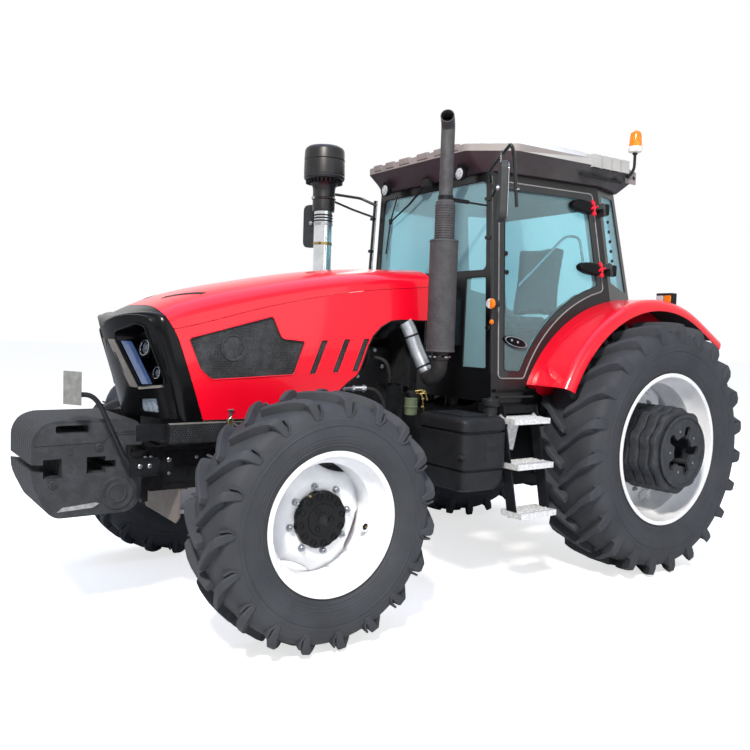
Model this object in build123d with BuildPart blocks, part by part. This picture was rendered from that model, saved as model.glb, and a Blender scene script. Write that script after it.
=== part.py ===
from build123d import *
import os
from math import cos, radians, sin, sqrt

os.makedirs("parts", exist_ok=True)

# Farm tractor, in millimetres. The nose points to -Y, the driver's left is +X, the ground is Z = 0.

# ---- Shared clearances ----
seat_gap = 0.3          # between pieces that sit on each other
move_gap = 6.0          # between a door or lid and its frame
plate_gap = 0.6         # between ballast plates that hang side by side

# ---- Wheels ----
wheelbase = 2615.0
front_axle_y = -1260.0
rear_axle_y = front_axle_y + wheelbase
cab_front_y = rear_axle_y - 1190    # the cab's front posts at the sill
front_track = 1950.0
rear_track = 1910.0
front_tyre_r = 640.0
front_tyre_w = 382.0
front_rim_r = 355.5
front_rim_w = 346.0
front_lug_h = 40.0
front_lugs = 19
rear_tyre_r = 850.0
rear_tyre_w = 488.0
rear_rim_r = 508.0
rear_rim_w = 420.0
rear_lug_h = 48.0
rear_lugs = 23
rim_wall = 12.0

# ---- Axles and steering ----
kingpin_x = 755.0
kingpin_r = 26.0
steer_arm = 190.0       # from the kingpin back to the tie rod's ball
tie_rod_z = 500.0
front_beam_r = 78.0
rear_stub_r = 48.0

# ---- Engine and gearbox ----
engine_x = 215.0
engine_front_y = -1050.0
engine_rear_y = cab_front_y - 225
housing_rear_y = rear_axle_y + 285
engine_top_z = 1480.0
gearbox_top_z = 1080.0
housing_top_z = 1120.0

# ---- Hood ----
hood_wall = 10.0
hood_base_z = 1076.0
hood_rear_y = cab_front_y - 337
hood_pivot_y = hood_rear_y - 18
hood_pivot_z = 1925.0
hood_ear_x = 150.0      # inner face of the fixed ears
hood_pin_r = 8.0
# Sections of the hood: station y, half width low, half width at the crease, crease z, top z
hood_sections = [
    (-2060.0, 352.0, 372.0, 1500.0, 1572.0),
    (-1720.0, 412.0, 420.0, 1572.0, 1738.0),
    (-1240.0, 428.0, 436.0, 1700.0, 1856.0),
    (-740.0, 450.0, 452.0, 1800.0, 1942.0),
    (hood_rear_y, 486.0, 470.0, 1862.0, 1982.0),
]
shoulder_share = 0.80   # where the crown's arc meets the shoulder's arc, across
shoulder_rise = 0.72    # and upwards
nose_half = 380.0
# The raked nose in plan: height, y in the middle, y at the corners
nose_plans = [(900.0, -1861.0, -1765.0), (2100.0, -2187.0, -2062.0)]
# Left lamp openings seen from the front, as x and z
eye_outline = [(124, 1520), (310, 1568), (358, 1552), (374, 1330), (370, 1245), (250, 1235)]
low_lamp_outline = [(176, 1172), (312, 1194), (322, 1108), (196, 1104)]
# Round lamps in the eye: x, z, radius
round_lamps = [(312, 1462, 44), (334, 1318, 33)]
lamp_set_back = 55.0
lamp_pocket = 118.0
lamp_housing = 130.0
lamp_lip = 10.0

# ---- Cab ----
cab_wall = 45.0
cab_floor_z = 1150.0
cab_sill_z = 1290.0
cab_top_z = 2605.0
# Corners of the cab's plan at the sill and at the top: front post, door post, rear post
cab_low = [(680.0, cab_front_y), (812.0, rear_axle_y - 102), (683.0, rear_axle_y + 306)]
cab_high = [(600.0, cab_front_y + 15), (706.0, rear_axle_y - 300), (616.0, rear_axle_y - 15)]
post_w = 50.0
glass_t = 6.0
door_t = 40.0
door_rail = 46.0
door_arc_r = 1000.0
door_arc_rise = 70.0
hinge_out = 34.0        # hinge pin's line outside the door's skin
hinge_pin_r = 7.0

# ---- Fenders ----
fender_r = 1000.0
fender_t = 8.0
fender_in_x = 690.0
fender_out_x = 1060.0
fender_front_deg = 155.5
fender_top_deg = 62.0
fender_tail = 300.0

front_axle = Vector(0, front_axle_y, front_tyre_r)
rear_axle = Vector(0, rear_axle_y, rear_tyre_r)


def keep(piece, name):
    piece.label = name
    export_step(piece, f"parts/{name}.step")


def keep_pair(piece, name):
    keep(piece, f"{name}_left")
    keep(mirror(piece, about=Plane.YZ), f"{name}_right")


def keep_both(piece, name):
    keep(Compound(children=[piece, mirror(piece, about=Plane.YZ)]), name)


def across(centre):
    # Section plane through the wheel's axle: local x runs along the axle, local y up.
    return Plane(origin=centre, x_dir=(1, 0, 0), z_dir=(0, -1, 0))


def side_plane(x):
    # Looking at the tractor's left side: local x runs along Y, local y up, normal outward.
    return Plane(origin=(x, 0, 0), x_dir=(0, 1, 0), z_dir=(1, 0, 0))


# ---- Tyres: a carcass turned about the axle, with two rows of slanted lugs ----
def make_tyre(centre, radius, width, rim_r, rim_w, lug_h, lugs):
    axle = Axis(centre, (1, 0, 0))
    half = width / 2
    core_r = radius - lug_h
    bulge_r = (radius + rim_r) / 2 - lug_h / 2
    bead_x = rim_w / 2 - rim_wall - seat_gap
    bead_r = rim_r - 18
    with BuildPart() as carcass:
        with BuildSketch(across(centre)):
            with BuildLine():
                Polyline((-bead_x, bead_r + seat_gap), (bead_x, bead_r + seat_gap), (bead_x, rim_r + 8))
                ThreePointArc((bead_x, rim_r + 8), (half, bulge_r), (half * 0.93, core_r - lug_h))
                Line((half * 0.93, core_r - lug_h), (half * 0.68, core_r - lug_h * 0.2))
                Polyline((half * 0.68, core_r - lug_h * 0.2), (0, core_r), (-half * 0.68, core_r - lug_h * 0.2))
                Line((-half * 0.68, core_r - lug_h * 0.2), (-half * 0.93, core_r - lug_h))
                ThreePointArc((-half * 0.93, core_r - lug_h), (-half, bulge_r), (-bead_x, rim_r + 8))
                Line((-bead_x, rim_r + 8), (-bead_x, bead_r + seat_gap))
            make_face()
        revolve(axis=axle)
    # One lug: centre line points along the axle and round the tread, with the half width at each
    spine = [
        (-half * 0.07, -half * 0.56, lug_h * 0.48),
        (half * 0.58, half * 0.02, lug_h * 0.50),
        (half * 1.10, half * 0.30, lug_h * 0.66),
    ]
    lead = [(x, y - w) for x, y, w in spine]
    trail = [(x, y + w) for x, y, w in reversed(spine)]
    with BuildPart() as envelope:
        with BuildSketch(across(centre)):
            Polygon(
                (-half * 0.2, core_r - lug_h * 0.3), (-half * 0.2, radius), (half * 0.1, radius),
                (half * 0.80, radius - lug_h * 0.22), (half * 0.985, radius - lug_h * 0.62),
                (half * 0.995, core_r - lug_h * 1.55), (half * 0.90, core_r - lug_h * 2.0),
                (half * 0.60, core_r - lug_h * 0.6), align=None,
            )
        revolve(axis=axle, revolution_arc=60)
    envelope_part = envelope.part.rotate(axle, -30)
    with BuildPart() as lug:
        with BuildSketch(Plane(origin=centre + Vector(0, 0, core_r - lug_h * 2.2))):
            Polygon(*lead, *trail, align=None)
        extrude(amount=lug_h * 3.4)
        add(envelope_part, mode=Mode.INTERSECT)
    other = mirror(lug.part, about=Plane(origin=centre, z_dir=(1, 0, 0)))
    pitch = 360 / lugs
    with BuildPart() as tyre:
        add(carcass.part)
        add([lug.part.rotate(axle, pitch * i) for i in range(lugs)])
        add([other.rotate(axle, pitch * (i + 0.5)) for i in range(lugs)])
    return tyre.part


# ---- Rims: a drop-centre barrel with a dished disc ----
def make_rim(centre, rim_r, rim_w, disc_x, disc_r, bore_r, holes, hole_r, hole_pitch_r, studs_pcd, studs, stud_r):
    axle = Axis(centre, (1, 0, 0))
    half = rim_w / 2
    seat_r = rim_r - 18
    drop_r = rim_r - 60
    with BuildPart() as rim:
        with BuildSketch(across(centre)):
            with BuildLine():
                Polyline(
                    (-half, rim_r), (-half + rim_wall, rim_r), (-half + rim_wall, seat_r), (-half * 0.62, seat_r - 8),
                    (-half * 0.40, drop_r), (half * 0.40, drop_r), (half * 0.62, seat_r - 8), (half - rim_wall, seat_r),
                    (half - rim_wall, rim_r), (half, rim_r), (half, seat_r - rim_wall),
                    (half * 0.58, seat_r - 8 - rim_wall), (half * 0.34, drop_r - rim_wall),
                    (-half * 0.34, drop_r - rim_wall), (-half * 0.58, seat_r - 8 - rim_wall),
                    (-half, seat_r - rim_wall), close=True,
                )
            make_face()
        revolve(axis=axle)
        # The disc: flat at the hub, then a cone out to the barrel
        with BuildSketch(across(centre)):
            Polygon(
                (disc_x, bore_r), (disc_x, disc_r), (0, drop_r - rim_wall + 2), (-rim_wall * 1.4, drop_r - rim_wall + 2),
                (disc_x - rim_wall * 1.4, disc_r), (disc_x - rim_wall * 1.4, bore_r), align=None,
            )
        revolve(axis=axle)
        face = Plane(origin=centre + Vector(disc_x + 60, 0, 0), x_dir=(0, 1, 0), z_dir=(1, 0, 0))
        with BuildSketch(face):
            with PolarLocations(hole_pitch_r, holes, start_angle=20):
                SlotOverall(hole_r * 3.2, hole_r * 2, rotation=90)
        extrude(amount=-200 - disc_x, mode=Mode.SUBTRACT)
        with BuildSketch(face.offset(-60)):
            with PolarLocations(studs_pcd / 2, studs):
                Circle(stud_r)
        extrude(amount=16)
    return rim.part


front_left = Vector(front_track / 2, front_axle_y, front_tyre_r)
rear_left = Vector(rear_track / 2, rear_axle_y, rear_tyre_r)
front_disc_x = 20.0
rear_disc_x = -70.0
front_hub_r = 144.0
front_hub_x = 55.0

keep_pair(
    make_tyre(front_left, front_tyre_r, front_tyre_w, front_rim_r, front_rim_w, front_lug_h, front_lugs),
    "front_tyre",
)
keep_pair(
    make_tyre(rear_left, rear_tyre_r, rear_tyre_w, rear_rim_r, rear_rim_w, rear_lug_h, rear_lugs),
    "rear_tyre",
)
keep_pair(make_rim(front_left, front_rim_r, front_rim_w, front_disc_x, 196, 110, 4, 22, 238, 330, 8, 12), "front_rim")
rear_rim = make_rim(rear_left, rear_rim_r, rear_rim_w, rear_disc_x, 290, 60, 5, 30, 352, 480, 8, 14)

# ---- Front hubs: the planetary drums that carry the wheels ----
spindle_r = 45.0
with BuildPart() as front_hub:
    with BuildSketch(across(front_left)):
        with BuildLine():
            Polyline(
                (-front_disc_x - 60, spindle_r + seat_gap), (-front_disc_x - 60, 105), (front_disc_x - 18, 109.7 - seat_gap),
                (front_disc_x + seat_gap, 109.7 - seat_gap), (front_disc_x + seat_gap, front_hub_r),
                (front_hub_x - 8, front_hub_r), (front_hub_x, front_hub_r - 8), (front_hub_x, 80), (front_hub_x + 8, 70),
                (front_hub_x + 8, 0), (front_disc_x, 0), (front_disc_x, spindle_r + seat_gap), close=True,
            )
        make_face()
    revolve(axis=Axis(front_left, (1, 0, 0)))
keep_pair(front_hub.part, "front_hub")

# ---- Wheel weights: five cast rings bolted to each rear disc ----
ring_r = 222.0
ring_t = 78.0
ring_count = 5
ring_start_x = rear_left.X + rear_disc_x + seat_gap
with BuildPart() as rings:
    for i in range(ring_count):
        ring_face = Vector(ring_start_x + i * ring_t, rear_axle_y, rear_tyre_r)
        with BuildSketch(Plane(origin=ring_face, x_dir=(0, 1, 0), z_dir=(1, 0, 0))):
            Circle(ring_r)
            with PolarLocations(ring_r + 34, 10):
                Circle(46, mode=Mode.SUBTRACT)
            Circle(62, mode=Mode.SUBTRACT)
            with PolarLocations(66, 5):
                Circle(26, mode=Mode.SUBTRACT)
        extrude(amount=ring_t)
keep_pair(rings.part, "wheel_weights")

# ---- Front axle beam, pivoting under the bolster ----
with BuildPart() as beam:
    with BuildSketch(across(front_axle)):
        Polygon(
            (-690, 0), (-690, 60), (-300, front_beam_r), (-190, 100), (-60, 112), (60, 112), (190, 100),
            (300, front_beam_r), (690, 60), (690, 0), align=None,
        )
    revolve(axis=Axis(front_axle, (1, 0, 0)))
    for side in (-1, 1):
        with BuildSketch(Plane(origin=(side * kingpin_x, front_axle_y, front_tyre_r - 70))):
            Circle(62)
        extrude(amount=140)
        with BuildSketch(Plane(origin=(side * 690, front_axle_y, front_tyre_r), z_dir=(side, 0, 0))):
            Rectangle(110, 110)
        extrude(amount=60)
        with Locations((side * kingpin_x, front_axle_y, front_tyre_r)):
            Cylinder(kingpin_r + seat_gap, 300, mode=Mode.SUBTRACT)
    with BuildSketch(Plane(origin=(0, front_axle_y, front_tyre_r + 60))):
        Rectangle(220, 200)
    extrude(amount=60)
keep(beam.part, "front_axle")

# ---- Knuckles: a fork round the beam's eye, with the spindle and the steering arm ----
knuckle_mid = front_tyre_r
with BuildPart() as knuckle:
    with BuildSketch(Plane(origin=(kingpin_x, front_axle_y, knuckle_mid + 76))):
        Circle(66)
        with Locations((60, 0)):
            Rectangle(70, 132)
    extrude(amount=44)
    with BuildSketch(Plane(origin=(kingpin_x, front_axle_y, knuckle_mid - 120))):
        Circle(66)
        with Locations((60, 0)):
            Rectangle(70, 132)
    extrude(amount=44)
    with BuildSketch(Plane(origin=(kingpin_x + 72, front_axle_y, knuckle_mid), x_dir=(0, 1, 0), z_dir=(1, 0, 0))):
        Rectangle(132, 240)
    extrude(amount=28)
    with BuildSketch(Plane(origin=(kingpin_x + 100, front_axle_y, knuckle_mid), z_dir=(1, 0, 0))):
        Circle(spindle_r)
    extrude(amount=front_left.X - kingpin_x - 100 + front_disc_x - seat_gap)
    with Locations((kingpin_x, front_axle_y, knuckle_mid)):
        Cylinder(kingpin_r, 232)
    # The arm runs back from the lower eye to the tie rod's ball
    with BuildSketch(Plane(origin=(kingpin_x, front_axle_y, knuckle_mid - 120))):
        with Locations((0, steer_arm / 2)):
            Rectangle(50, steer_arm)
        with Locations((0, steer_arm)):
            Circle(30)
    extrude(amount=30)
    with Locations((kingpin_x, front_axle_y + steer_arm, tie_rod_z)):
        Cylinder(12, 70)
keep_pair(knuckle.part, "knuckle")

with BuildPart() as tie_rod:
    rod_y = front_axle_y + steer_arm
    with BuildSketch(Plane(origin=(-kingpin_x + 20, rod_y, tie_rod_z - 10), z_dir=(1, 0, 0))):
        Circle(17)
    extrude(amount=2 * kingpin_x - 40)
    with BuildSketch(Plane.XY.offset(tie_rod_z - 30)):
        with Locations((-kingpin_x, rod_y), (kingpin_x, rod_y)):
            Circle(27)
    extrude(amount=40)
    with Locations((-kingpin_x, rod_y, tie_rod_z), (kingpin_x, rod_y, tie_rod_z)):
        Cylinder(12 + seat_gap, 120, mode=Mode.SUBTRACT)
keep(tie_rod.part, "tie_rod")

# ---- Front support: two rails and a cross casting that carry the nose ----
rail_in = engine_x + seat_gap
rail_out = 295.0
rail_top = 930.0
rail_low = 700.0
nose_y = -1870.0      # front face of the support
with BuildPart() as front_support:
    for side in (-1, 1):
        with BuildSketch(side_plane(side * (rail_in + rail_out) / 2)):
            Polygon(
                (nose_y, rail_low), (nose_y, rail_top), (-400, rail_top), (-400, 760), (-1060, 760), (-1120, 790),
                (-1400, 790), (-1480, rail_low), align=None,
            )
        extrude(amount=(rail_out - rail_in) / 2, both=True)
    with BuildSketch(side_plane(0)):
        Rectangle(60, rail_top - rail_low, align=(Align.MIN, Align.MIN))
    front_wall = extrude(amount=rail_in + 5, both=True, mode=Mode.PRIVATE)
    add(front_wall.moved(Location((0, nose_y, rail_low))))
    with BuildSketch(side_plane(0)):
        Rectangle(220, 60, align=(Align.CENTER, Align.MIN))
    saddle = extrude(amount=rail_in + 5, both=True, mode=Mode.PRIVATE)
    add(saddle.moved(Location((0, front_axle_y, 790))))
    with BuildSketch(Plane.XY.offset(front_tyre_r + 120 + seat_gap)):
        with Locations((0, front_axle_y)):
            Rectangle(180, 160)
    extrude(amount=790 - front_tyre_r - 120)
keep(front_support.part, "front_support")

with BuildPart() as front_guard:
    with BuildSketch(Plane(origin=(0, -1700, 0), x_dir=(1, 0, 0), z_dir=(0, -1, 0))):
        with BuildLine():
            Polyline((-290, rail_low - seat_gap), (-290, 540), (-240, 500), (240, 500), (290, 540),
                     (290, rail_low - seat_gap), close=True)
        make_face()
    extrude(amount=8)
    # The flange that bolts up under the rails
    with BuildSketch(Plane.XY.offset(rail_low - seat_gap)):
        with Locations((0, -1680)):
            Rectangle(580, 40)
    extrude(amount=-8)
keep(front_guard.part, "front_guard")

# ---- Ballast at the nose: hanging plates on a carrier ----
weight_count = 11
weight_pitch = 48.0
weight_rear_y = -1905.0
weight_front_y = -2445.0
weight_low_z = 596.0
weight_top_z = 1086.0
carrier_tongue = 60.0
hook_z = 905.0
# Cut-outs of a plate seen from the left, as y and z: the notch in front and the window
front_notch = [
    (weight_front_y - 5, 838), (weight_front_y - 5, 872), (weight_front_y + 55, 868), (weight_front_y + 55, 893),
    (weight_front_y + 142, 893), (weight_front_y + 142, 800), (weight_front_y + 55, 800), (weight_front_y + 55, 830),
]
plate_window = [
    (weight_rear_y - 278, 895), (weight_rear_y - 185, 895), (weight_rear_y - 185, 872), (weight_rear_y - 133, 872),
    (weight_rear_y - 133, 835), (weight_rear_y - 185, 835), (weight_rear_y - 185, 812), (weight_rear_y - 278, 812),
]
with BuildPart() as carrier:
    with BuildSketch(side_plane(0)):
        Polygon(
            (nose_y - seat_gap, 640), (nose_y - seat_gap, hook_z), (weight_rear_y - carrier_tongue, hook_z),
            (weight_rear_y - carrier_tongue, hook_z + 40), (weight_rear_y - carrier_tongue - 22, hook_z + 40),
            (weight_rear_y - carrier_tongue - 22, hook_z - 37), (weight_rear_y + seat_gap, hook_z - 37),
            (weight_rear_y + seat_gap, 640), align=None,
        )
    extrude(amount=weight_count * weight_pitch / 2, both=True)
keep(carrier.part, "weight_carrier")

with BuildPart() as weights:
    for i in range(weight_count):
        x = (i - (weight_count - 1) / 2) * weight_pitch
        with BuildSketch(side_plane(x)):
            with BuildLine():
                Polyline(
                    (weight_rear_y, weight_low_z + 60), (weight_rear_y - 60, weight_low_z),
                    (weight_front_y + 170, weight_low_z), (weight_front_y, weight_low_z + 90),
                    (weight_front_y, weight_top_z - 90), (weight_front_y + 34, weight_top_z - 28),
                    (weight_front_y + 100, weight_top_z), (weight_rear_y - 62, weight_top_z),
                    (weight_rear_y - 18, weight_top_z - 22), (weight_rear_y, weight_top_z - 62), close=True,
                )
            make_face()
            Polygon(*front_notch, align=None, mode=Mode.SUBTRACT)
            Polygon(*plate_window, align=None, mode=Mode.SUBTRACT)
            # Hook slot over the carrier's tongue, and the hand slot near the top
            with Locations((weight_rear_y - 41 + 2, hook_z + 1)):
                Rectangle(88, 82, mode=Mode.SUBTRACT)
            with Locations((weight_front_y + 190, weight_top_z - 46)):
                SlotOverall(150, 34, mode=Mode.SUBTRACT)
        extrude(amount=(weight_pitch - plate_gap) / 2, both=True)
keep(weights.part, "front_weights")

# ---- Width marker on a bent rod ----
marker_x = 350.0
marker_foot_z = 846.0
marker_plate_y = -2279.0
marker_plate_z = 1253.0
with BuildPart() as marker:
    with BuildLine() as marker_line:
        FilletPolyline(
            (marker_x, nose_y - 35, marker_foot_z), (marker_x, -2010, 880), (marker_x, -2150, 1180),
            (marker_x, marker_plate_y + 3, marker_plate_z - 28), radius=60,
        )
    with BuildSketch(Plane(origin=marker_line.line @ 0, z_dir=marker_line.line % 0)):
        Circle(12)
    sweep(path=marker_line.line)
    with Locations((marker_x, marker_plate_y, marker_plate_z)):
        Box(110, 6, 165)
    with Locations((marker_x - 10, nose_y - 20, marker_foot_z)):
        Box(90, 34, 70)
    # Foot bolted to the side of the front support
    with Locations((marker_x - 26, nose_y, marker_foot_z)):
        Box(2 * (marker_x - 26 - rail_out - seat_gap), 50, 70)
keep(marker.part, "marker")

# ---- Side screens under the hood ----
screen_x = 416.0
screen_y = -1400.0
screen_arm_x = (screen_x + rail_out) / 2 - 2
with BuildPart() as side_screens:
    for side in (-1, 1):
        with BuildSketch(side_plane(side * screen_x)):
            with Locations((screen_y, 1013)):
                RectangleRounded(850, 115, 8)
        extrude(amount=4, both=True)
        for y in (screen_y - 250, screen_y + 250):
            with Locations((side * screen_arm_x, y, 1000)):
                Box(screen_x - rail_out - 4, 40, 20)
            with Locations((side * (rail_out + 8 + seat_gap), y, 950)):
                Box(16, 40, 120)
keep(side_screens.part, "side_screens")

# ---- Rear linkage sizes ----
link_pivot_y = rear_axle_y + 205
link_pivot_z = 560.0
link_in_x = 300.0
link_out_x = 415.0
link_end_y = rear_axle_y + 1055
link_end_z = 590.0
arm_pivot_y = rear_axle_y + 355
arm_pivot_z = 1040.0
arm_len = 300.0
arm_x = 330.0
lift_shaft_r = 32.0
rod_on_link = 0.53
rod_x = 370.0
rod_pin_r = 12.0

# ---- Engine block, gearbox and rear housing ----
with BuildPart() as engine:
    with BuildSketch(side_plane(0)):
        with BuildLine():
            Polyline(
                (engine_front_y, 990), (engine_front_y, engine_top_z), (engine_rear_y, engine_top_z), (engine_rear_y, 640),
                (engine_rear_y - 120, 600), (-560, 600), (-600, 735), (-600, 990), close=True,
            )
        make_face()
    extrude(amount=engine_x, both=True)
    fillet(engine.edges().filter_by(Axis.Y), 30)
keep(engine.part, "engine")

housing_x = 240.0
housing_low_z = 480.0
pto_z = 640.0
with BuildPart() as transmission:
    with BuildSketch(side_plane(0)):
        Polygon(
            (engine_rear_y + seat_gap, 640), (engine_rear_y + seat_gap, gearbox_top_z), (rear_axle_y - 935, gearbox_top_z),
            (rear_axle_y - 835, housing_top_z), (housing_rear_y, housing_top_z), (housing_rear_y, 560),
            (housing_rear_y - 140, housing_low_z), (rear_axle_y - 455, housing_low_z), (rear_axle_y - 595, 560),
            (engine_rear_y + 120, 600), align=None,
        )
    extrude(amount=205, both=True)
    with Locations((0, rear_axle_y, rear_tyre_r - 30)):
        Box(2 * housing_x, 520, 560)
    # Rubber mounts that carry the cab
    for y, top in [(rear_axle_y - 1055, gearbox_top_z), (rear_axle_y + 205, housing_top_z)]:
        with BuildSketch(Plane.XY.offset(top - 2)):
            with Locations((-150, y), (150, y)):
                Circle(46)
        extrude(amount=cab_floor_z - seat_gap - top + 2)
    # The power take-off stub
    with BuildSketch(Plane(origin=(0, housing_rear_y, pto_z), z_dir=(0, 1, 0))):
        Circle(60)
    extrude(amount=30)
    with BuildSketch(Plane(origin=(0, housing_rear_y + 30, pto_z), z_dir=(0, 1, 0))):
        Circle(17.5)
    extrude(amount=90)
    # Ears for the lift shaft
    for side in (-1, 1):
        with BuildSketch(side_plane(side * 170)):
            with Locations((arm_pivot_y, arm_pivot_z)):
                Circle(58)
            Polygon((housing_rear_y - 20, arm_pivot_z - 58), (arm_pivot_y, arm_pivot_z - 58),
                    (arm_pivot_y, arm_pivot_z + 58), (housing_rear_y - 20, arm_pivot_z + 58), align=None)
            with Locations((arm_pivot_y, arm_pivot_z)):
                Circle(lift_shaft_r + seat_gap, mode=Mode.SUBTRACT)
        extrude(amount=25, both=True)
    # Forks and pins for the lower links
    for side in (-1, 1):
        for x in (link_in_x - 36, link_in_x + 36):
            with BuildSketch(side_plane(side * x)):
                with Locations((link_pivot_y - 15, link_pivot_z + 10)):
                    Rectangle(150, 120)
            extrude(amount=10, both=True)
        with Locations((side * (housing_x - 5 + link_in_x + 46) / 2, link_pivot_y - 80, link_pivot_z + 10)):
            Box(link_in_x + 46 - housing_x + 5, 20, 120)
        with Locations((side * link_in_x, link_pivot_y, link_pivot_z)):
            Cylinder(13.9, 84, rotation=(0, 90, 0))
keep(transmission.part, "transmission")

trumpet_end_x = 735.0
with BuildPart() as rear_axle_piece:
    with BuildSketch(across(rear_axle)):
        Polygon(
            (housing_x + seat_gap, 0), (housing_x + seat_gap, 190), (290, 190), (330, 150), (640, 112), (660, 130),
            (trumpet_end_x, 130), (trumpet_end_x, rear_stub_r), (rear_left.X + rear_disc_x + 40, rear_stub_r),
            (rear_left.X + rear_disc_x + 40, 0), align=None,
        )
    revolve(axis=Axis(rear_axle, (1, 0, 0)))
    mirror(about=Plane.YZ)
keep(rear_axle_piece.part, "rear_axle")

# ---- Rear hubs sit between the trumpets and the discs ----
with BuildPart() as rear_hub:
    with BuildSketch(across(rear_left)):
        Polygon(
            (trumpet_end_x + 5 - rear_left.X, rear_stub_r + seat_gap), (trumpet_end_x + 5 - rear_left.X, 150),
            (trumpet_end_x + 45 - rear_left.X, 150), (trumpet_end_x + 55 - rear_left.X, 190),
            (rear_disc_x - rim_wall * 1.4 - seat_gap, 190),
            (rear_disc_x - rim_wall * 1.4 - seat_gap, rear_stub_r + seat_gap), align=None,
        )
    revolve(axis=Axis(rear_left, (1, 0, 0)))
keep_pair(Compound(children=[rear_rim, rear_hub.part]), "rear_rim")


# ---- Hood, nose cowl and their inner form ----
def hood_section(y, low, crease, crease_z, top_z, inset):
    # Straight sides, a tight arc at each shoulder and a wide arc over the crown
    edge = (crease - inset, crease_z - inset * 0.5)
    foot = (low - inset, 1000)
    top = top_z - inset
    bend = (edge[0] * shoulder_share, edge[1] + (top - edge[1]) * shoulder_rise)
    with BuildSketch(Plane(origin=(0, y, 0), x_dir=(1, 0, 0), z_dir=(0, -1, 0))) as section:
        with BuildLine():
            Polyline((-edge[0], edge[1]), (-foot[0], foot[1]), foot, edge)
            crown = ThreePointArc((-bend[0], bend[1]), (0, top), bend)
            TangentArc(bend, edge, tangent=crown % 1)
            TangentArc((-bend[0], bend[1]), (-edge[0], edge[1]), tangent=-(crown % 0))
        make_face()
    return section.sketch


def hood_solid(inset):
    with BuildPart() as body:
        for y, low, crease, crease_z, top_z in hood_sections:
            add(hood_section(y, low, crease, crease_z, top_z, inset))
        loft(ruled=True)
    rear = hood_rear_y + 272
    with BuildPart() as nose:
        for z, mid_y, corner_y in nose_plans:
            corner = (nose_half, corner_y + inset)
            side = (700, corner_y + inset + 260)
            with BuildSketch(Plane.XY.offset(z)):
                with BuildLine():
                    ThreePointArc((-corner[0], corner[1]), (0, mid_y + inset), corner)
                    Polyline(corner, side, (700, rear), (-700, rear), (-side[0], side[1]), (-corner[0], corner[1]))
                make_face()
        loft(ruled=True)
    with BuildPart() as shaped:
        add(body.part)
        add(nose.part, mode=Mode.INTERSECT)
    return shaped.part


hood_outer = hood_solid(0)
hood_inner = hood_solid(hood_wall)
# Lower edge seen from the side, and the line between the black nose and the red hood
hood_skirt = [
    (-2200, 900), (-2200, hood_base_z), (-980, hood_base_z), (-760, 1270), (-690, 1320), (-610, 1520),
    (-500, 1635), (hood_rear_y + 72, 1650), (hood_rear_y + 72, 900),
]
cowl_line = [(-2300, 900), (-2300, 2000), (-1960, 2000), (-1851, 1641), (-1782, 1523), (-1635, hood_base_z), (-1590, 900)]

with BuildPart() as hood_form:
    add(hood_outer)
    add(hood_inner.moved(Location((0, hood_wall * 2, 0))), mode=Mode.SUBTRACT)
    add(hood_inner, mode=Mode.SUBTRACT)
    with BuildSketch(side_plane(0)):
        Polygon(*hood_skirt, align=None)
    extrude(amount=800, both=True, mode=Mode.SUBTRACT)

# Side panels of dark mesh and three slanted slots, let into the hood
mesh_panel = [(-1716, 1504), (-1251, 1635), (-1195, 1515), (-1055, 1502), (-1117, 1319), (-1590, 1296), (-1655, 1351)]
slots = [(-942, 1515), (-793, 1524), (-662, 1530)]
slot_w = 42.0
slot_drop = 195.0
slot_lean = 75.0

with BuildPart() as mesh_cutter:
    with BuildSketch(side_plane(0)):
        Polygon(*mesh_panel, align=None)
        for y, z in slots:
            low_y, low_z = y - slot_lean, z - slot_drop
            Polygon((y, z), (y + slot_w, z), (low_y + slot_w, low_z), (low_y, low_z), align=None)
    extrude(amount=800, both=True)

with BuildPart() as hinge_plates:
    for side in (-1, 1):
        with BuildSketch(side_plane(side * (hood_ear_x - 7 - seat_gap))):
            with Locations((hood_pivot_y, hood_pivot_z)):
                Circle(22)
            Polygon((hood_pivot_y - 22, hood_pivot_z), (hood_pivot_y + 18, hood_pivot_z + 10), (hood_pivot_y + 18, 2100),
                    (hood_pivot_y - 90, 2100), align=None)
            with Locations((hood_pivot_y, hood_pivot_z)):
                Circle(hood_pin_r + seat_gap, mode=Mode.SUBTRACT)
        extrude(amount=6, both=True)
    add(hood_solid(hood_wall / 2), mode=Mode.INTERSECT)

with BuildPart() as hood_shell:
    add(hood_form.part)
    with BuildSketch(side_plane(0)):
        Polygon(*cowl_line, align=None)
    extrude(amount=800, both=True, mode=Mode.SUBTRACT)
    add(mesh_cutter.part, mode=Mode.SUBTRACT)
    # Hinge plates that hang from the hood's roof
    add(hinge_plates.part)
keep(hood_shell.part, "hood_shell")

with BuildPart() as hood_screens:
    add(hood_form.part)
    add(mesh_cutter.part, mode=Mode.INTERSECT)
keep(hood_screens.part, "hood_screens")



def seen_from_front(outline, grow=0.0, corner=16):
    # A closed outline on both sides of the nose, run back through it
    with BuildPart() as prism:
        with BuildSketch(Plane(origin=(0, -2300, 0), x_dir=(1, 0, 0), z_dir=(0, -1, 0))):
            with BuildSketch(mode=Mode.PRIVATE) as shape:
                Polygon(*outline, align=None)
                if grow:
                    offset(amount=grow, kind=Kind.INTERSECTION, mode=Mode.REPLACE)
                fillet(shape.vertices(), corner)
            add(shape.sketch)
            mirror(shape.sketch, about=Plane.YZ)
        extrude(amount=-700)
    return prism.part


with BuildPart() as nose_cowl:
    add(hood_form.part)
    with BuildSketch(side_plane(0)):
        Polygon(*cowl_line, align=None)
    extrude(amount=800, both=True, mode=Mode.INTERSECT)
    add(seen_from_front(eye_outline), mode=Mode.SUBTRACT)
    add(seen_from_front(low_lamp_outline, 0, 10), mode=Mode.SUBTRACT)
keep(nose_cowl.part, "nose_cowl")

# ---- Headlamps: deep housings behind the openings, with two round lamps in each ----
lamp_space = hood_solid(hood_wall + seat_gap)


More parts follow.
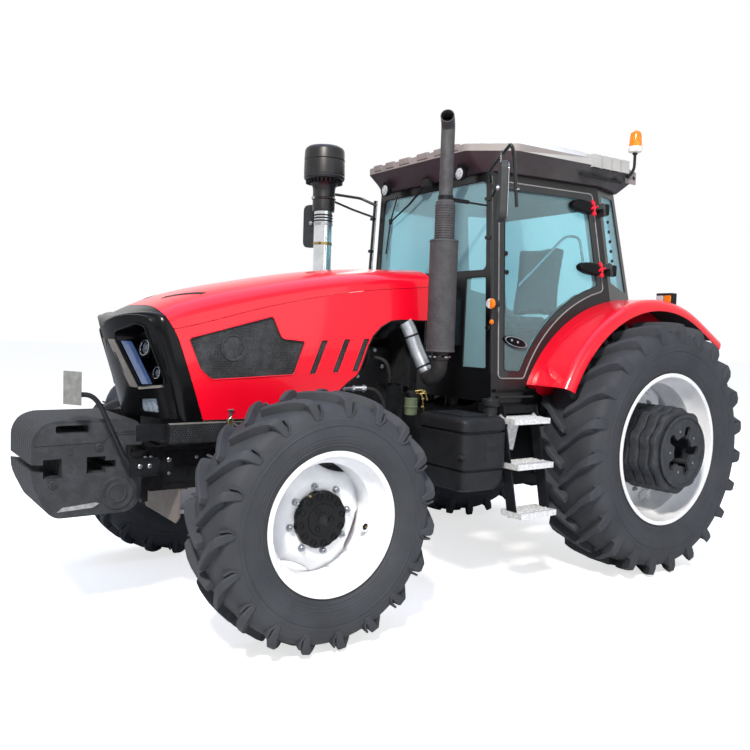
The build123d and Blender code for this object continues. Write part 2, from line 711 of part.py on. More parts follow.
def behind_nose(front, back):
    # The space between two depths behind the nose's inner face
    with BuildPart() as slab:
        add(lamp_space.moved(Location((0, front, 0))))
        add(lamp_space.moved(Location((0, back, 0))), mode=Mode.SUBTRACT)
    return slab.part


with BuildPart() as round_bodies:
    with BuildSketch(Plane(origin=(0, -2300, 0), x_dir=(1, 0, 0), z_dir=(0, -1, 0))):
        for x, z, radius in round_lamps:
            with Locations((-x, z), (x, z)):
                Circle(radius)
    extrude(amount=-700)
    add(behind_nose(lamp_set_back, lamp_pocket + 2), mode=Mode.INTERSECT)
with BuildPart() as low_lamps:
    add(seen_from_front(low_lamp_outline, lamp_lip, 10))
    add(behind_nose(0, 34), mode=Mode.INTERSECT)
with BuildPart() as headlamps:
    add(seen_from_front(eye_outline, lamp_lip))
    add(behind_nose(0, lamp_housing), mode=Mode.INTERSECT)
    with BuildPart(mode=Mode.SUBTRACT):
        add(seen_from_front(eye_outline, -2, 12))
        add(behind_nose(-2, lamp_pocket), mode=Mode.INTERSECT)
    add(round_bodies.part)
    add(low_lamps.part)
keep(headlamps.part, "headlamps")


# ---- Cab: six-sided in plan, leaning in towards the roof ----
def cab_corners(z):
    t = (z - cab_sill_z) / (cab_top_z - cab_sill_z)
    return [(lx + (hx - lx) * t, ly + (hy - ly) * t) for (lx, ly), (hx, hy) in zip(cab_low, cab_high)]


def cab_solid(inset, low_z, high_z):
    with BuildPart() as body:
        for z in (low_z, high_z):
            right = cab_corners(z)
            left = [(-x, y) for x, y in reversed(right)]
            with BuildSketch(Plane.XY.offset(z)):
                Polygon(*right, *left, align=None)
                if inset:
                    offset(amount=-inset, kind=Kind.INTERSECTION, mode=Mode.REPLACE)
        loft(ruled=True)
    return body.part


def wall_plane(low_a, low_b, high_a):
    # The plane of one cab wall, its origin at the sill corner, local x along the sill, normal outward
    a = Vector(low_a[0], low_a[1], cab_sill_z)
    b = Vector(low_b[0], low_b[1], cab_sill_z)
    c = Vector(high_a[0], high_a[1], cab_top_z)
    normal = (b - a).cross(c - a)
    return Plane(origin=a, x_dir=b - a, z_dir=normal)


def arch(radius, inner_x):
    with BuildPart() as cutter:
        for side in (-1, 1):
            with BuildSketch(Plane(origin=(side * inner_x, rear_axle_y, rear_tyre_r), z_dir=(side, 0, 0))):
                Circle(radius)
            extrude(amount=500)
    return cutter.part


door_wall = wall_plane(cab_low[0], cab_low[1], cab_high[0])
quarter_wall = wall_plane(cab_low[1], cab_low[2], cab_high[1])
rail_z = cab_top_z - post_w


def wall_edge(index, z):
    # Where a cab corner stands at a height
    x, y = cab_corners(z)[index]
    return Vector(x, y, z)


def local(wall, point):
    p = wall.to_local_coords(point)
    return Vector(p.X, p.Y)


def door_outline(shrink):
    # Straight posts and a lower rear edge that follows the fender
    low = local(door_wall, wall_edge(0, cab_sill_z)) + Vector(post_w + shrink, 6 + shrink)
    high = local(door_wall, wall_edge(0, rail_z)) + Vector(post_w + shrink, -shrink)
    rear_high = local(door_wall, wall_edge(1, rail_z)) + Vector(-post_w - shrink, -shrink)
    rear_low = local(door_wall, wall_edge(1, cab_sill_z)) + Vector(-post_w - shrink, 0)
    centre = local(door_wall, Vector(760, rear_axle_y, rear_tyre_r + door_arc_rise))
    radius = door_arc_r + shrink
    corner = Vector(centre.X - sqrt(radius**2 - (low.Y - centre.Y) ** 2), low.Y)
    # Meet the leaning rear post
    lean = (rear_high - rear_low).normalized()
    away = rear_low - centre
    along = -away.dot(lean) + sqrt(away.dot(lean) ** 2 - away.dot(away) + radius**2)
    meet = rear_low + lean * along
    middle = (corner + meet) * 0.5 - centre
    crown = centre + middle.normalized() * radius
    with BuildSketch(door_wall) as outline:
        with BuildLine():
            Polyline(corner, low, high, rear_high, meet)
            ThreePointArc(meet, crown, corner)
        make_face()
        fillet(outline.vertices(), 28)
    return outline.sketch


def pane(outline, plane, start, depth):
    # A flat piece inside a wall: it begins at a depth below the wall's face
    with BuildPart() as piece:
        extrude(outline, amount=depth, dir=-plane.z_dir)
    return piece.part.moved(Location(plane.z_dir * -start))


door_hole = pane(door_outline(0), door_wall, -30, 160)
with BuildPart() as door:
    add(pane(door_outline(move_gap), door_wall, 0, door_t))
    add(pane(door_outline(move_gap + door_rail), door_wall, -10, door_t + 20), mode=Mode.SUBTRACT)
door_glass = pane(door_outline(move_gap + door_rail + seat_gap), door_wall, 8, glass_t)

hinge_axis = (wall_edge(1, cab_top_z) - wall_edge(1, cab_sill_z)).normalized()
hinge_zs = (cab_top_z - 565, cab_top_z - 165)
hinge_planes = [
    Plane(origin=wall_edge(1, z) + door_wall.z_dir * hinge_out, x_dir=door_wall.x_dir, z_dir=hinge_axis)
    for z in hinge_zs
]
with BuildPart() as door_frame:
    add(door.part)
    for place in hinge_planes:
        # A strap with a foot on the door's rear rail and an eye on the pin
        with BuildSketch(place.offset(10 + seat_gap)):
            Circle(16)
            Polygon((0, -12), (-120, -12), (-120, hinge_out + 3), (-66, hinge_out + 3), (-66, 12), (0, 12), align=None)
            Circle(hinge_pin_r + seat_gap, mode=Mode.SUBTRACT)
        extrude(amount=34)
keep_pair(door_frame.part, "door")
keep_pair(door_glass, "door_glass")

quarter_low_z = rear_tyre_r + fender_r + 50


def quarter_outline(shrink):
    a = local(quarter_wall, wall_edge(1, quarter_low_z + 60)) + Vector(post_w + shrink, shrink)
    b = local(quarter_wall, wall_edge(1, rail_z)) + Vector(post_w + shrink, -shrink)
    c = local(quarter_wall, wall_edge(2, rail_z)) + Vector(-post_w - shrink, -shrink)
    d = local(quarter_wall, wall_edge(2, quarter_low_z)) + Vector(-post_w - shrink, shrink)
    with BuildSketch(quarter_wall) as outline:
        with BuildLine():
            Polyline(a, b, c, d, close=True)
        make_face()
        fillet(outline.vertices(), 20)
    return outline.sketch


front_wall_plane = Plane(
    origin=(0, cab_low[0][1], cab_sill_z), x_dir=(1, 0, 0),
    z_dir=(0, -(cab_top_z - cab_sill_z), cab_high[0][1] - cab_low[0][1]),
)
rear_wall_plane = Plane(
    origin=(0, cab_low[2][1], cab_sill_z), x_dir=(-1, 0, 0),
    z_dir=(0, cab_top_z - cab_sill_z, cab_low[2][1] - cab_high[2][1]),
)
scuttle_y = cab_front_y - 305
shield_low_z = 1985.0
side_light_low_z = 1360.0
firewall_half = 400.0


def shield_outline(shrink):
    low_half = cab_corners(shield_low_z)[0][0] - post_w - shrink
    high_half = cab_corners(rail_z)[0][0] - post_w - shrink
    base = shield_low_z - cab_sill_z + shrink
    top = rail_z - cab_sill_z - shrink
    with BuildSketch(front_wall_plane) as outline:
        Polygon((-low_half, base), (low_half, base), (high_half, top), (-high_half, top), align=None)
        fillet(outline.vertices(), 40)
    return outline.sketch


def side_light_outline(shrink):
    base = side_light_low_z - cab_sill_z + shrink
    top = shield_low_z - 40 - cab_sill_z - shrink
    out_low = cab_corners(side_light_low_z)[0][0] - post_w - shrink
    out_high = cab_corners(shield_low_z)[0][0] - post_w - shrink
    with BuildSketch(front_wall_plane) as outline:
        inner = firewall_half + shrink
        Polygon((inner, base), (out_low, base), (out_high, top), (inner, top), align=None)
        Polygon((-inner, base), (-inner, top), (-out_high, top), (-out_low, base), align=None)
        fillet(outline.vertices(), 16)
    return outline.sketch


def rear_outline(shrink):
    base_z = 1700
    low_half = cab_corners(base_z)[2][0] - post_w - shrink
    high_half = cab_corners(rail_z)[2][0] - post_w - shrink
    with BuildSketch(rear_wall_plane) as outline:
        Polygon(
            (-low_half, base_z - cab_sill_z + shrink), (low_half, base_z - cab_sill_z + shrink),
            (high_half, rail_z - cab_sill_z - shrink), (-high_half, rail_z - cab_sill_z - shrink), align=None,
        )
        fillet(outline.vertices(), 30)
    return outline.sketch


with BuildPart() as cab_void:
    add(cab_solid(cab_wall, cab_floor_z + cab_wall, cab_top_z + 60))
    add(arch(fender_r + cab_wall, fender_in_x - cab_wall), mode=Mode.SUBTRACT)

quarter_hole = pane(quarter_outline(0), quarter_wall, -30, 160)
with BuildPart() as cab:
    add(cab_solid(0, cab_floor_z, cab_top_z))
    add(arch(fender_r + seat_gap, fender_in_x - seat_gap), mode=Mode.SUBTRACT)
    add(cab_void.part, mode=Mode.SUBTRACT)
    for hole in (door_hole, quarter_hole):
        add(hole, mode=Mode.SUBTRACT)
        add(mirror(hole, about=Plane.YZ, mode=Mode.PRIVATE), mode=Mode.SUBTRACT)
    add(pane(shield_outline(0), front_wall_plane, -30, 160), mode=Mode.SUBTRACT)
    add(pane(side_light_outline(0), front_wall_plane, -30, 160), mode=Mode.SUBTRACT)
    add(pane(rear_outline(0), rear_wall_plane, -30, 160), mode=Mode.SUBTRACT)
    # Scuttle between the hood and the windshield, with the ears that carry the hood's hinge
    with BuildSketch(Plane(origin=(0, scuttle_y, 0), x_dir=(1, 0, 0), z_dir=(0, -1, 0))):
        Polygon((-380, 1500), (380, 1500), (380, 1800), (290, 1900), (-290, 1900), (-380, 1800), align=None)
    extrude(amount=scuttle_y - cab_low[0][1] - 8)
    for side in (-1, 1):
        with BuildSketch(side_plane(side * (hood_ear_x + 6))):
            with Locations((hood_pivot_y, hood_pivot_z)):
                Circle(24)
            Polygon((hood_pivot_y, hood_pivot_z - 24), (scuttle_y + 5, 1840), (scuttle_y + 5, 1895),
                    (hood_pivot_y, hood_pivot_z + 24), align=None)
        extrude(amount=6, both=True)
        with Locations((side * (hood_ear_x - 4), hood_pivot_y, hood_pivot_z)):
            Cylinder(hood_pin_r, 32, rotation=(0, 90, 0))
    # Hinge brackets on the door posts
    for place in hinge_planes:
        with BuildSketch(place.offset(-40)):
            Circle(16)
            Polygon((-16, 0), (16, 0), (4, hinge_out + 3), (-38, hinge_out + 3), align=None)
        bracket = extrude(amount=50, mode=Mode.PRIVATE)
        with BuildSketch(place.offset(-20)):
            Circle(hinge_pin_r)
        pin = extrude(amount=70, mode=Mode.PRIVATE)
        for piece in (bracket, pin):
            add(piece)
            add(mirror(piece, about=Plane.YZ, mode=Mode.PRIVATE))
keep(cab.part, "cab_frame")
keep(pane(shield_outline(seat_gap), front_wall_plane, 8, glass_t), "windshield")

quarter_glass = pane(quarter_outline(seat_gap), quarter_wall, 8, glass_t)
fixed_panes = [quarter_glass, mirror(quarter_glass, about=Plane.YZ)]
fixed_panes += list(pane(side_light_outline(seat_gap), front_wall_plane, 8, glass_t).solids())
fixed_panes += [pane(rear_outline(seat_gap), rear_wall_plane, 8, glass_t)]
keep(Compound(children=fixed_panes), "cab_glass")

# ---- Roof: the visor slopes out from the cab's top to a thin rim, with a low crown above ----
roof_base_z = cab_top_z + seat_gap
rim_low_z = cab_top_z + 112
rim_top_z = cab_top_z + 156
roof_top_z = cab_top_z + 262
# Half plans, from the front corner to the rear one: x, y behind the cab's front
roof_foot = [(520, -10), (640, 45), (738, 895), (640, 1205)]
roof_rim = [(530, -150), (752, 90), (808, 990), (690, 1335)]
roof_crown = [(330, 150), (520, 270), (560, 890), (430, 1130)]
rib_count = 4
rib_pitch = 92.0
rib_l = 76.0
rib_start_y = cab_front_y + 760


def roof_plan(half, z, corner):
    with BuildSketch(Plane.XY.offset(z)) as plan:
        left = [(x, cab_front_y + y) for x, y in half]
        Polygon(*left, *[(-x, y) for x, y in reversed(left)], align=None)
        fillet(plan.vertices(), corner)
    return plan.sketch


def roof_layer(low_half, low_z, high_half, high_z):
    with BuildPart() as layer:
        add(roof_plan(low_half, low_z, 60))
        add(roof_plan(high_half, high_z, 60))
        loft(ruled=True)
    return layer.part


with BuildPart() as roof:
    add(roof_layer(roof_foot, roof_base_z, roof_rim, rim_low_z))
    add(roof_layer(roof_rim, rim_low_z, roof_rim, rim_top_z))
    add(roof_layer(roof_rim, rim_top_z, roof_crown, roof_top_z))
    # Ribs on the rear half of each side
    for i in range(rib_count):
        y = rib_start_y + i * rib_pitch
        rib_x = 760 + 40 * (y - rib_start_y) / 900
        with Locations((rib_x, y, rim_top_z - 16), (-rib_x, y, rim_top_z - 16)):
            Box(100, rib_l, 84)
keep(roof.part, "cab_roof")


# ---- Fenders: an arched top with a rolled outer edge and a flat inner wall ----
def fender_section():
    r, t, xi, xo = fender_r, fender_t, fender_in_x, fender_out_x
    with BuildLine() as line:
        Polyline((xi, 620), (xi, r), (xo - 60, r))
        RadiusArc((xo - 60, r), (xo, r - 60), 60)
        Polyline((xo, r - 60), (xo, r - 78), (xo - t, r - 78), (xo - t, r - 60))
        RadiusArc((xo - t, r - 60), (xo - 60, r - t), -(60 - t))
        Polyline((xo - 60, r - t), (xi + t, r - t), (xi + t, 620), (xi, 620))
    return line.line


def polar_plane(angle):
    # Radial section plane of the rear wheel: local x along the axle, local y outward at an angle from +Y
    out = Vector(0, cos(radians(angle)), sin(radians(angle)))
    normal = Vector(1, 0, 0).cross(out)
    return Plane(origin=rear_axle, x_dir=(1, 0, 0), z_dir=normal)


with BuildPart() as fender:
    with BuildSketch(polar_plane(fender_top_deg)):
        with BuildLine():
            add(fender_section())
        make_face()
    revolve(axis=Axis(rear_axle, (1, 0, 0)), revolution_arc=fender_front_deg - fender_top_deg)
    with BuildSketch(polar_plane(fender_top_deg)):
        with BuildLine():
            add(fender_section())
        make_face()
    extrude(amount=-fender_tail)
keep_pair(fender.part, "fender")

# ---- Fuel tank on the left and the same housing on the right ----
tank_in_x = 560.0
tank_out_x = 1000.0
tank_front_y = cab_front_y - 490
tank_rear_y = cab_front_y - 145
tank_low_z = 671.0
tank_top_z = 1101.0
with BuildPart() as tank:
    with Locations(((tank_in_x + tank_out_x) / 2, (tank_front_y + tank_rear_y) / 2, (tank_low_z + tank_top_z) / 2)):
        Box(tank_out_x - tank_in_x, tank_rear_y - tank_front_y, tank_top_z - tank_low_z)
    fillet(tank.edges(), 30)
    for z in (tank_low_z + 109, tank_low_z + 219, tank_low_z + 319):
        with BuildSketch(Plane.XY.offset(z)):
            with Locations(((tank_in_x + tank_out_x) / 2, (tank_front_y + tank_rear_y) / 2)):
                Rectangle(tank_out_x - tank_in_x + 20, tank_rear_y - tank_front_y + 20)
                Rectangle(tank_out_x - tank_in_x - 16, tank_rear_y - tank_front_y - 16, mode=Mode.SUBTRACT)
        extrude(amount=14, mode=Mode.SUBTRACT)
    with Locations((tank_out_x - 100, tank_rear_y - 80, tank_top_z + 20)):
        Cylinder(42, 60)
keep_both(tank.part, "side_tanks")

with BuildPart() as tank_bracket:
    for side in (-1, 1):
        reach = tank_in_x - engine_x - 2 * seat_gap
        middle = side * (tank_in_x + engine_x) / 2
        with Locations((middle, tank_front_y + 75, tank_low_z + 89), (middle, tank_front_y + 215, tank_low_z + 89)):
            Box(reach, 60, 60)
        with Locations((side * (tank_in_x - seat_gap - 8), tank_front_y + 175, tank_low_z + 189)):
            Box(16, 300, 260)
keep(tank_bracket.part, "tank_brackets")

# ---- Steps: three treads between two straps ----
tread_l = 300.0
tread_w = 170.0
step_zs = [(1061, 900), (795, 940), (509, 980)]
step_mid_y = cab_front_y + 70
with BuildPart() as steps:
    for z, x in step_zs:
        with Locations((x, step_mid_y, z)):
            Box(tread_w, tread_l, 34)
    for y in (step_mid_y - tread_l / 2 + 10, step_mid_y + tread_l / 2 - 10):
        with BuildSketch(Plane(origin=(0, y, 0), x_dir=(1, 0, 0), z_dir=(0, -1, 0))):
            Polygon((810, 1150), (880, 1150), (1020, 500), (950, 480), align=None)
        extrude(amount=6, both=True)
    with Locations((760, step_mid_y, 1120)):
        Box(200, tread_l, 40)
    with Locations((690, step_mid_y, 1120 + 20)):
        Box(60, tread_l, 19)
keep_both(steps.part, "steps")

# ---- Exhaust: silencer, ribbed neck and outlet pipe ----
stack_x = 660.0
stack_y = cab_front_y - 440
elbow_z = 1300.0
stack_foot_z = 1440.0
with BuildPart() as stack:
    with BuildSketch(Plane(origin=(stack_x, stack_y, 0), x_dir=(1, 0, 0), z_dir=(0, -1, 0))):
        Polygon(
            (0, stack_foot_z), (60, stack_foot_z), (60, stack_foot_z + 30), (90, stack_foot_z + 40), (90, 2110), (66, 2125),
            (66, 2350), (44, 2362), (44, 2640), (0, 2640), align=None,
        )
    revolve(axis=Axis((stack_x, stack_y, 0), (0, 0, 1)))
    with BuildLine() as outlet:
        FilletPolyline(
            (stack_x, stack_y, 2640), (stack_x, stack_y, 2740), (stack_x - 20, stack_y - 90, 2790), radius=60,
        )
    with BuildSketch(Plane(origin=outlet.line @ 0, z_dir=outlet.line % 0)):
        Circle(44)
    sweep(path=outlet.line)
keep(stack.part, "exhaust_stack")

with BuildPart() as exhaust_pipe:
    with BuildLine() as elbow:
        FilletPolyline(
            (engine_x + seat_gap, stack_y - 145, elbow_z), (engine_x + 225, stack_y - 145, elbow_z),
            (stack_x, stack_y, elbow_z), (stack_x, stack_y, stack_foot_z - seat_gap), radius=70,
        )
    with BuildSketch(Plane(origin=elbow.line @ 0, z_dir=elbow.line % 0)):
        Circle(46)
    sweep(path=elbow.line)
keep(exhaust_pipe.part, "exhaust_pipe")

# ---- Air intake: chrome tube, hose and bowl on the right ----
intake_x = -600.0
intake_y = cab_front_y - 490
bowl_low_z = 2420.0
with BuildPart() as intake:
    with BuildLine() as intake_line:
        FilletPolyline(
            (-engine_x - seat_gap, intake_y, 1400), (intake_x + 120, intake_y, 1400), (intake_x, intake_y, 1480),
            (intake_x, intake_y, bowl_low_z), radius=60,
        )
    with BuildSketch(Plane(origin=intake_line.line @ 0, z_dir=intake_line.line % 0)):
        Circle(65)
    sweep(path=intake_line.line)
keep(intake.part, "intake_tube")

with BuildPart() as precleaner:
    with BuildSketch(Plane(origin=(intake_x, intake_y, 0), x_dir=(1, 0, 0), z_dir=(0, -1, 0))):
        Polygon(
            (0, bowl_low_z + seat_gap), (78, bowl_low_z + seat_gap), (78, 2590), (100, 2625), (140, 2640), (147, 2660),
            (147, 2840), (135, 2880), (0, 2886), align=None,
        )
    revolve(axis=Axis((intake_x, intake_y, 0), (0, 0, 1)))
keep(precleaner.part, "precleaner")

# ---- Cab inside: floor console, column, wheel, seat ----
floor_z = cab_floor_z + cab_wall + seat_gap
console_y = cab_front_y + 55
column_foot = Vector(0, cab_front_y + 225, 1690)
column_dir = Vector(0, 0.42, 0.9).normalized()
column_l = 150.0
with BuildPart() as console:
    with BuildSketch(side_plane(0)):
        Polygon(
            (console_y, floor_z), (console_y + 20, 1780), (console_y + 110, 1830), (console_y + 180, 1700),
            (console_y + 250, floor_z), align=None,
        )
    extrude(amount=150, both=True)
    with BuildSketch(Plane(origin=column_foot, x_dir=(1, 0, 0), z_dir=column_dir)):
        Circle(24)
    extrude(amount=column_l)
keep(console.part, "console")

with BuildPart() as steering_wheel:
    with BuildSketch(Plane(origin=column_foot + column_dir * (column_l + seat_gap), x_dir=(1, 0, 0), z_dir=column_dir)):
        Circle(200)
        Circle(172, mode=Mode.SUBTRACT)
        Circle(45)
        with PolarLocations(110, 3, start_angle=30):
            Rectangle(150, 26)
    extrude(amount=26)
keep(steering_wheel.part, "steering_wheel")

seat_y = rear_axle_y - 355
with BuildPart() as seat_base:
    with BuildSketch(Plane.XY.offset(floor_z)):
        with Locations((0, seat_y)):
            RectangleRounded(380, 380, 40)
    extrude(amount=380, taper=3)
    with Locations((0, seat_y, floor_z + 395)):
        Box(460, 440, 30)
keep(seat_base.part, "seat_base")

with BuildPart() as seat:
    with BuildSketch(Plane.XY.offset(floor_z + 410 + seat_gap)):
        with Locations((0, seat_y - 10)):
            RectangleRounded(500, 470, 70)
    extrude(amount=110)
    with BuildSketch(Plane(origin=(0, seat_y + 230, floor_z + 520 + 2 * seat_gap), x_dir=(1, 0, 0), z_dir=(0, 0.12, 1))):
        RectangleRounded(470, 120, 50)
    extrude(amount=560)
keep(seat.part, "seat")

# ---- Mirrors, rails, lamps ----
mirror_x = 1060.0
mirror_y = cab_front_y - 315
mirror_z = cab_top_z - 229
mirror_h = 330.0
with BuildPart() as mirrors:
    for side in (-1, 1):
        with Locations((side * mirror_x, mirror_y, mirror_z)):
            Box(170, 50, mirror_h)
        post = wall_edge(0, cab_top_z - 85)
        with BuildLine() as arm:
            FilletPolyline(
                (side * (post.X - 12), post.Y - 5, post.Z), (side * 700, cab_front_y - 145, cab_top_z - 45),
                (side * mirror_x, mirror_y + 4, cab_top_z + 35), (side * mirror_x, mirror_y + 4, mirror_z + 124), radius=40,
            )
        with BuildSketch(Plane(origin=arm.line @ 0, z_dir=arm.line % 0)):
            Circle(11)
        sweep(path=arm.line)
    add(cab.part, mode=Mode.SUBTRACT)
keep(mirrors.part, "mirrors")

lamp_x = 410.0
lamp_y = cab_front_y - 85
lamp_z = cab_top_z - 5
with BuildPart() as roof_lamps:
    for side in (-1, 1):
        with BuildSketch(Plane(origin=(side * lamp_x, lamp_y, lamp_z), x_dir=(1, 0, 0), z_dir=(0, -1, 0))):
            Circle(46)
        extrude(amount=-45)
        # Bracket up into the visor
        with Locations((side * lamp_x, lamp_y + 26, lamp_z + 60)):
            Box(24, 24, 120)
    add(roof.part, mode=Mode.SUBTRACT)
keep(roof_lamps.part, "roof_lamps")

beacon_x = 770.0
beacon_y = cab_front_y + 1165
beacon_low_z = cab_top_z + 155
with BuildPart() as beacon:
    with BuildSketch(Plane(origin=(beacon_x, beacon_y, beacon_low_z), x_dir=(1, 0, 0), z_dir=(0, -1, 0))):
        Polygon((0, 0), (20, 0), (20, 108), (48, 108), (48, 140), (44, 145), (38, 260), (0, 276), align=None)
    revolve(axis=Axis((beacon_x, beacon_y, 0), (0, 0, 1)))
    with Locations((beacon_x - 40, beacon_y, beacon_low_z + 15)):
        Box(80, 34, 20)
    add(roof.part, mode=Mode.SUBTRACT)
keep(beacon.part, "beacon")

with BuildPart() as rear_lamps:
    for side in (-1, 1):
        with Locations((side * (fender_out_x - 120), rear_axle_y + 205, rear_tyre_r + fender_r)):
            Box(120, 60, 110)
    add(arch(fender_r + seat_gap, 500), mode=Mode.SUBTRACT)
keep(rear_lamps.part, "rear_lamps")

# ---- Rear linkage ----
with BuildPart() as lower_links:
    for side in (-1, 1):
        start = Vector(side * link_in_x, link_pivot_y, link_pivot_z)
        end = Vector(side * link_out_x, link_end_y, link_end_z)
        with BuildSketch(Plane(origin=start, x_dir=(0, 0, 1), z_dir=end - start)):
            Rectangle(70, 26)
        extrude(amount=(end - start).length)
        for spot in (start, end):
            with BuildSketch(Plane(origin=spot - Vector(20, 0, 0), z_dir=(1, 0, 0))):
                Circle(44)
            extrude(amount=40)
        for spot in (start, end):
            with BuildSketch(Plane(origin=spot - Vector(60, 0, 0), z_dir=(1, 0, 0))):
                Circle(14.2)
            extrude(amount=120, mode=Mode.SUBTRACT)
keep(lower_links.part, "lower_links")

with BuildPart() as lift_arms:
    with BuildSketch(Plane(origin=(-arm_x, arm_pivot_y, arm_pivot_z), z_dir=(1, 0, 0))):
        Circle(lift_shaft_r)
    extrude(amount=2 * arm_x)
    for side in (-1, 1):
        with BuildSketch(Plane(origin=(side * arm_x - 18, arm_pivot_y, arm_pivot_z), x_dir=(0, 1, 0), z_dir=(1, 0, 0))):
            Circle(56)
            with Locations((arm_len / 2, 0)):
                Rectangle(arm_len, 56)
            with Locations((arm_len, 0)):
                Circle(34)
        extrude(amount=36)
        with Locations((side * rod_x, arm_pivot_y + arm_len, arm_pivot_z)):
            Cylinder(rod_pin_r, 56, rotation=(0, 90, 0))
keep(lift_arms.part, "lift_arms")

with BuildPart() as lift_rods:
    for side in (-1, 1):
        top = Vector(side * rod_x, arm_pivot_y + arm_len, arm_pivot_z)
        foot = Vector(side * rod_x, link_pivot_y + (link_end_y - link_pivot_y) * rod_on_link, link_pivot_z + 90)
        with BuildSketch(Plane(origin=top, z_dir=foot - top)):
            Circle(18)
        extrude(amount=(foot - top).length)
        with BuildSketch(Plane(origin=top - Vector(15, 0, 0), z_dir=(1, 0, 0))):
            Circle(30)
        extrude(amount=30)
        with Locations(top):
            Cylinder(rod_pin_r + seat_gap, 60, rotation=(0, 90, 0), mode=Mode.SUBTRACT)
keep(lift_rods.part, "lift_rods")

drawbar_front_y = rear_axle_y - 105
drawbar_end_y = rear_axle_y + 755
drawbar_z = 430.0
with BuildPart() as drawbar:
    with Locations((0, (drawbar_front_y + drawbar_end_y) / 2, drawbar_z)):
        Box(80, drawbar_end_y - drawbar_front_y, 40)
    with Locations((0, drawbar_end_y - 50, drawbar_z)):
        Cylinder(16, 60, mode=Mode.SUBTRACT)
    with Locations((0, rear_axle_y + 95, drawbar_z + 35)):
        Box(140, 120, 2 * (housing_low_z - drawbar_z - 35 - seat_gap))
keep(drawbar.part, "drawbar")

top_link_z = 900.0
with BuildPart() as top_link:
    with Locations((0, housing_rear_y + 30 + seat_gap, top_link_z)):
        Box(70, 60, 120)
    with BuildSketch(Plane(origin=(0, housing_rear_y + 32, top_link_z), x_dir=(1, 0, 0), z_dir=(0, 1, 1))):
        Circle(22)
    extrude(amount=420)
keep(top_link.part, "top_link")
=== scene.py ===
from math import cos, hypot, pi, radians, sin, sqrt

import bmesh
import bpy
from mathutils import Euler, Matrix, Vector, geometry
from mathutils.bvhtree import BVHTree


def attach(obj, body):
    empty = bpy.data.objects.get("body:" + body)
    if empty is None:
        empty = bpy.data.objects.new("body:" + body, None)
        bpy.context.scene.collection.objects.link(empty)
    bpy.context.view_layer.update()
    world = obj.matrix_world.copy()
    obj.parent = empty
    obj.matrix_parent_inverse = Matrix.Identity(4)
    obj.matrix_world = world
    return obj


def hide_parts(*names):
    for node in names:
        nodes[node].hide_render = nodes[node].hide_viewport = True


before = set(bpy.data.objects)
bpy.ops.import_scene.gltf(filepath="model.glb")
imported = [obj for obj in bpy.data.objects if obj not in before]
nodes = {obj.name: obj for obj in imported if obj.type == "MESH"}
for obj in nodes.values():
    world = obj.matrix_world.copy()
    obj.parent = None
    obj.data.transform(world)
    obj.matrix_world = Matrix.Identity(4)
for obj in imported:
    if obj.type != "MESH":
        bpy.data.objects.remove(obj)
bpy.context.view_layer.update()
scene = bpy.context.scene


# ---- Camera, floor and light ----
def placeCamera():
    shot = {"place": (4.28, -3.248, 1.57), "azimuth": 54.97, "elevation": 3.14, "roll": 1.83, "lens": 37.54}
    a, e, r = (radians(shot[k]) for k in ("azimuth", "elevation", "roll"))
    back = Vector((sin(a) * cos(e), -cos(a) * cos(e), sin(e)))
    right = (-back).cross(Vector((0, 0, 1))).normalized()
    up = right.cross(-back)
    turned = right * cos(r) + up * sin(r)
    risen = up * cos(r) - right * sin(r)
    camera = bpy.data.objects.new("camera", bpy.data.cameras.new("camera"))
    camera.matrix_world = Matrix((turned, risen, back)).transposed().to_4x4()
    camera.location = shot["place"]
    camera.data.lens = shot["lens"]
    camera.data.sensor_width = 36
    camera.data.clip_end = 200
    scene.collection.objects.link(camera)
    scene.camera = camera


def toLinear(code):
    # sRGB hex to linear light
    parts = [int(code[i:i + 2], 16) / 255 for i in (1, 3, 5)]
    return tuple(p / 12.92 if p <= 0.04045 else ((p + 0.055) / 1.055) ** 2.4 for p in parts) + (1,)


def addNode(tree, kind, settings=None, links=None):
    # One node: settings name attributes or sockets, links map a socket to what feeds it
    node = tree.nodes.new(kind)
    for key, value in (settings or {}).items():
        if isinstance(key, str) and hasattr(node, key):
            setattr(node, key, value)
        else:
            node.inputs[key].default_value = value
    for key, source in (links or {}).items():
        tree.links.new(source, node.inputs[key])
    return node


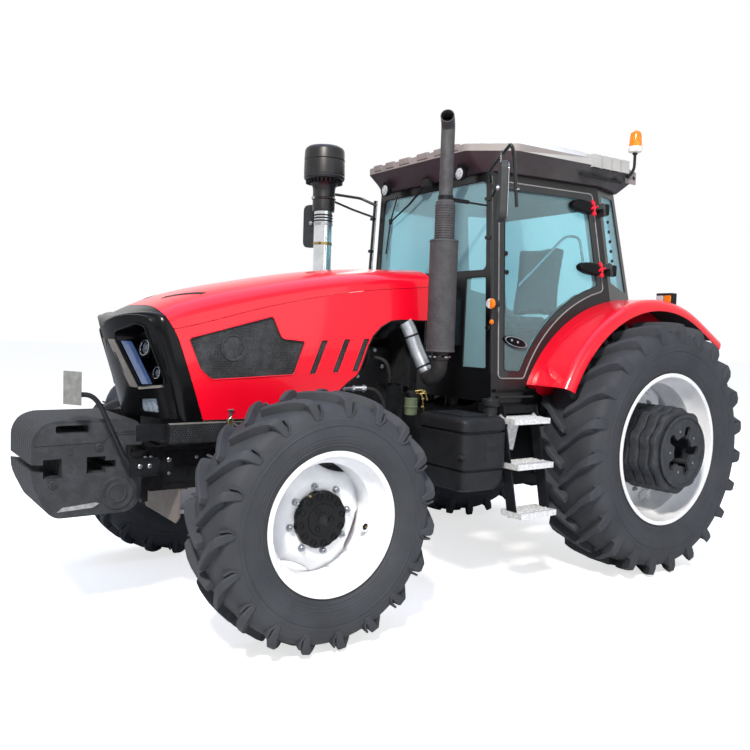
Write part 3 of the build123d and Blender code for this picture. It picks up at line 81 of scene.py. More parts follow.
def lightScene():
    studio = {"ambient": 0.36, "floorColour": "#f4f4f4", "floorLift": 0.69, "floorSize": 60}
    world = bpy.data.worlds.new("studio")
    world.use_nodes = True
    scene.world = world
    tree = world.node_tree
    tree.nodes.clear()
    path = addNode(tree, "ShaderNodeLightPath")
    seen = addNode(tree, "ShaderNodeMath", {"operation": "MAXIMUM"},
                   {0: path.outputs["Is Camera Ray"], 1: path.outputs["Is Glossy Ray"]})
    through = addNode(tree, "ShaderNodeMath", {"operation": "MAXIMUM"},
                      {0: seen.outputs[0], 1: path.outputs["Is Transmission Ray"]})
    soft = addNode(tree, "ShaderNodeBackground", {"Color": toLinear("#eaf1fb"), "Strength": studio["ambient"]})
    white = addNode(tree, "ShaderNodeBackground", {"Color": (1, 1, 1, 1), "Strength": 1.0})
    mixed = addNode(tree, "ShaderNodeMixShader", None,
                    {0: through.outputs[0], 1: soft.outputs[0], 2: white.outputs[0]})
    addNode(tree, "ShaderNodeOutputWorld", None, {"Surface": mixed.outputs[0]})

    floorMesh = bpy.data.meshes.new("floor")
    half = studio["floorSize"]
    floorMesh.from_pydata([(-half, -half, 0), (half, -half, 0), (half, half, 0), (-half, half, 0)], [],
                          [(0, 1, 2, 3)])
    floor = bpy.data.objects.new("floor", floorMesh)
    scene.collection.objects.link(floor)
    paper = bpy.data.materials.new("mattePaperFloor")
    paper.use_nodes = True
    tree = paper.node_tree
    tree.nodes.clear()
    path = addNode(tree, "ShaderNodeLightPath")
    lit = addNode(tree, "ShaderNodeBsdfDiffuse", {"Color": toLinear(studio["floorColour"])})
    lift = addNode(tree, "ShaderNodeMath", {"operation": "MULTIPLY", 1: studio["floorLift"]},
                   {0: path.outputs["Is Camera Ray"]})
    glow = addNode(tree, "ShaderNodeEmission", {"Color": (1, 1, 1, 1)}, {"Strength": lift.outputs[0]})
    both = addNode(tree, "ShaderNodeAddShader", None, {0: lit.outputs[0], 1: glow.outputs[0]})
    addNode(tree, "ShaderNodeOutputMaterial", None, {"Surface": both.outputs[0]})
    floorMesh.materials.append(paper)

    # name, place, aims at, size in metres, watts, colour
    lamps = [
        ("keyLamp", (6.0, -5.5, 7.5), (0, 0, 1.2), 1.0, 1230, "#fff8ef"),
        ("fillLamp", (7.5, 0.5, 3.2), (0, 0.3, 1.0), 4.5, 90, "#ffffff"),
        ("backLamp", (-5.5, 5.5, 6.0), (0, 0, 1.5), 4.0, 160, "#ffffff"),
        ("skyLamp", (0, 0, 9.0), (0, 0, 0), 9.0, 380, "#a9c4ff"),
    ]
    for name, place, aim, size, watts, colour in lamps:
        lamp = bpy.data.lights.new(name, "AREA")
        lamp.energy, lamp.size, lamp.color = watts, size, toLinear(colour)[:3]
        holder = bpy.data.objects.new(name, lamp)
        holder.location = place
        holder.rotation_euler = (Vector(aim) - Vector(place)).to_track_quat("-Z", "Y").to_euler()
        scene.collection.objects.link(holder)


scene.view_settings.view_transform = "Standard"
placeCamera()
lightScene()
print("camera and light")


# ---- Finishes ----
def newFinish(name, look):
    # One real material: two tones in patches, and a fine relief, both at sizes in millimetres
    material = bpy.data.materials.new(name)
    material.use_nodes = True
    tree = material.node_tree
    tree.nodes.clear()
    place = addNode(tree, "ShaderNodeTexCoord").outputs["Object"]
    shader = addNode(tree, "ShaderNodeBsdfPrincipled", {"Base Color": toLinear(look["colour"]),
                                                        "Roughness": look.get("rough", 0.5),
                                                        "Metallic": look.get("metal", 0.0),
                                                        "IOR": look.get("ior", 1.5),
                                                        "Specular IOR Level": look.get("specular", 0.28)})
    for socket, key in [("Coat Weight", "coat"), ("Coat Roughness", "coatRough"), ("Sheen Weight", "sheen"),
                        ("Transmission Weight", "clear"), ("Alpha", "alpha")]:
        if key in look:
            shader.inputs[socket].default_value = look[key]
    if "glow" in look:
        shader.inputs["Emission Color"].default_value = toLinear(look["glow"])
        shader.inputs["Emission Strength"].default_value = look.get("glowPower", 0.3)
    if "tone" in look:
        patches = addNode(tree, "ShaderNodeTexNoise", {"Scale": 1000 / look["patchMm"], "Detail": 5.0,
                                                       "Roughness": 0.6}, {"Vector": place})
        ramp = addNode(tree, "ShaderNodeMapRange", {"From Min": look.get("low", 0.38),
                                                    "From Max": look.get("high", 0.66)},
                       {"Value": patches.outputs["Fac"]})
        mixed = addNode(tree, "ShaderNodeMix", {"data_type": "RGBA", 6: toLinear(look["colour"]),
                                                7: toLinear(look["tone"])}, {0: ramp.outputs[0]})
        tree.links.new(mixed.outputs[2], shader.inputs["Base Color"])
        if "roughTo" in look:
            spread = addNode(tree, "ShaderNodeMapRange", {"To Min": look["rough"], "To Max": look["roughTo"]},
                             {"Value": ramp.outputs[0]})
            tree.links.new(spread.outputs[0], shader.inputs["Roughness"])
    if "grainMm" in look:
        kind = look.get("grain", "ShaderNodeTexNoise")
        grain = addNode(tree, kind, {"Scale": 1000 / look["grainMm"]}, {"Vector": place})
        height = grain.outputs["Distance" if kind == "ShaderNodeTexVoronoi" else "Fac"]
        bump = addNode(tree, "ShaderNodeBump", {"Strength": look.get("relief", 0.3),
                                                "Distance": look["grainMm"] / 1000}, {"Height": height})
        tree.links.new(bump.outputs[0], shader.inputs["Normal"])
    addNode(tree, "ShaderNodeOutputMaterial", None, {"Surface": shader.outputs[0]})
    return material


finish = {}


def addFinishes(looks):
    for name, look in looks.items():
        finish[name] = newFinish(name, look)


addFinishes({
    # Two-pack enamel, sprayed: deep saturated red with a wet coat and a faint orange peel
    "redEnamel": {"colour": "#e20424", "tone": "#d80322", "patchMm": 900, "rough": 0.3, "specular": 0.25,
                  "coat": 0.45, "coatRough": 0.05, "grainMm": 9, "relief": 0.012},
    # Sprayed gloss black over moulded ABS: near black, mirror-like, takes the sky on its top
    "glossBlackAbs": {"colour": "#060709", "tone": "#0a0b0e", "patchMm": 300, "rough": 0.25, "specular": 0.12,
                      "coat": 0.08, "coatRough": 0.08, "grainMm": 8, "relief": 0.01},
    # Powder-coated steel: satin black with a fine texture
    "satinBlackSteel": {"colour": "#101114", "tone": "#181a1d", "patchMm": 60, "specular": 0.16, "rough": 0.42,
                        "roughTo": 0.55, "grainMm": 1.6, "relief": 0.12},
    # Painted grey iron, sand cast: dull charcoal with pitted skin and dusty patches
    "sandCastIron": {"colour": "#2b2e32", "tone": "#3d4045", "patchMm": 60, "rough": 0.62, "roughTo": 0.78,
                     "grainMm": 3.5, "relief": 0.45, "low": 0.42, "high": 0.75},
    # Black-painted casting: darker, with a slight gloss that shows the lumps of the mould
    "paintedCasting": {"colour": "#0e0f11", "tone": "#1a1b1e", "patchMm": 40, "rough": 0.3, "roughTo": 0.5,
                       "grainMm": 6, "relief": 0.22},
    # Enamelled hub casting: wet black that picks up the sky on every edge
    "glossCasting": {"colour": "#08090a", "tone": "#0f1012", "patchMm": 50, "rough": 0.22, "specular": 0.15,
                     "coat": 0.12, "coatRough": 0.1, "grainMm": 6, "relief": 0.1},
    # Vulcanised natural rubber: blue-grey bloom over charcoal, dry sheen
    "treadRubber": {"colour": "#2f3237", "tone": "#3d4045", "patchMm": 240, "rough": 0.62, "roughTo": 0.8,
                    "grainMm": 2.4, "relief": 0.18, "low": 0.35, "high": 0.72},
    # Silver rim paint over pressed steel: pale, soft gloss
    "silverRimPaint": {"colour": "#eceef0", "tone": "#dfe1e4", "patchMm": 160, "rough": 0.3, "coat": 0.3,
                       "coatRough": 0.12, "grainMm": 5, "relief": 0.02},
    # Rotationally moulded polyethylene: charcoal, waxy, slightly pebbled
    "mouldedPolyethylene": {"colour": "#17191c", "tone": "#1f2124", "specular": 0.2, "patchMm": 90,
                            "rough": 0.48, "grainMm": 2.2, "relief": 0.16},
    # Hot-dip galvanised plate: pale grey with crystal patches
    "galvanisedPlate": {"colour": "#c9ccce", "tone": "#eceded", "patchMm": 18, "rough": 0.46, "metal": 0.35,
                        "grainMm": 7, "relief": 0.25},
    # Aluminised exhaust tube: silver-grey, satin
    "aluminisedTube": {"colour": "#aab1ba", "tone": "#c6ccd3", "patchMm": 60, "rough": 0.34, "metal": 0.7,
                       "grainMm": 3, "relief": 0.05},
    # Polished stainless: mirror with faint handling marks
    "polishedStainless": {"colour": "#d7d9dc", "tone": "#c4c7ca", "patchMm": 120, "rough": 0.09,
                          "roughTo": 0.16, "metal": 1.0},
    # High-temperature paint on the silencer: dry dark grey
    "heatPaint": {"colour": "#3a3a3d", "tone": "#48484b", "patchMm": 50, "rough": 0.6, "grainMm": 2.0,
                  "relief": 0.15},
    # Pressed ABS roof shell: light warm grey, satin
    "roofAbs": {"colour": "#a6a7a6", "tone": "#b1b2b0", "patchMm": 260, "rough": 0.45, "grainMm": 2.5,
                "relief": 0.05},
    # The roof's lower visor in grained ABS: brownish grey
    "visorAbs": {"colour": "#3c3236", "tone": "#453a3e", "patchMm": 180, "rough": 0.5, "grainMm": 2.0,
                 "relief": 0.1},
    # Black rubber for seals and hoses: matt, soft edge
    "sealRubber": {"colour": "#17181a", "tone": "#222325", "patchMm": 40, "rough": 0.7, "grainMm": 1.5,
                   "relief": 0.1},
    # Zinc-plated, yellow-chromated hardware: dull gold
    "yellowZinc": {"colour": "#a8945c", "tone": "#83754f", "patchMm": 14, "rough": 0.3, "metal": 0.9,
                   "grainMm": 2, "relief": 0.05},
    # Bright zinc bolts
    "brightZinc": {"colour": "#a9adb2", "tone": "#8c9095", "patchMm": 12, "rough": 0.3, "metal": 0.9,
                   "grainMm": 2, "relief": 0.05},
    # Folded steel guard in dusty grey primer
    "greyPrimer": {"colour": "#655f5b", "tone": "#726b66", "patchMm": 80, "rough": 0.6, "grainMm": 2.5,
                   "relief": 0.1},
    # Grained cab trim, injection moulded: dark grey, matt
    "cabTrim": {"colour": "#2a2c2e", "tone": "#333537", "patchMm": 70, "rough": 0.58, "grainMm": 1.8,
                "relief": 0.2},
    # Amber and red lenses: acrylic that passes light, prism ribs below the skin
    "amberAcrylic": {"colour": "#f07a10", "tone": "#ff9a2a", "patchMm": 14, "rough": 0.12, "clear": 0.35,
                     "ior": 1.49, "glow": "#f07a10", "glowPower": 0.12},
    "redAcrylic": {"colour": "#b40c10", "tone": "#d01518", "patchMm": 14, "rough": 0.12, "clear": 0.3,
                   "ior": 1.49},
    # Silvered reflector bowl
    "reflectorBowl": {"colour": "#cdd2d8", "tone": "#9aa2ad", "patchMm": 16, "rough": 0.12, "metal": 1.0},
    # White plastic base
    "whitePlastic": {"colour": "#e8e6e1", "tone": "#dddbd6", "patchMm": 50, "rough": 0.4, "grainMm": 2,
                     "relief": 0.04},
    # Red anodised clips on the hinges
    "redClip": {"colour": "#c41228", "tone": "#dd2036", "patchMm": 10, "rough": 0.3, "grainMm": 2,
                "relief": 0.04},
    # Olive filter can, painted
    "oliveEnamel": {"colour": "#4d5744", "tone": "#5c6752", "patchMm": 40, "rough": 0.35, "grainMm": 3,
                    "relief": 0.05},
    # Woven seat cloth, 2 mm pick drawn as bump: grey with a soft nap
    "wovenSeatCloth": {"colour": "#3a3d42", "tone": "#4b4f55", "patchMm": 5, "rough": 0.9, "sheen": 0.35,
                       "grainMm": 3, "relief": 0.5},
})


def newGlass(name, look):
    # Tempered cab glass: what lies behind shows through its tint, and the skin mirrors more at a slant
    material = bpy.data.materials.new(name)
    material.use_nodes = True
    tree = material.node_tree
    tree.nodes.clear()
    place = addNode(tree, "ShaderNodeTexCoord").outputs["Object"]
    haze = addNode(tree, "ShaderNodeTexNoise", {"Scale": 1000 / look["patchMm"], "Detail": 3.0},
                   {"Vector": place})
    tint = addNode(tree, "ShaderNodeMix", {"data_type": "RGBA", 6: toLinear(look["colour"]),
                                           7: toLinear(look["tone"])}, {0: haze.outputs["Fac"]})
    skin = addNode(tree, "ShaderNodeBsdfPrincipled",
                   {"Roughness": 0.02, "IOR": 1.52, "Specular IOR Level": 0.5}, {"Base Color": tint.outputs[2]})
    through = addNode(tree, "ShaderNodeBsdfTransparent", None, {"Color": tint.outputs[2]})
    slant = addNode(tree, "ShaderNodeLayerWeight", {"Blend": 0.3})
    share = addNode(tree, "ShaderNodeMapRange", {"To Min": look["alpha"], "To Max": 0.55},
                    {"Value": slant.outputs["Fresnel"]})
    both = addNode(tree, "ShaderNodeMixShader", None, {0: share.outputs[0], 1: through.outputs[0],
                                                       2: skin.outputs[0]})
    addNode(tree, "ShaderNodeOutputMaterial", None, {"Surface": both.outputs[0]})
    material.surface_render_method = "BLENDED"
    return material


# Green-blue tempered glass: the front and quarter panes look sky blue, the door panes greyer and darker
finish["skyGlass"] = newGlass("skyGlass", {"colour": "#dcf5fa", "tone": "#e3f8fc", "patchMm": 400,
                                           "alpha": 0.05})
finish["doorGlass"] = newGlass("doorGlass", {"colour": "#dbf5f9", "tone": "#e1f7fb", "patchMm": 400,
                                             "alpha": 0.07})
print("finishes:", len(finish))


# ---- Making meshes ----
origin, xAxis, yAxis, zAxis = (0, 0, 0), (1, 0, 0), (0, 1, 0), (0, 0, 1)


def newPart(verts, faces):
    part = bmesh.new()
    made = [part.verts.new(v) for v in verts]
    for face in faces:
        part.faces.new([made[i] for i in face])
    return part


def asMesh(part, name="part"):
    # The finished part as a plain mesh; the working copy is let go
    mesh = bpy.data.meshes.new(name)
    part.to_mesh(mesh)
    part.free()
    return mesh


def mirrored(mesh):
    mesh.transform(Matrix.Scale(-1, 4, xAxis))
    mesh.flip_normals()


def ringPoints(centre, side, up, radius, sides):
    angles = [2 * pi * k / sides for k in range(sides)]
    return [centre + (side * cos(a) + up * sin(a)) * radius for a in angles]


def bandFaces(bands, around, closed=True):
    # Quads between neighbouring loops of points
    return [(b * around + k, b * around + (k + 1) % around, (b + 1) * around + (k + 1) % around,
             (b + 1) * around + k) for b in range(bands) for k in range(around if closed else around - 1)]


def capFaces(bands, around):
    return [tuple(range(around - 1, -1, -1)), tuple(range(bands * around, (bands + 1) * around))]


def prismFaces(n):
    # Two outlines of n points joined by a wall
    ends = [tuple(range(n)), tuple(range(2 * n - 1, n - 1, -1))]
    return ends + [(i, (i + 1) % n, (i + 1) % n + n, i + n) for i in range(n)]


def rod(start, end, radius):
    # Profile of a plain round bar
    return [(start, 0), (start, radius), (end, radius), (end, 0)]


class Piece:
    # One piece of the tractor: it gathers parts, each with its own finish, then rides on a body
    def __init__(self, name):
        self.name = name
        self.mesh = bmesh.new()
        self.finishes = []

    def join(self, mesh, finishName, place=None):
        # Takes in a plain mesh, moved to its place
        if finishName not in self.finishes:
            self.finishes.append(finishName)
        if place is not None:
            mesh.transform(place)
        first = len(self.mesh.faces)
        self.mesh.from_mesh(mesh)
        self.mesh.faces.ensure_lookup_table()
        for face in self.mesh.faces[first:]:
            face.material_index = self.finishes.index(finishName)
        bpy.data.meshes.remove(mesh)

    def add(self, verts, faces, finishName, bevel=0.0, segments=2, sharp=30):
        part = newPart(verts, faces)
        bmesh.ops.recalc_face_normals(part, faces=part.faces)
        if bevel:
            edges = [e for e in part.edges if len(e.link_faces) == 2 and e.calc_face_angle() > radians(sharp)]
            bmesh.ops.bevel(part, geom=edges, offset=bevel, segments=segments, affect="EDGES",
                            clamp_overlap=True, profile=0.6)
        self.join(asMesh(part), finishName)

    def box(self, centre, size, finishName, bevel=0.004, turn=(0, 0, 0)):
        place = Matrix.Translation(centre) @ Euler([radians(t) for t in turn]).to_matrix().to_4x4()
        corners = [place @ Vector((x * size[0] / 2, y * size[1] / 2, z * size[2] / 2))
                   for x in (-1, 1) for y in (-1, 1) for z in (-1, 1)]
        self.add(corners, [(0, 1, 3, 2), (4, 6, 7, 5), (0, 4, 5, 1), (2, 3, 7, 6), (0, 2, 6, 4), (1, 5, 7, 3)],
                 finishName, bevel)

    def slab(self, outline, place, depth, finishName, bevel=0.003, segments=2, shrink=1.0):
        # A flat outline in the place's x and y, as deep as said along its z
        n = len(outline)
        mid = Vector((sum(p[0] for p in outline) / n, sum(p[1] for p in outline) / n))
        far = [mid + (Vector(p[:2]) - mid) * shrink for p in outline]
        verts = [place @ Vector((x, y, 0)) for x, y in outline]
        verts += [place @ Vector((p.x, p.y, depth)) for p in far]
        self.add(verts, prismFaces(n), finishName, bevel, segments)

    def turned(self, profile, centre, axis, finishName, steps=48, closed=False, wave=None):
        # A profile of (along, radius) turned about an axis; wave changes the radius by angle
        axis = Vector(axis).normalized()
        side = axis.orthogonal().normalized() if abs(axis.x) < 0.9 else Vector(zAxis)
        other = axis.cross(side)
        verts, faces = [], []
        count = len(profile)
        for i in range(steps):
            angle = 2 * pi * i / steps
            out = side * cos(angle) + other * sin(angle)
            for along, radius in profile:
                grown = radius + (wave(angle, along, radius) if wave and radius > 1e-6 else 0)
                verts.append(Vector(centre) + axis * along + out * grown)
        spans = count if closed else count - 1
        for i in range(steps):
            j = (i + 1) % steps
            for k in range(spans):
                m = (k + 1) % count
                faces.append((i * count + k, i * count + m, j * count + m, j * count + k))
        part = newPart(verts, faces)
        bmesh.ops.remove_doubles(part, verts=part.verts, dist=1e-6)
        loose = [f for f in part.faces if f.calc_area() < 1e-12]
        bmesh.ops.delete(part, geom=loose, context="FACES")
        bmesh.ops.recalc_face_normals(part, faces=part.faces)
        self.join(asMesh(part), finishName)

    def tube(self, points, radius, finishName, sides=12, bend=0.0, steps=5):
        # A round bar along a path whose corners are rounded by bend
        path = rounded(points, bend, steps) if bend else [Vector(p) for p in points]
        verts = []
        side = (path[1] - path[0]).normalized().orthogonal().normalized()
        for i, spot in enumerate(path):
            before = path[i] - path[i - 1] if i else path[1] - path[0]
            after = path[i + 1] - path[i] if i < len(path) - 1 else before
            now = (before.normalized() + after.normalized()).normalized()
            side = (side - now * side.dot(now)).normalized()
            verts += ringPoints(spot, side, now.cross(side), radius, sides)
        bands = len(path) - 1
        self.add(verts, bandFaces(bands, sides) + capFaces(bands, sides), finishName)

    def joinRing(self, part, finishName, *where):
        self.join(ring(part, finishName, *where), finishName)

    def joinRows(self, part, finishName, *where):
        self.join(rows(part, finishName, *where), finishName)

    def moveBy(self, step):
        bmesh.ops.transform(self.mesh, matrix=Matrix.Translation(step), verts=self.mesh.verts)

    def reflect(self):
        # Adds the same parts on the other side
        mesh = bpy.data.meshes.new("twin")
        self.mesh.to_mesh(mesh)
        mirrored(mesh)
        self.mesh.from_mesh(mesh)
        bpy.data.meshes.remove(mesh)

    def done(self, body, replaces=(), slotName=None, flip=False, smooth=34, weighted=True):
        mesh = asMesh(self.mesh, self.name)
        if flip:
            mirrored(mesh)
        for finishName in self.finishes:
            mesh.materials.append(finish[finishName])
        mesh.shade_smooth()
        mesh.set_sharp_from_angle(angle=radians(smooth))
        piece = bpy.data.objects.new(self.name, mesh)
        scene.collection.objects.link(piece)
        if weighted:
            even = piece.modifiers.new("evenShading", "WEIGHTED_NORMAL")
            even.keep_sharp = True
        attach(piece, body)
        if replaces:
            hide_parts(*replaces)
        return piece


def rounded(points, bend, steps=5):
    # The same path with its inner corners turned into arcs
    points = [Vector(p) for p in points]
    path = [points[0]]
    for before, corner, after in zip(points, points[1:], points[2:]):
        back, on = (before - corner), (after - corner)
        reach = min(bend, back.length * 0.49, on.length * 0.49)
        start, end = corner + back.normalized() * reach, corner + on.normalized() * reach
        for i in range(steps + 1):
            t = i / steps
            path.append(start * (1 - t) ** 2 + corner * 2 * t * (1 - t) + end * t ** 2)
    return path + [points[-1]]


def facing(origin, x, y):
    # A place whose x and y run along the given directions
    x = Vector(x).normalized()
    y = (Vector(y) - x * Vector(y).dot(x)).normalized()
    return Matrix.Translation(origin) @ Matrix((x, y, x.cross(y))).transposed().to_4x4()


def scaled(loop, share):
    # A flat loop made larger or smaller about its middle
    midA, midB = (sum(p[k] for p in loop) / len(loop) for k in (0, 1))
    return [(midA + (a - midA) * share, midB + (b - midB) * share) for a, b in loop]


def softCorners(outline, bend, steps=3):
    # A closed outline with rounded corners
    made = []
    n = len(outline)
    for i in range(n):
        before, corner, after = (Vector(outline[(i + k) % n][:2]) for k in (-1, 0, 1))
        back, on = before - corner, after - corner
        reach = min(bend, back.length * 0.45, on.length * 0.45)
        start, end = corner + back.normalized() * reach, corner + on.normalized() * reach
        for k in range(steps + 1):
            t = k / steps
            p = start * (1 - t) ** 2 + corner * 2 * t * (1 - t) + end * t ** 2
            made.append((p.x, p.y))
    return made


def newTree(name, inputs):
    # A node tree with named inputs that ends in real, dressed meshes
    tree = bpy.data.node_groups.new(name, "GeometryNodeTree")
    for label, kind in [("Geometry", "Geometry"), ("Part", "Object"), ("Finish", "Material"),
                        ("Count", "Int")] + inputs:
        tree.interface.new_socket(label, in_out="INPUT", socket_type="NodeSocket" + kind)
    tree.interface.new_socket("Geometry", in_out="OUTPUT", socket_type="NodeSocketGeometry")
    given = addNode(tree, "NodeGroupInput")
    number = addNode(tree, "GeometryNodeInputIndex")
    return tree, given.outputs, number.outputs[0]


def finishTree(tree, given, place, turn):
    spots = addNode(tree, "GeometryNodePoints", None, {"Count": given["Count"], "Position": place})
    part = addNode(tree, "GeometryNodeObjectInfo", None, {"Object": given["Part"]})
    copies = addNode(tree, "GeometryNodeInstanceOnPoints", None,
                     {"Points": spots.outputs[0], "Instance": part.outputs["Geometry"], "Rotation": turn})
    real = addNode(tree, "GeometryNodeRealizeInstances", None, {"Geometry": copies.outputs[0]})
    dressed = addNode(tree, "GeometryNodeSetMaterial", None,
                      {"Geometry": real.outputs[0], "Material": given["Finish"]})
    addNode(tree, "NodeGroupOutput", None, {"Geometry": dressed.outputs[0]})
    return tree


def turnedCopiesTree():
    # Copies turned about one centre: Start and Step are turns in radians about x, y and z
    tree, given, number = newTree("turnedCopies", [("Centre", "Vector"), ("Start", "Vector"),
                                                   ("Step", "Vector")])
    turn = addNode(tree, "ShaderNodeVectorMath", {"operation": "MULTIPLY_ADD"},
                   {0: number, 1: given["Step"], 2: given["Start"]})
    return finishTree(tree, given, given["Centre"], turn.outputs[0])


def rowedCopiesTree():
    # Copies in rows: Across in a row, and every other row moved by Shift
    tree, given, number = newTree("rowedCopies", [("Across", "Int"), ("First", "Vector"), ("Along", "Vector"),
                                                  ("Next", "Vector"), ("Shift", "Vector"), ("Turn", "Vector")])
    place = addNode(tree, "ShaderNodeMath", {"operation": "MODULO"}, {0: number, 1: given["Across"]})
    share = addNode(tree, "ShaderNodeMath", {"operation": "DIVIDE"}, {0: number, 1: given["Across"]})
    row = addNode(tree, "ShaderNodeMath", {"operation": "FLOOR"}, {0: share.outputs[0]})
    odd = addNode(tree, "ShaderNodeMath", {"operation": "MODULO", 1: 2.0}, {0: row.outputs[0]})
    a = addNode(tree, "ShaderNodeVectorMath", {"operation": "MULTIPLY_ADD"},
                {0: place.outputs[0], 1: given["Along"], 2: given["First"]})
    b = addNode(tree, "ShaderNodeVectorMath", {"operation": "MULTIPLY_ADD"},
                {0: row.outputs[0], 1: given["Next"], 2: a.outputs[0]})
    c = addNode(tree, "ShaderNodeVectorMath", {"operation": "MULTIPLY_ADD"},
                {0: odd.outputs[0], 1: given["Shift"], 2: b.outputs[0]})
    return finishTree(tree, given, c.outputs[0], given["Turn"])


trees = {"turned": turnedCopiesTree(), "rowed": rowedCopiesTree()}


def copies(treeName, part, finishName, values):
    # Runs a tree over one part (a Piece that isn't finished) and gives back a plain mesh
    source = bpy.data.meshes.new("source")
    part.mesh.to_mesh(source)
    source.materials.append(finish[finishName])
    sourceObject = bpy.data.objects.new("source", source)
    holder = bpy.data.objects.new("holder", bpy.data.meshes.new("holder"))
    for thing in (sourceObject, holder):
        scene.collection.objects.link(thing)
    modifier = holder.modifiers.new("copies", "NODES")
    modifier.node_group = trees[treeName]
    sockets = {s.name: s.identifier for s in trees[treeName].interface.items_tree if s.in_out == "INPUT"}
    for name, value in {**values, "Part": sourceObject, "Finish": finish[finishName]}.items():
        modifier[sockets[name]] = value
    made = bpy.data.meshes.new_from_object(holder.evaluated_get(bpy.context.evaluated_depsgraph_get()))
    made.materials.clear()
    holder.modifiers.clear()
    for thing in (sourceObject, holder):
        used = thing.data
        bpy.data.objects.remove(thing)
        bpy.data.meshes.remove(used)
    return made


def ring(part, finishName, count, centre, start=0.0, axis="x", sweep=360.0):
    # A ring of copies about an axle
    pick = {"x": xAxis, "y": yAxis, "z": zAxis}[axis]
    return copies("turned", part, finishName, {
        "Count": count, "Centre": centre, "Start": tuple(radians(start) * p for p in pick),
        "Step": tuple(radians(sweep / count) * p for p in pick)})


def rows(part, finishName, first, along, across, following=(0, 0, 0), down=1, shift=(0, 0, 0), turn=(0, 0, 0)):
    return copies("rowed", part, finishName, {"Count": across * down, "Across": across, "First": first,
                                              "Along": along, "Next": following, "Shift": shift,
                                              "Turn": tuple(radians(t) for t in turn)})


def inside(outline, x, y):
    # Whether a point lies within a closed outline
    hit = False
    for (x1, y1), (x2, y2) in zip(outline, outline[1:] + outline[:1]):
        if (y1 > y) != (y2 > y) and x < (x2 - x1) * (y - y1) / (y2 - y1) + x1:
            hit = not hit
    return hit


def flatFaces(loops, extra, outline, holes):
    # Triangles through the loops and the extra points, kept within the outline and off the holes
    edges, points = [], []
    for loop in loops:
        first = len(points)
        points += loop
        edges += [(first + i, first + (i + 1) % len(loop)) for i in range(len(loop))]
    verts, _, faces, _, _, _ = geometry.delaunay_2d_cdt([Vector(p) for p in points + extra], edges, [], 0, 1e-6)
    kept = []
    for face in faces:
        a, b = sum(verts[i].x for i in face) / 3, sum(verts[i].y for i in face) / 3
        if inside(outline, a, b) and not any(inside(hole, a, b) for hole in holes):
            kept.append(tuple(face))
    return verts, kept


def cutPlate(outline, holes, x0, x1, piece, finishName, bevel=0.004):
    # A plate with holes through it, from x0 to x1
    verts, faces = flatFaces([outline] + holes, [], outline, holes)
    part = newPart([(x0, v.x, v.y) for v in verts], faces)
    bmesh.ops.delete(part, geom=[v for v in part.verts if not v.link_faces], context="VERTS")
    grown = bmesh.ops.extrude_face_region(part, geom=part.faces[:])
    moved = [v for v in grown["geom"] if isinstance(v, bmesh.types.BMVert)]
    bmesh.ops.translate(part, vec=(x1 - x0, 0, 0), verts=moved)
    bmesh.ops.recalc_face_normals(part, faces=part.faces)
    if bevel:
        sharp = [e for e in part.edges if len(e.link_faces) == 2 and e.calc_face_angle() > radians(50)
                 and abs(e.verts[0].co.x - e.verts[1].co.x) < 1e-6]
        bmesh.ops.bevel(part, geom=sharp, offset=bevel, segments=2, affect="EDGES", clamp_overlap=True)
    piece.join(asMesh(part), finishName)


# ---- Tyres ----
frontWheelAt = (0.975, -1.26, 0.64)
rearWheelAt = (0.955, 1.355, 0.85)


def barFaces(stations):
    # A square bar through stations of four points, closed at its ends
    return bandFaces(stations - 1, 4) + [(0, 3, 2, 1), tuple((stations - 1) * 4 + k for k in range(4))]


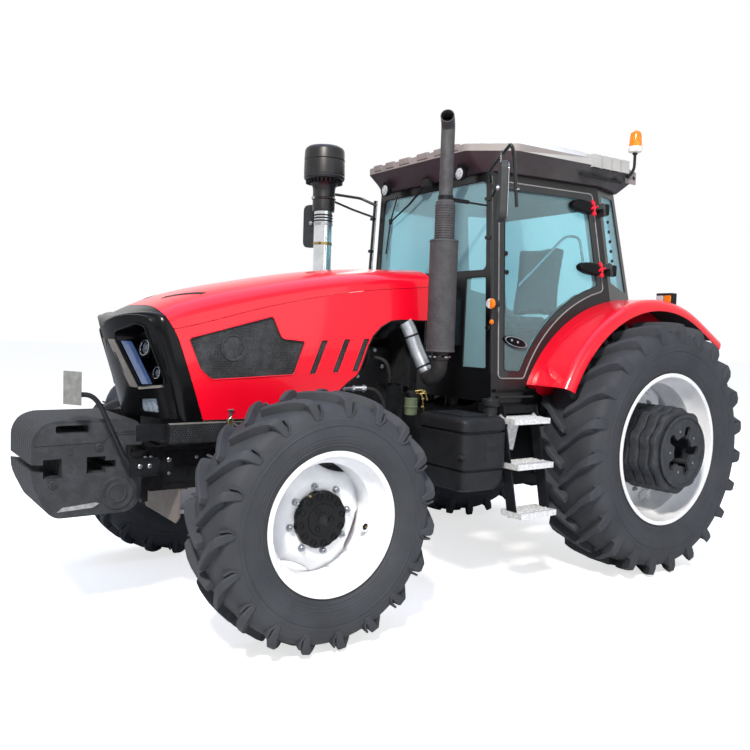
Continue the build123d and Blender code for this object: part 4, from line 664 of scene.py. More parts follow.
def makeTyre(name, body, node, flip, size):
    # Cross-ply drive tyre: turned carcass, two rows of slanted lugs half a pitch apart
    tyre = Piece(name)
    half, radius, core, rimR = size["width"] / 2, size["radius"], size["radius"] - size["lug"], size["rim"]
    bead = size["rimWidth"] / 2 - 0.0123
    bulge = (radius + rimR) / 2 - size["lug"] / 2
    low, mid = Vector((bead, rimR + 0.008)), Vector((half, bulge))
    top = Vector((half * 0.93, core - size["lug"]))
    # The sidewall's arc through its three points
    d = 2 * (low.x * (mid.y - top.y) + mid.x * (top.y - low.y) + top.x * (low.y - mid.y))
    a, b, c = low.length_squared, mid.length_squared, top.length_squared
    hub = Vector(((a * (mid.y - top.y) + b * (top.y - low.y) + c * (low.y - mid.y)) / d,
                  (a * (top.x - mid.x) + b * (low.x - top.x) + c * (mid.x - low.x)) / d))
    bow = (low - hub).length
    ridges = [(rimR + 0.03, 0.003, 0.005), (rimR + 0.046, 0.0018, 0.003), (rimR + 0.06, 0.0016, 0.003),
              (bulge + 0.006, 0.0036, 0.004), (bulge - 0.045, 0.0012, 0.002), (bulge + 0.03, 0.0012, 0.002)]
    heights = sorted({low.y + (top.y - low.y) * i / 14 for i in range(15)} |
                     {r + k * w for r, _, w in ridges for k in (-1, -0.3, 0.3, 1)})
    wall = []
    for r in heights:
        lift = max([h * max(0, 1 - max(0, abs(r - rr) / w - 0.3) / 0.7) for rr, h, w in ridges])
        wall.append((hub.x + sqrt(max(0, bow ** 2 - (r - hub.y) ** 2)) + lift, r))
    crown = [(half * 0.86, core - size["lug"] * 0.62), (half * 0.72, core - size["lug"] * 0.26),
             (half * 0.5, core - size["lug"] * 0.1), (half * 0.25, core - size["lug"] * 0.02), (0, core)]
    side = [(bead, rimR - 0.0177)] + wall + crown
    profile = side + [(-x, r) for x, r in reversed(side[:-1])]
    tyre.turned(profile, origin, xAxis, "treadRubber", 120, closed=True)

    for sign in (1, -1):
        lug = Piece("lug")
        verts = []
        for along, around, topW, footW, drop, lean, tall in size["stations"]:
            x, s, r = along * half, around * half, radius - drop
            out = Vector((sin(radians(lean)), cos(radians(lean))))
            topAt, footAt = Vector((x, r)), Vector((x, r)) - out * tall
            for place, spread in ((footAt, -footW), (topAt, -topW), (topAt, topW), (footAt, footW)):
                angle = (s + spread) / radius
                verts.append((sign * place.x, -place.y * sin(-angle), place.y * cos(angle)))
        halfPitch = 0 if sign > 0 else 180 / size["lugs"]
        lug.add(verts, barFaces(len(size["stations"])), "treadRubber", 0.0045, 1, sharp=38)
        tyre.joinRing(lug, "treadRubber", size["lugs"], (0, 0, 0), halfPitch)
        if size["pocketRib"]:
            rib = Piece("rib")
            verts = []
            for along, around, spread, drop, tall in size["pocketRib"]:
                for sunk, wide in ((tall, -1.3), (0, -1), (0, 1), (tall, 1.3)):
                    angle = (around * half + spread * wide) / radius
                    r = radius - drop - sunk * 0.35
                    x = along * half - sunk
                    verts.append((sign * x, r * sin(angle), r * cos(angle)))
            rib.add(verts, barFaces(len(size["pocketRib"])), "treadRubber", 0.002, 1, sharp=38)
            tyre.joinRing(rib, "treadRubber", size["lugs"], (0, 0, 0), halfPitch)
    tyre.moveBy(size["at"])
    tyre.done(body, [node], "tyre_rubber", flip)


# Stations of one lug: axial and round, as parts of the half width; half widths at the top and foot,
# drop below the tread radius, lean of the face from the tread to the sidewall, height
frontTyre = {"at": frontWheelAt, "width": 0.382, "radius": 0.64, "lug": 0.04, "rim": 0.3555, "rimWidth": 0.346,
             "lugs": 19, "stations": [(-0.05, -0.62, 0.014, 0.024, 0.003, 0, 0.046),
                                      (0.02, -0.56, 0.017, 0.027, 0.0, 0, 0.048),
                                      (0.28, -0.34, 0.019, 0.029, 0.0, 0, 0.048),
                                      (0.54, -0.1, 0.021, 0.031, 0.001, 0, 0.052),
                                      (0.76, 0.1, 0.023, 0.034, 0.007, 8, 0.056),
                                      (0.92, 0.22, 0.025, 0.036, 0.017, 30, 0.056),
                                      (1.0, 0.28, 0.024, 0.034, 0.04, 70, 0.046),
                                      (1.004, 0.32, 0.02, 0.03, 0.08, 90, 0.03),
                                      (1.006, 0.35, 0.016, 0.026, 0.118, 90, 0.018)],
             "pocketRib": [(0.99, 0.5, 0.006, 0.04, 0.04), (1.004, 0.53, 0.006, 0.08, 0.028),
                           (1.006, 0.42, 0.006, 0.118, 0.014)], }
rearTyre = {
    "at": rearWheelAt, "width": 0.488, "radius": 0.85, "lug": 0.048, "rim": 0.508, "rimWidth": 0.42, "lugs": 23,
    "stations": [(-0.06, -0.6, 0.016, 0.026, 0.004, 0, 0.052), (0.02, -0.53, 0.02, 0.03, 0.0, 0, 0.056),
                 (0.3, -0.31, 0.022, 0.032, 0.0, 0, 0.056), (0.58, -0.05, 0.023, 0.034, 0.001, 0, 0.06),
                 (0.78, 0.08, 0.025, 0.038, 0.004, 4, 0.064), (0.93, 0.16, 0.029, 0.043, 0.012, 14, 0.07),
                 (0.995, 0.21, 0.034, 0.048, 0.056, 72, 0.06), (1.0, 0.24, 0.036, 0.048, 0.1, 90, 0.034),
                 (1.0, 0.26, 0.034, 0.044, 0.14, 90, 0.018)],
    "pocketRib": None,
}
for side, flip in (("left", False), ("right", True)):
    makeTyre("frontTyre_" + side, "front_wheel_" + side, "front_tyre_" + side, flip, frontTyre)
    makeTyre("rearTyre_" + side, "rear_wheel_" + side, "rear_tyre_" + side, flip, rearTyre)
print("tyres")


# ---- Rims, hubs and wheel weights ----
def makeRim(piece, size):
    # Drop-centre barrel with rolled flanges, then a dished disc whose edge reaches the barrel in lobes
    half, r = size["width"] / 2, size["radius"]
    seat, drop, wall = r - 0.018, r - 0.06, 0.01
    outer = [(-half, r + 0.001), (-half + 0.006, r + 0.002), (-half + 0.012, r - 0.003), (-half + 0.013, seat),
             (-half * 0.62, seat - 0.008), (-half * 0.44, drop), (half * 0.44, drop),
             (half * 0.62, seat - 0.008), (half - 0.013, seat), (half - 0.012, r - 0.003),
             (half - 0.006, r + 0.002), (half, r + 0.001)]
    inner = [(half + 0.002, r - 0.006), (half - 0.002, seat - 0.006), (half * 0.9, seat - 0.011),
             (half * 0.6, seat - 0.02), (half * 0.4, drop - wall), (-half * 0.4, drop - wall),
             (-half * 0.6, seat - 0.02), (-half * 0.9, seat - 0.011), (-half + 0.002, seat - 0.006),
             (-half - 0.002, r - 0.006)]
    piece.turned(outer + inner, origin, xAxis, "silverRimPaint", 96, closed=True)
    reach = drop - wall

    def lobes(angle, along, radius):
        # Scallops bite into the outer part of the disc only
        share = max(0.0, (radius - size["dishR"]) / (reach - size["dishR"]))
        bite = max(0.0, cos(size["lobes"] * (angle + size["turn"]))) ** 0.7
        return -size["bite"] * bite * share ** 2
    disc = size["disc"]
    thick = 0.012
    profile = disc + [(x - thick, rr) for x, rr in reversed(disc)]
    piece.turned(profile, origin, xAxis, "silverRimPaint", 144, closed=True, wave=lobes)


def placeWheel(piece, at, body, name, slotName, flip):
    piece.moveBy(at)
    piece.done(body, [name], slotName, flip)


def makeFrontWheel(side, flip):
    size = {"width": 0.346, "radius": 0.3555, "dishR": 0.205, "lobes": 4, "turn": radians(22), "bite": 0.04,
            "disc": [(0.02, 0.112), (0.02, 0.18), (0.016, 0.196), (0.0, 0.222), (-0.024, 0.25), (-0.046, 0.272),
                     (-0.056, 0.2865)]}
    rim = Piece("frontRim_" + side)
    makeRim(rim, size)
    # Eight studs and nuts round the hub, and the valve in its pressed pocket
    nut = Piece("nut")
    nut.turned([(0.034, 0), (0.034, 0.006), (0.022, 0.0065), (0.022, 0.012), (0.019, 0.0145), (0.006, 0.0145),
                (0.006, 0.019), (0.0, 0.019)], (0.02, 0, 0.165), xAxis, "brightZinc", 12)
    rim.joinRing(nut, "brightZinc", 8, origin, 10)
    angle = radians(-104)
    spot = Vector((0.035, 0.262 * -sin(angle), 0.262 * cos(angle)))
    rim.turned([(-0.006, 0.018), (0.009, 0.018), (0.012, 0.0205), (0.006, 0.027), (-0.006, 0.03)],
               spot + Vector((0.02, 0, 0)), xAxis, "silverRimPaint", 20, closed=True)
    # A dark disc at the pocket's foot: painted shade of the valve hole
    rim.turned(rod(-0.006, 0.002, 0.019), spot + Vector((0.02, 0, 0)), xAxis, "sealRubber", 16)
    rim.tube([spot, spot + Vector((0.035, 0, 0))], 0.0045, "yellowZinc", 8)
    placeWheel(rim, frontWheelAt, "front_wheel_" + side, "front_rim_" + side, "rim_silver", flip)

    hub = Piece("frontHub_" + side)
    # Planetary drum: scalloped rim with deep bolts, a stepped cover and a bossed cap
    hub.turned([(-0.07, 0.046), (-0.07, 0.1), (0.018, 0.108), (0.0205, 0.109), (0.0205, 0.142), (0.026, 0.1445),
                (0.044, 0.1445), (0.052, 0.14), (0.055, 0.132), (0.055, 0.104), (0.057, 0.099), (0.057, 0.082),
                (0.0615, 0.079), (0.0625, 0.074), (0.0625, 0.04), (0.06, 0.037), (0.06, 0.0)], origin, xAxis,
               "glossCasting", 72, wave=lambda angle, along, radius: -0.004 * max(0, cos(12 * angle))
               if radius > 0.125 else 0)
    cup = Piece("cup")
    cup.turned([(0.0555, 0.0175), (0.0595, 0.016), (0.0595, 0.013), (0.0525, 0.0115), (0.0525, 0.0085),
                (0.056, 0.0075), (0.056, 0)], (0, 0, 0.118), xAxis, "glossCasting", 14)
    hub.joinRing(cup, "glossCasting", 12, origin, 8)
    boss = Piece("boss")
    boss.turned([(0.062, 0.017), (0.066, 0.0155), (0.066, 0.01), (0.063, 0.009), (0.063, 0)], (0, 0, 0.052),
                xAxis, "glossCasting", 16)
    hub.joinRing(boss, "glossCasting", 3, origin, 30)
    hub.turned([(0.06, 0.026), (0.0655, 0.024), (0.0655, 0.019), (0.063, 0.017), (0.063, 0.0)], origin, xAxis,
               "paintedCasting", 24)
    nip = Vector((0.046, -0.075, 0.123))
    hub.tube([nip, nip + Vector((0.018, 0, 0.002))], 0.006, "yellowZinc", 8)
    placeWheel(hub, frontWheelAt, "front_wheel_" + side, "front_hub_" + side, "black_paint", flip)


def makeRearWheel(side, flip):
    size = {"width": 0.42, "radius": 0.508, "dishR": 0.33, "lobes": 8, "turn": radians(10), "bite": 0.045,
            "disc": [(-0.07, 0.062), (-0.07, 0.27), (-0.074, 0.29), (-0.088, 0.33), (-0.1, 0.365),
                     (-0.104, 0.4), (-0.104, 0.4385)]}
    rim = Piece("rearRim_" + side)
    makeRim(rim, size)
    # Hub behind the disc
    rim.turned([(-0.215, 0.0485), (-0.215, 0.15), (-0.175, 0.15), (-0.165, 0.19), (-0.0875, 0.19),
                (-0.0875, 0.0485)], (0, 0, 0), xAxis, "paintedCasting", 48, closed=True)
    nut = Piece("nut")
    nut.turned([(0.03, 0), (0.03, 0.006), (0.02, 0.007), (0.02, 0.013), (0.006, 0.0155), (0.006, 0.02),
                (0, 0.02)], (-0.086, 0, 0.322), xAxis, "brightZinc", 12)
    rim.joinRing(nut, "brightZinc", 10, origin, 8)
    lug = Piece("clampPlate")
    lug.box((-0.094, 0, 0.405), (0.02, 0.07, 0.05), "silverRimPaint", 0.004)
    lug.turned([(0.012, 0), (0.012, 0.009), (0, 0.01)], (-0.085, 0, 0.402), xAxis, "brightZinc", 6)
    rim.joinRing(lug, "silverRimPaint", 8, origin, 22.5)
    placeWheel(rim, rearWheelAt, "rear_wheel_" + side, "rear_rim_" + side, "rim_silver", flip)

    weights = Piece("ringWeights_" + side)
    # Five cast rings: the edges roll in, and ten lobes make the joints wander
    thick = 0.078
    back = -0.0697
    face = back + 5 * thick - 0.0005

    def lobed(angle, along, radius):
        return (0.011 * cos(10 * angle) - 0.008) * (radius > 0.25)
    for i in range(5):
        x = back + i * thick
        end = x + thick - 0.0005 if i < 4 else face - 0.026
        edge = 0.288 if i < 4 else 0.284
        profile = [(x, 0.182), (x, edge - 0.022), (x + 0.006, edge - 0.007), (x + 0.016, edge),
                   (end - 0.015, edge), (end - 0.005, edge - 0.007), (end, edge - 0.022), (end, 0.182)]
        weights.turned(profile, origin, xAxis, "sandCastIron", 120, closed=True, wave=lobed)
    # The outer ring's raised face with its flower of an opening, the rim round it and the bolts in the petals
    flower = {"hub": 0.098, "petal": 0.034, "reach": 0.138, "turn": radians(18)}
    opening = []
    for k in range(120):
        angle = 2 * pi * k / 120
        off = (angle - flower["turn"] + pi / 5) % (2 * pi / 5) - pi / 5
        across = flower["petal"] ** 2 - (flower["reach"] * sin(off)) ** 2
        far = flower["reach"] * cos(off) + sqrt(across) if across > 0 else 0
        radius = max(flower["hub"], far)
        opening.append((radius * sin(angle), radius * cos(angle)))
    disc = [(0.24 * sin(2 * pi * k / 72), 0.24 * cos(2 * pi * k / 72)) for k in range(72)]
    cutPlate(disc, [opening], face - 0.027, face - 0.008, weights, "sandCastIron", 0)
    weights.turned([(face - 0.027, 0.24), (face - 0.004, 0.24), (face, 0.235), (face, 0.226),
                    (face - 0.008, 0.221), (face - 0.027, 0.221)], origin, xAxis, "sandCastIron", 72,
                   closed=True)
    stud = Piece("stud")
    stud.turned([(-0.2, 0), (-0.2, 0.017), (-0.006, 0.017), (-0.006, 0.009), (0.006, 0.008), (0.006, 0)],
                (face - 0.012, 0, 0.14), xAxis, "brightZinc", 12)
    weights.joinRing(stud, "brightZinc", 5, origin, 18)
    # A black plug fills the rings' bore at the back: painted shade behind the opening
    weights.turned(rod(back, back + 0.05, 0.181), origin, xAxis, "sealRubber", 40)
    placeWheel(weights, rearWheelAt, "rear_wheel_" + side, "wheel_weights_" + side, "cast_black", flip)


for side, flip in (("left", False), ("right", True)):
    makeFrontWheel(side, flip)
    makeRearWheel(side, flip)
print("rims, hubs and ring weights")


# ---- Hood and nose ----
# Stations of the hood: y, half width at the foot, half width at the seam, seam height, crown height
hoodStations = [
    (-2.06, 0.352, 0.372, 1.5, 1.572), (-1.72, 0.412, 0.42, 1.572, 1.738), (-1.24, 0.428, 0.436, 1.7, 1.856),
    (-0.74, 0.45, 0.452, 1.8, 1.942), (-0.172, 0.486, 0.47, 1.862, 1.982),
]


hoodFoot = 1.07


def eased(table, y):
    # Smooth values between the stations (Catmull-Rom on uneven steps)
    y = min(max(y, table[0][0]), table[-1][0])
    i = max(k for k in range(len(table) - 1) if table[k][0] <= y + 1e-9)
    a, b = table[i], table[i + 1]
    before, after = table[max(i - 1, 0)], table[min(i + 2, len(table) - 1)]
    t = (y - a[0]) / (b[0] - a[0])
    made = []
    for k in range(1, len(a)):
        m0 = (b[k] - before[k]) / (b[0] - before[0]) * (b[0] - a[0])
        m1 = (after[k] - a[k]) / (after[0] - a[0]) * (b[0] - a[0])
        made.append((2 * t ** 3 - 3 * t ** 2 + 1) * a[k] + (t ** 3 - 2 * t ** 2 + t) * m0
                    + (3 * t ** 2 - 2 * t ** 3) * b[k] + (t ** 3 - t ** 2) * m1)
    return made


def hoodAt(y, s):
    # A point of the hood's left half: s runs from the foot (0) over the seam (1) to the crown (2)
    low, seam, seamZ, topZ = eased(hoodStations, y)
    if s <= 1:
        z = hoodFoot + (seamZ - hoodFoot) * s
        belly = 0.01 * sin(pi * min(1.0, s))
        return Vector((low + (seam - low) * s ** 1.5 + belly, y, z))
    angle = (s - 1) * pi / 2
    p = 2 / 2.9
    return Vector(((seam - 0.004) * cos(angle) ** p if s < 2 else 0.0, y, seamZ + 0.003 + (topZ - seamZ - 0.003)
                   * sin(angle) ** p))


def hoodSide(y, z):
    # The same surface found from the side, below the seam
    seamZ = eased(hoodStations, y)[2]
    return hoodAt(y, (z - hoodFoot) / (seamZ - hoodFoot))


def noseY(x, z):
    # The raked nose face, bowed in plan
    k = (z - 0.9) / 1.2
    middle, corner = -1.861 - 0.326 * k, -1.711 - 0.297 * k
    return middle + (corner - middle) * min(1.0, abs(x) / 0.38) ** 2


def skinMesh(outline, holes, spacing, lift):
    # A fine sheet inside an outline, with holes, laid over a surface by lift(a, b)
    loops, extra = [], []
    for loop in [outline] + holes:
        dense = []
        for p, q in zip(loop, loop[1:] + loop[:1]):
            n = max(1, int(hypot(q[0] - p[0], q[1] - p[1]) / spacing))
            dense += [(p[0] + (q[0] - p[0]) * i / n, p[1] + (q[1] - p[1]) * i / n) for i in range(n)]
        loops.append(dense)
    xs, ys = [p[0] for p in outline], [p[1] for p in outline]
    edge = [Vector(p) for loop in loops for p in loop]
    row = 0
    b = min(ys) + spacing * 0.5
    while b < max(ys):
        a = min(xs) + spacing * (0.5 if row % 2 else 1.0)
        while a < max(xs):
            if inside(outline, a, b) and not any(inside(h, a, b) for h in holes):
                if all(abs(p.x - a) > spacing * 0.45 or abs(p.y - b) > spacing * 0.45 for p in edge):
                    extra.append((a, b))
            a += spacing
        b += spacing * 0.87
        row += 1
    verts, faces = flatFaces(loops, extra, outline, holes)
    return [lift(v.x, v.y) for v in verts], faces


def addSheet(piece, verts, faces, finishName, thick, outward):
    # Gives a sheet its wall: the second skin lies inward along the normals
    part = newPart(verts, faces)
    bmesh.ops.delete(part, geom=[v for v in part.verts if not v.link_faces], context="VERTS")
    bmesh.ops.recalc_face_normals(part, faces=part.faces)
    part.normal_update()
    total = sum((f.normal.dot(outward(f.calc_center_median())) * f.calc_area() for f in part.faces))
    if total < 0:
        bmesh.ops.reverse_faces(part, faces=part.faces)
        part.normal_update()
    skin = part.verts[:]
    inner = {v: part.verts.new(v.co - v.normal * thick) for v in skin}
    rim = [e for e in part.edges if len(e.link_faces) == 1]
    outer = part.faces[:]
    for e in rim:
        a, b = e.verts
        loop = e.link_loops[0]
        if loop.vert is not a:
            a, b = b, a
        part.faces.new((b, a, inner[a], inner[b]))
    for f in outer:
        part.faces.new([inner[v] for v in reversed(f.verts)])
    piece.join(asMesh(part, "sheet"), finishName)


redStart = [(hoodFoot, -1.633), (1.523, -1.782), (1.641, -1.851), (2.0, -1.96)]   # z, y of the cowl's edge


def cowlEdge(z):
    for (z1, y1), (z2, y2) in zip(redStart, redStart[1:]):
        if z <= z2:
            return y1 + (y2 - y1) * (z - z1) / (z2 - z1)
    return redStart[-1][1]


# Outlines seen from the side, as (y, z)
panelShape = softCorners([(-1.724, 1.508), (-1.247, 1.64), (-1.19, 1.518), (-1.046, 1.506), (-1.112, 1.317),
                          (-1.6, 1.292), (-1.662, 1.348)], 0.02, 3)
slotShapes = [softCorners([(y, z), (y + 0.042, z), (y - 0.033, z - 0.195), (y - 0.075, z - 0.195)], 0.005, 1)
              for y, z in ((-0.942, 1.515), (-0.793, 1.524), (-0.662, 1.53))]


def makeHoodSide(side):
    # The lower side panel: from the cowl to the cab, below the seam
    sign = 1 if side == "left" else -1
    hood = Piece("hoodSide_" + side)
    gap, footZ = 0.002, 1.074
    seam = [-0.172 - (1.794 - 0.172) * i / 24 for i in range(25)]
    seam = [(y, eased(hoodStations, y)[2] - 0.003) for y in seam]
    front = [(cowlEdge(z) + gap, z) for z in [1.545, 1.5, 1.4, 1.25, 1.1, footZ]]
    seam = [p for p in seam if p[0] > cowlEdge(p[1]) + gap]
    rise = [(-0.98, footZ), (-0.9, 1.145), (-0.76, 1.27), (-0.7, 1.312), (-0.678, 1.345), (-0.625, 1.49),
            (-0.596, 1.545), (-0.54, 1.6), (-0.47, 1.638), (-0.4, 1.647), (-0.172, 1.648)]
    outline = [(cowlEdge(seam[-1][1]) + gap, seam[-1][1])] + front + rise + seam
    verts, faces = skinMesh(outline, [panelShape] + slotShapes, 0.03, hoodSide)
    addSheet(hood, verts, faces, "redEnamel", 0.008, lambda c: Vector(xAxis))
    # Rolled lips round the panel and the slots, and along the arch
    for loop, thick in [(panelShape, 0.0035)] + [(s, 0.0025) for s in slotShapes]:
        dense = [hoodSide(y, z) + Vector((0.0005, 0, 0)) for y, z in loop]
        hood.tube(dense + [dense[0]], thick, "redEnamel", 6)
    lip = [hoodSide(y, z) for y, z in [(cowlEdge(1.076) + 0.004, 1.076)] + rise]
    hood.tube(lip, 0.0045, "satinBlackSteel", 6)
    hood.done("hood", ["hood_shell"], "red_paint", sign < 0)

    screen = Piece("hoodMesh_" + side)
    # Each mesh lies this far behind the skin
    panes = [(panelShape, 1.01, 0.022, 0.01)] + [(s, 1.02, 0.02, 0.007) for s in slotShapes]
    for shape, share, spacing, sunk in panes:
        behind = lambda y, z: hoodSide(y, z) - Vector((sunk, 0, 0))
        verts, faces = skinMesh(scaled(shape, share), [], spacing, behind)
        addSheet(screen, verts, faces, "perforatedSheet", 0.002, lambda c: Vector(xAxis))
    # The blank round medallion on the mesh
    spot = hoodSide(-1.474, 1.462) - Vector((0.01, 0, 0))
    screen.turned([(0.001, 0.073), (0.005, 0.071), (0.005, 0.064), (0.001, 0.06), (0.002, 0.05), (0.0025, 0.0)],
                  spot, (1, 0.05, 0.03), "meshPlastic", 40)
    screen.done("hood", ["hood_screens"], "mesh_black", sign < 0)


def makeHoodTop():
    # The crown between the seams, with a slit of painted shade at the front
    top = Piece("hoodCrown")
    verts = []
    stations = [-1.96 + (1.96 - 0.172) * i / 60 for i in range(61)]
    across = [1.0 + i / 20 for i in range(21)]
    across += [2 - (s - 1) + 1 for s in reversed(across[:-1])]
    for y in stations:
        for s in across:
            leftS = s if s <= 2 else 4 - s
            # Slide each row so that the first follows the cowl's edge
            start = -1.85
            for _ in range(5):
                start = cowlEdge(hoodAt(start, leftS).z)
            t = (y - stations[0]) / (stations[-1] - stations[0])
            p = hoodAt(start + 0.002 + (stations[-1] - start - 0.002) * t, leftS)
            verts.append(p if s <= 2 else Vector((-p.x, p.y, p.z)))
    addSheet(top, verts, bandFaces(len(stations) - 1, len(across), False), "redEnamel", 0.008,
             lambda c: Vector(zAxis))
    # Air slit behind the cowl: a near-black strip laid on the crown as painted shade of the opening
    for sign in (1, -1):
        loop = [(sign * (0.15 + 0.165 * t), -1.775 + 0.16 * t) for t in (0, 0.25, 0.5, 0.75, 1)]
        back = [(x - sign * 0.012, y + 0.03) for x, y in loop[::-1]]
        slit = []
        for x, y in loop + back:
            best = min((abs(hoodAt(y, 1 + i / 200).x - abs(x)), i) for i in range(201))[1]
            slit.append(Vector((x, y, hoodAt(y, 1 + best / 200).z + 0.0015)))
        n = len(slit)
        under = [p - Vector((0, 0, 0.004)) for p in slit]
        faces = [(i, i + 1, n - 2 - i, n - 1 - i) for i in range(n // 2 - 1)]
        faces += [tuple(n + v for v in reversed(f)) for f in faces]
        top.add(slit + under, faces + prismFaces(n)[2:], "sealRubber")
    # Hinge plates under the crown, at the rear
    for sign in (1, -1):
        place = facing((sign * 0.1427 - 0.006, 0, 0), yAxis, zAxis)
        top.slab([(-0.212, 1.925), (-0.205, 1.908), (-0.19, 1.901), (-0.172, 1.908), (-0.172, 1.97),
                  (-0.26, 1.97)], place, 0.012, "satinBlackSteel", 0.001)
    top.done("hood", ["hood_shell"], "red_paint")


# Moulded plastic of the blank medallion: dark grey with a fine grain
addFinishes({"meshPlastic": {"colour": "#2b2d30", "tone": "#3d4044", "patchMm": 30, "rough": 0.5, "grainMm": 3,
                             "relief": 0.2}})


def perforatedSheet():
    # Perforated steel painted black: 5 mm round holes at 8 mm centres, drawn as near-black dots of painted
    # shade with a bright lip
    look = {"colour": "#26282b", "tone": "#3a3d41", "patchMm": 70, "rough": 0.5}
    material = newFinish("perforatedSheet", look)
    tree = material.node_tree
    shader = next(n for n in tree.nodes if n.type == "BSDF_PRINCIPLED")
    place = addNode(tree, "ShaderNodeTexCoord").outputs["Object"]
    cells = addNode(tree, "ShaderNodeTexVoronoi", {"Scale": 1000 / 9.0, "Randomness": 0.35}, {"Vector": place})
    holes = addNode(tree, "ShaderNodeMapRange", {"From Min": 0.28, "From Max": 0.42},
                    {"Value": cells.outputs["Distance"]})
    before = shader.inputs["Base Color"].links[0].from_socket
    # The holes are painted shade: near-black dots mixed over the sheet's colour
    dark = addNode(tree, "ShaderNodeMix", {"data_type": "RGBA", 6: toLinear("#08090a")},
                   {0: holes.outputs[0], 7: before})
    tree.links.new(dark.outputs[2], shader.inputs["Base Color"])
    bump = addNode(tree, "ShaderNodeBump", {"Strength": 0.6, "Distance": 0.003}, {"Height": holes.outputs[0]})
    tree.links.new(bump.outputs[0], shader.inputs["Normal"])
    return material


finish["perforatedSheet"] = perforatedSheet()
for side in ("left", "right"):
    makeHoodSide(side)
makeHoodTop()


def makeCowl():
    # The black nose: sides and top follow the hood, roll over a soft edge and frame the lamps
    cowl = Piece("noseCowl")
    count = 28
    levels = [i / count * 2 for i in range(count + 1)]          # s from foot to crown

    def edgeOf(s):
        # Where the section's surface meets the nose face
        y = -1.9
        for _ in range(12):
            p = hoodAt(y, s)
            y = noseY(p.x, p.z)
        return y

    def column(s):
        front = edgeOf(s)
        corner = hoodAt(front, s)
        turn = 0.045 + 0.04 * max(0.0, s - 1)      # soft edge, larger over the crown
        back = -1.7
        for _ in range(6):
            back = cowlEdge(hoodAt(back, s).z)
        points = [hoodAt(back - 0.001 + (front + turn - back) * i / 6, s) for i in range(7)]
        # Roll from the side into the face
        inward = Vector((-corner.x, 0, (1.4 - corner.z) * 0.55)).normalized()
        at = hoodAt(front + turn, s)
        for i in range(1, 6):
            a = i / 5 * pi / 2
            p = at + Vector((0, -turn * sin(a), 0)) + inward * turn * (1 - cos(a)) * 0.8
            face = noseY(p.x, p.z)
            points.append(Vector((p.x, face if i == 5 else max(p.y, face), p.z)))
        return points

    columns = [column(s) for s in levels]
    verts = [p for c in columns for p in c]
    faces = bandFaces(count, len(columns[0]), False)
    faces += [tuple(len(verts) + i for i in reversed(f)) for f in faces]
    part = newPart(verts + [Vector((-v.x, v.y, v.z)) for v in verts], faces)
    bmesh.ops.remove_doubles(part, verts=part.verts, dist=1e-5)
    shell = asMesh(part, "shell")
    sheet = [v.co.copy() for v in shell.vertices]
    loops = [tuple(p.vertices) for p in shell.polygons]
    bpy.data.meshes.remove(shell)
    addSheet(cowl, sheet, loops, "glossBlackAbs", 0.008, lambda c: Vector((c.x, -0.5, c.z - 1.3)))

    # The face, with openings for the lamps; outlines as (x, z)
    outline = [(c[-1].x, c[-1].z) for c in columns]
    outline += [(-x, z) for x, z in reversed(outline[:-1])]
    eye = softCorners([(0.12, 1.498), (0.136, 1.531), (0.29, 1.578), (0.326, 1.562), (0.34, 1.44),
                       (0.362, 1.292), (0.355, 1.262), (0.215, 1.242)], 0.022, 3)
    low = softCorners([(0.186, 1.178), (0.298, 1.19), (0.294, 1.11), (0.174, 1.112)], 0.014, 3)
    holes = [eye, [(-x, z) for x, z in eye], low, [(-x, z) for x, z in low]]
    verts, faces = skinMesh(outline, holes, 0.024, lambda x, z: Vector((x, noseY(x, z), z)))
    addSheet(cowl, verts, faces, "glossBlackAbs", 0.008, lambda c: Vector((0, -1, 0)))

    def onNose(sign, loop, back, share=None):
        # A loop set back from the nose face, and scaled about its middle
        seen = scaled(loop, share) if share else loop
        return [Vector((sign * a, noseY(x, z) + back, b)) for (x, z), (a, b) in zip(loop, seen)]

    for sign in (1, -1):
        # Walls of the lamp recess: a tube of the opening's shape that runs back and narrows a little
        for loop, deep in ((eye, 0.13), (low, 0.045)):
            verts = onNose(sign, loop, -0.001) + onNose(sign, loop, deep, 0.94)
            verts += onNose(sign, loop, deep + 0.004, 0.98) + onNose(sign, loop, 0.004, 1.02)
            n = len(loop)
            faces = [tuple(i % (4 * n) for i in face) for face in bandFaces(4, n)]
            cowl.add(verts, faces, "glossBlackAbs")
    # Pale strips beside the lamps, the slits inside them, the shelf under each lamp pale as painted light, and
    # the brow's lip
    strip = [(0.026, 1.488), (0.108, 1.49), (0.146, 1.385), (0.203, 1.252), (0.196, 1.238), (0.143, 1.24)]
    # The slits: near-black strips laid proud of the face, painted shade of the gaps
    slit = [(0.006, 1.486), (0.02, 1.486), (0.137, 1.236), (0.123, 1.236)]
    shelf = [(0.212, 1.243), (0.352, 1.262), (0.346, 1.248), (0.214, 1.23)]
    for sign in (1, -1):
        for loop, finishName, proud in ((softCorners(strip, 0.01, 2), "greyWithPaintedLight", 0.003),
                                        (slit, "sealRubber", 0.002),
                                        (softCorners(shelf, 0.01, 2), "greyWithPaintedLight", 0.012)):
            outer = onNose(sign, loop, -proud)
            deep = [p + Vector((0, proud + 0.004, 0)) for p in outer]
            cowl.add(outer + deep, prismFaces(len(loop)), finishName)
        frameLoop = onNose(sign, eye, -0.003)
        cowl.tube(frameLoop + [frameLoop[0]], 0.006, "glossBlackAbs", 8)
    cowl.done("hood", ["nose_cowl"], "gloss_black")

    lamps = Piece("headLamps")
    for sign in (1, -1):
        plate = onNose(sign, eye, 0.125, 0.97)
        lamps.add(plate + [p + Vector((0, 0.006, 0)) for p in plate], prismFaces(len(eye)), "glossBlackAbs")
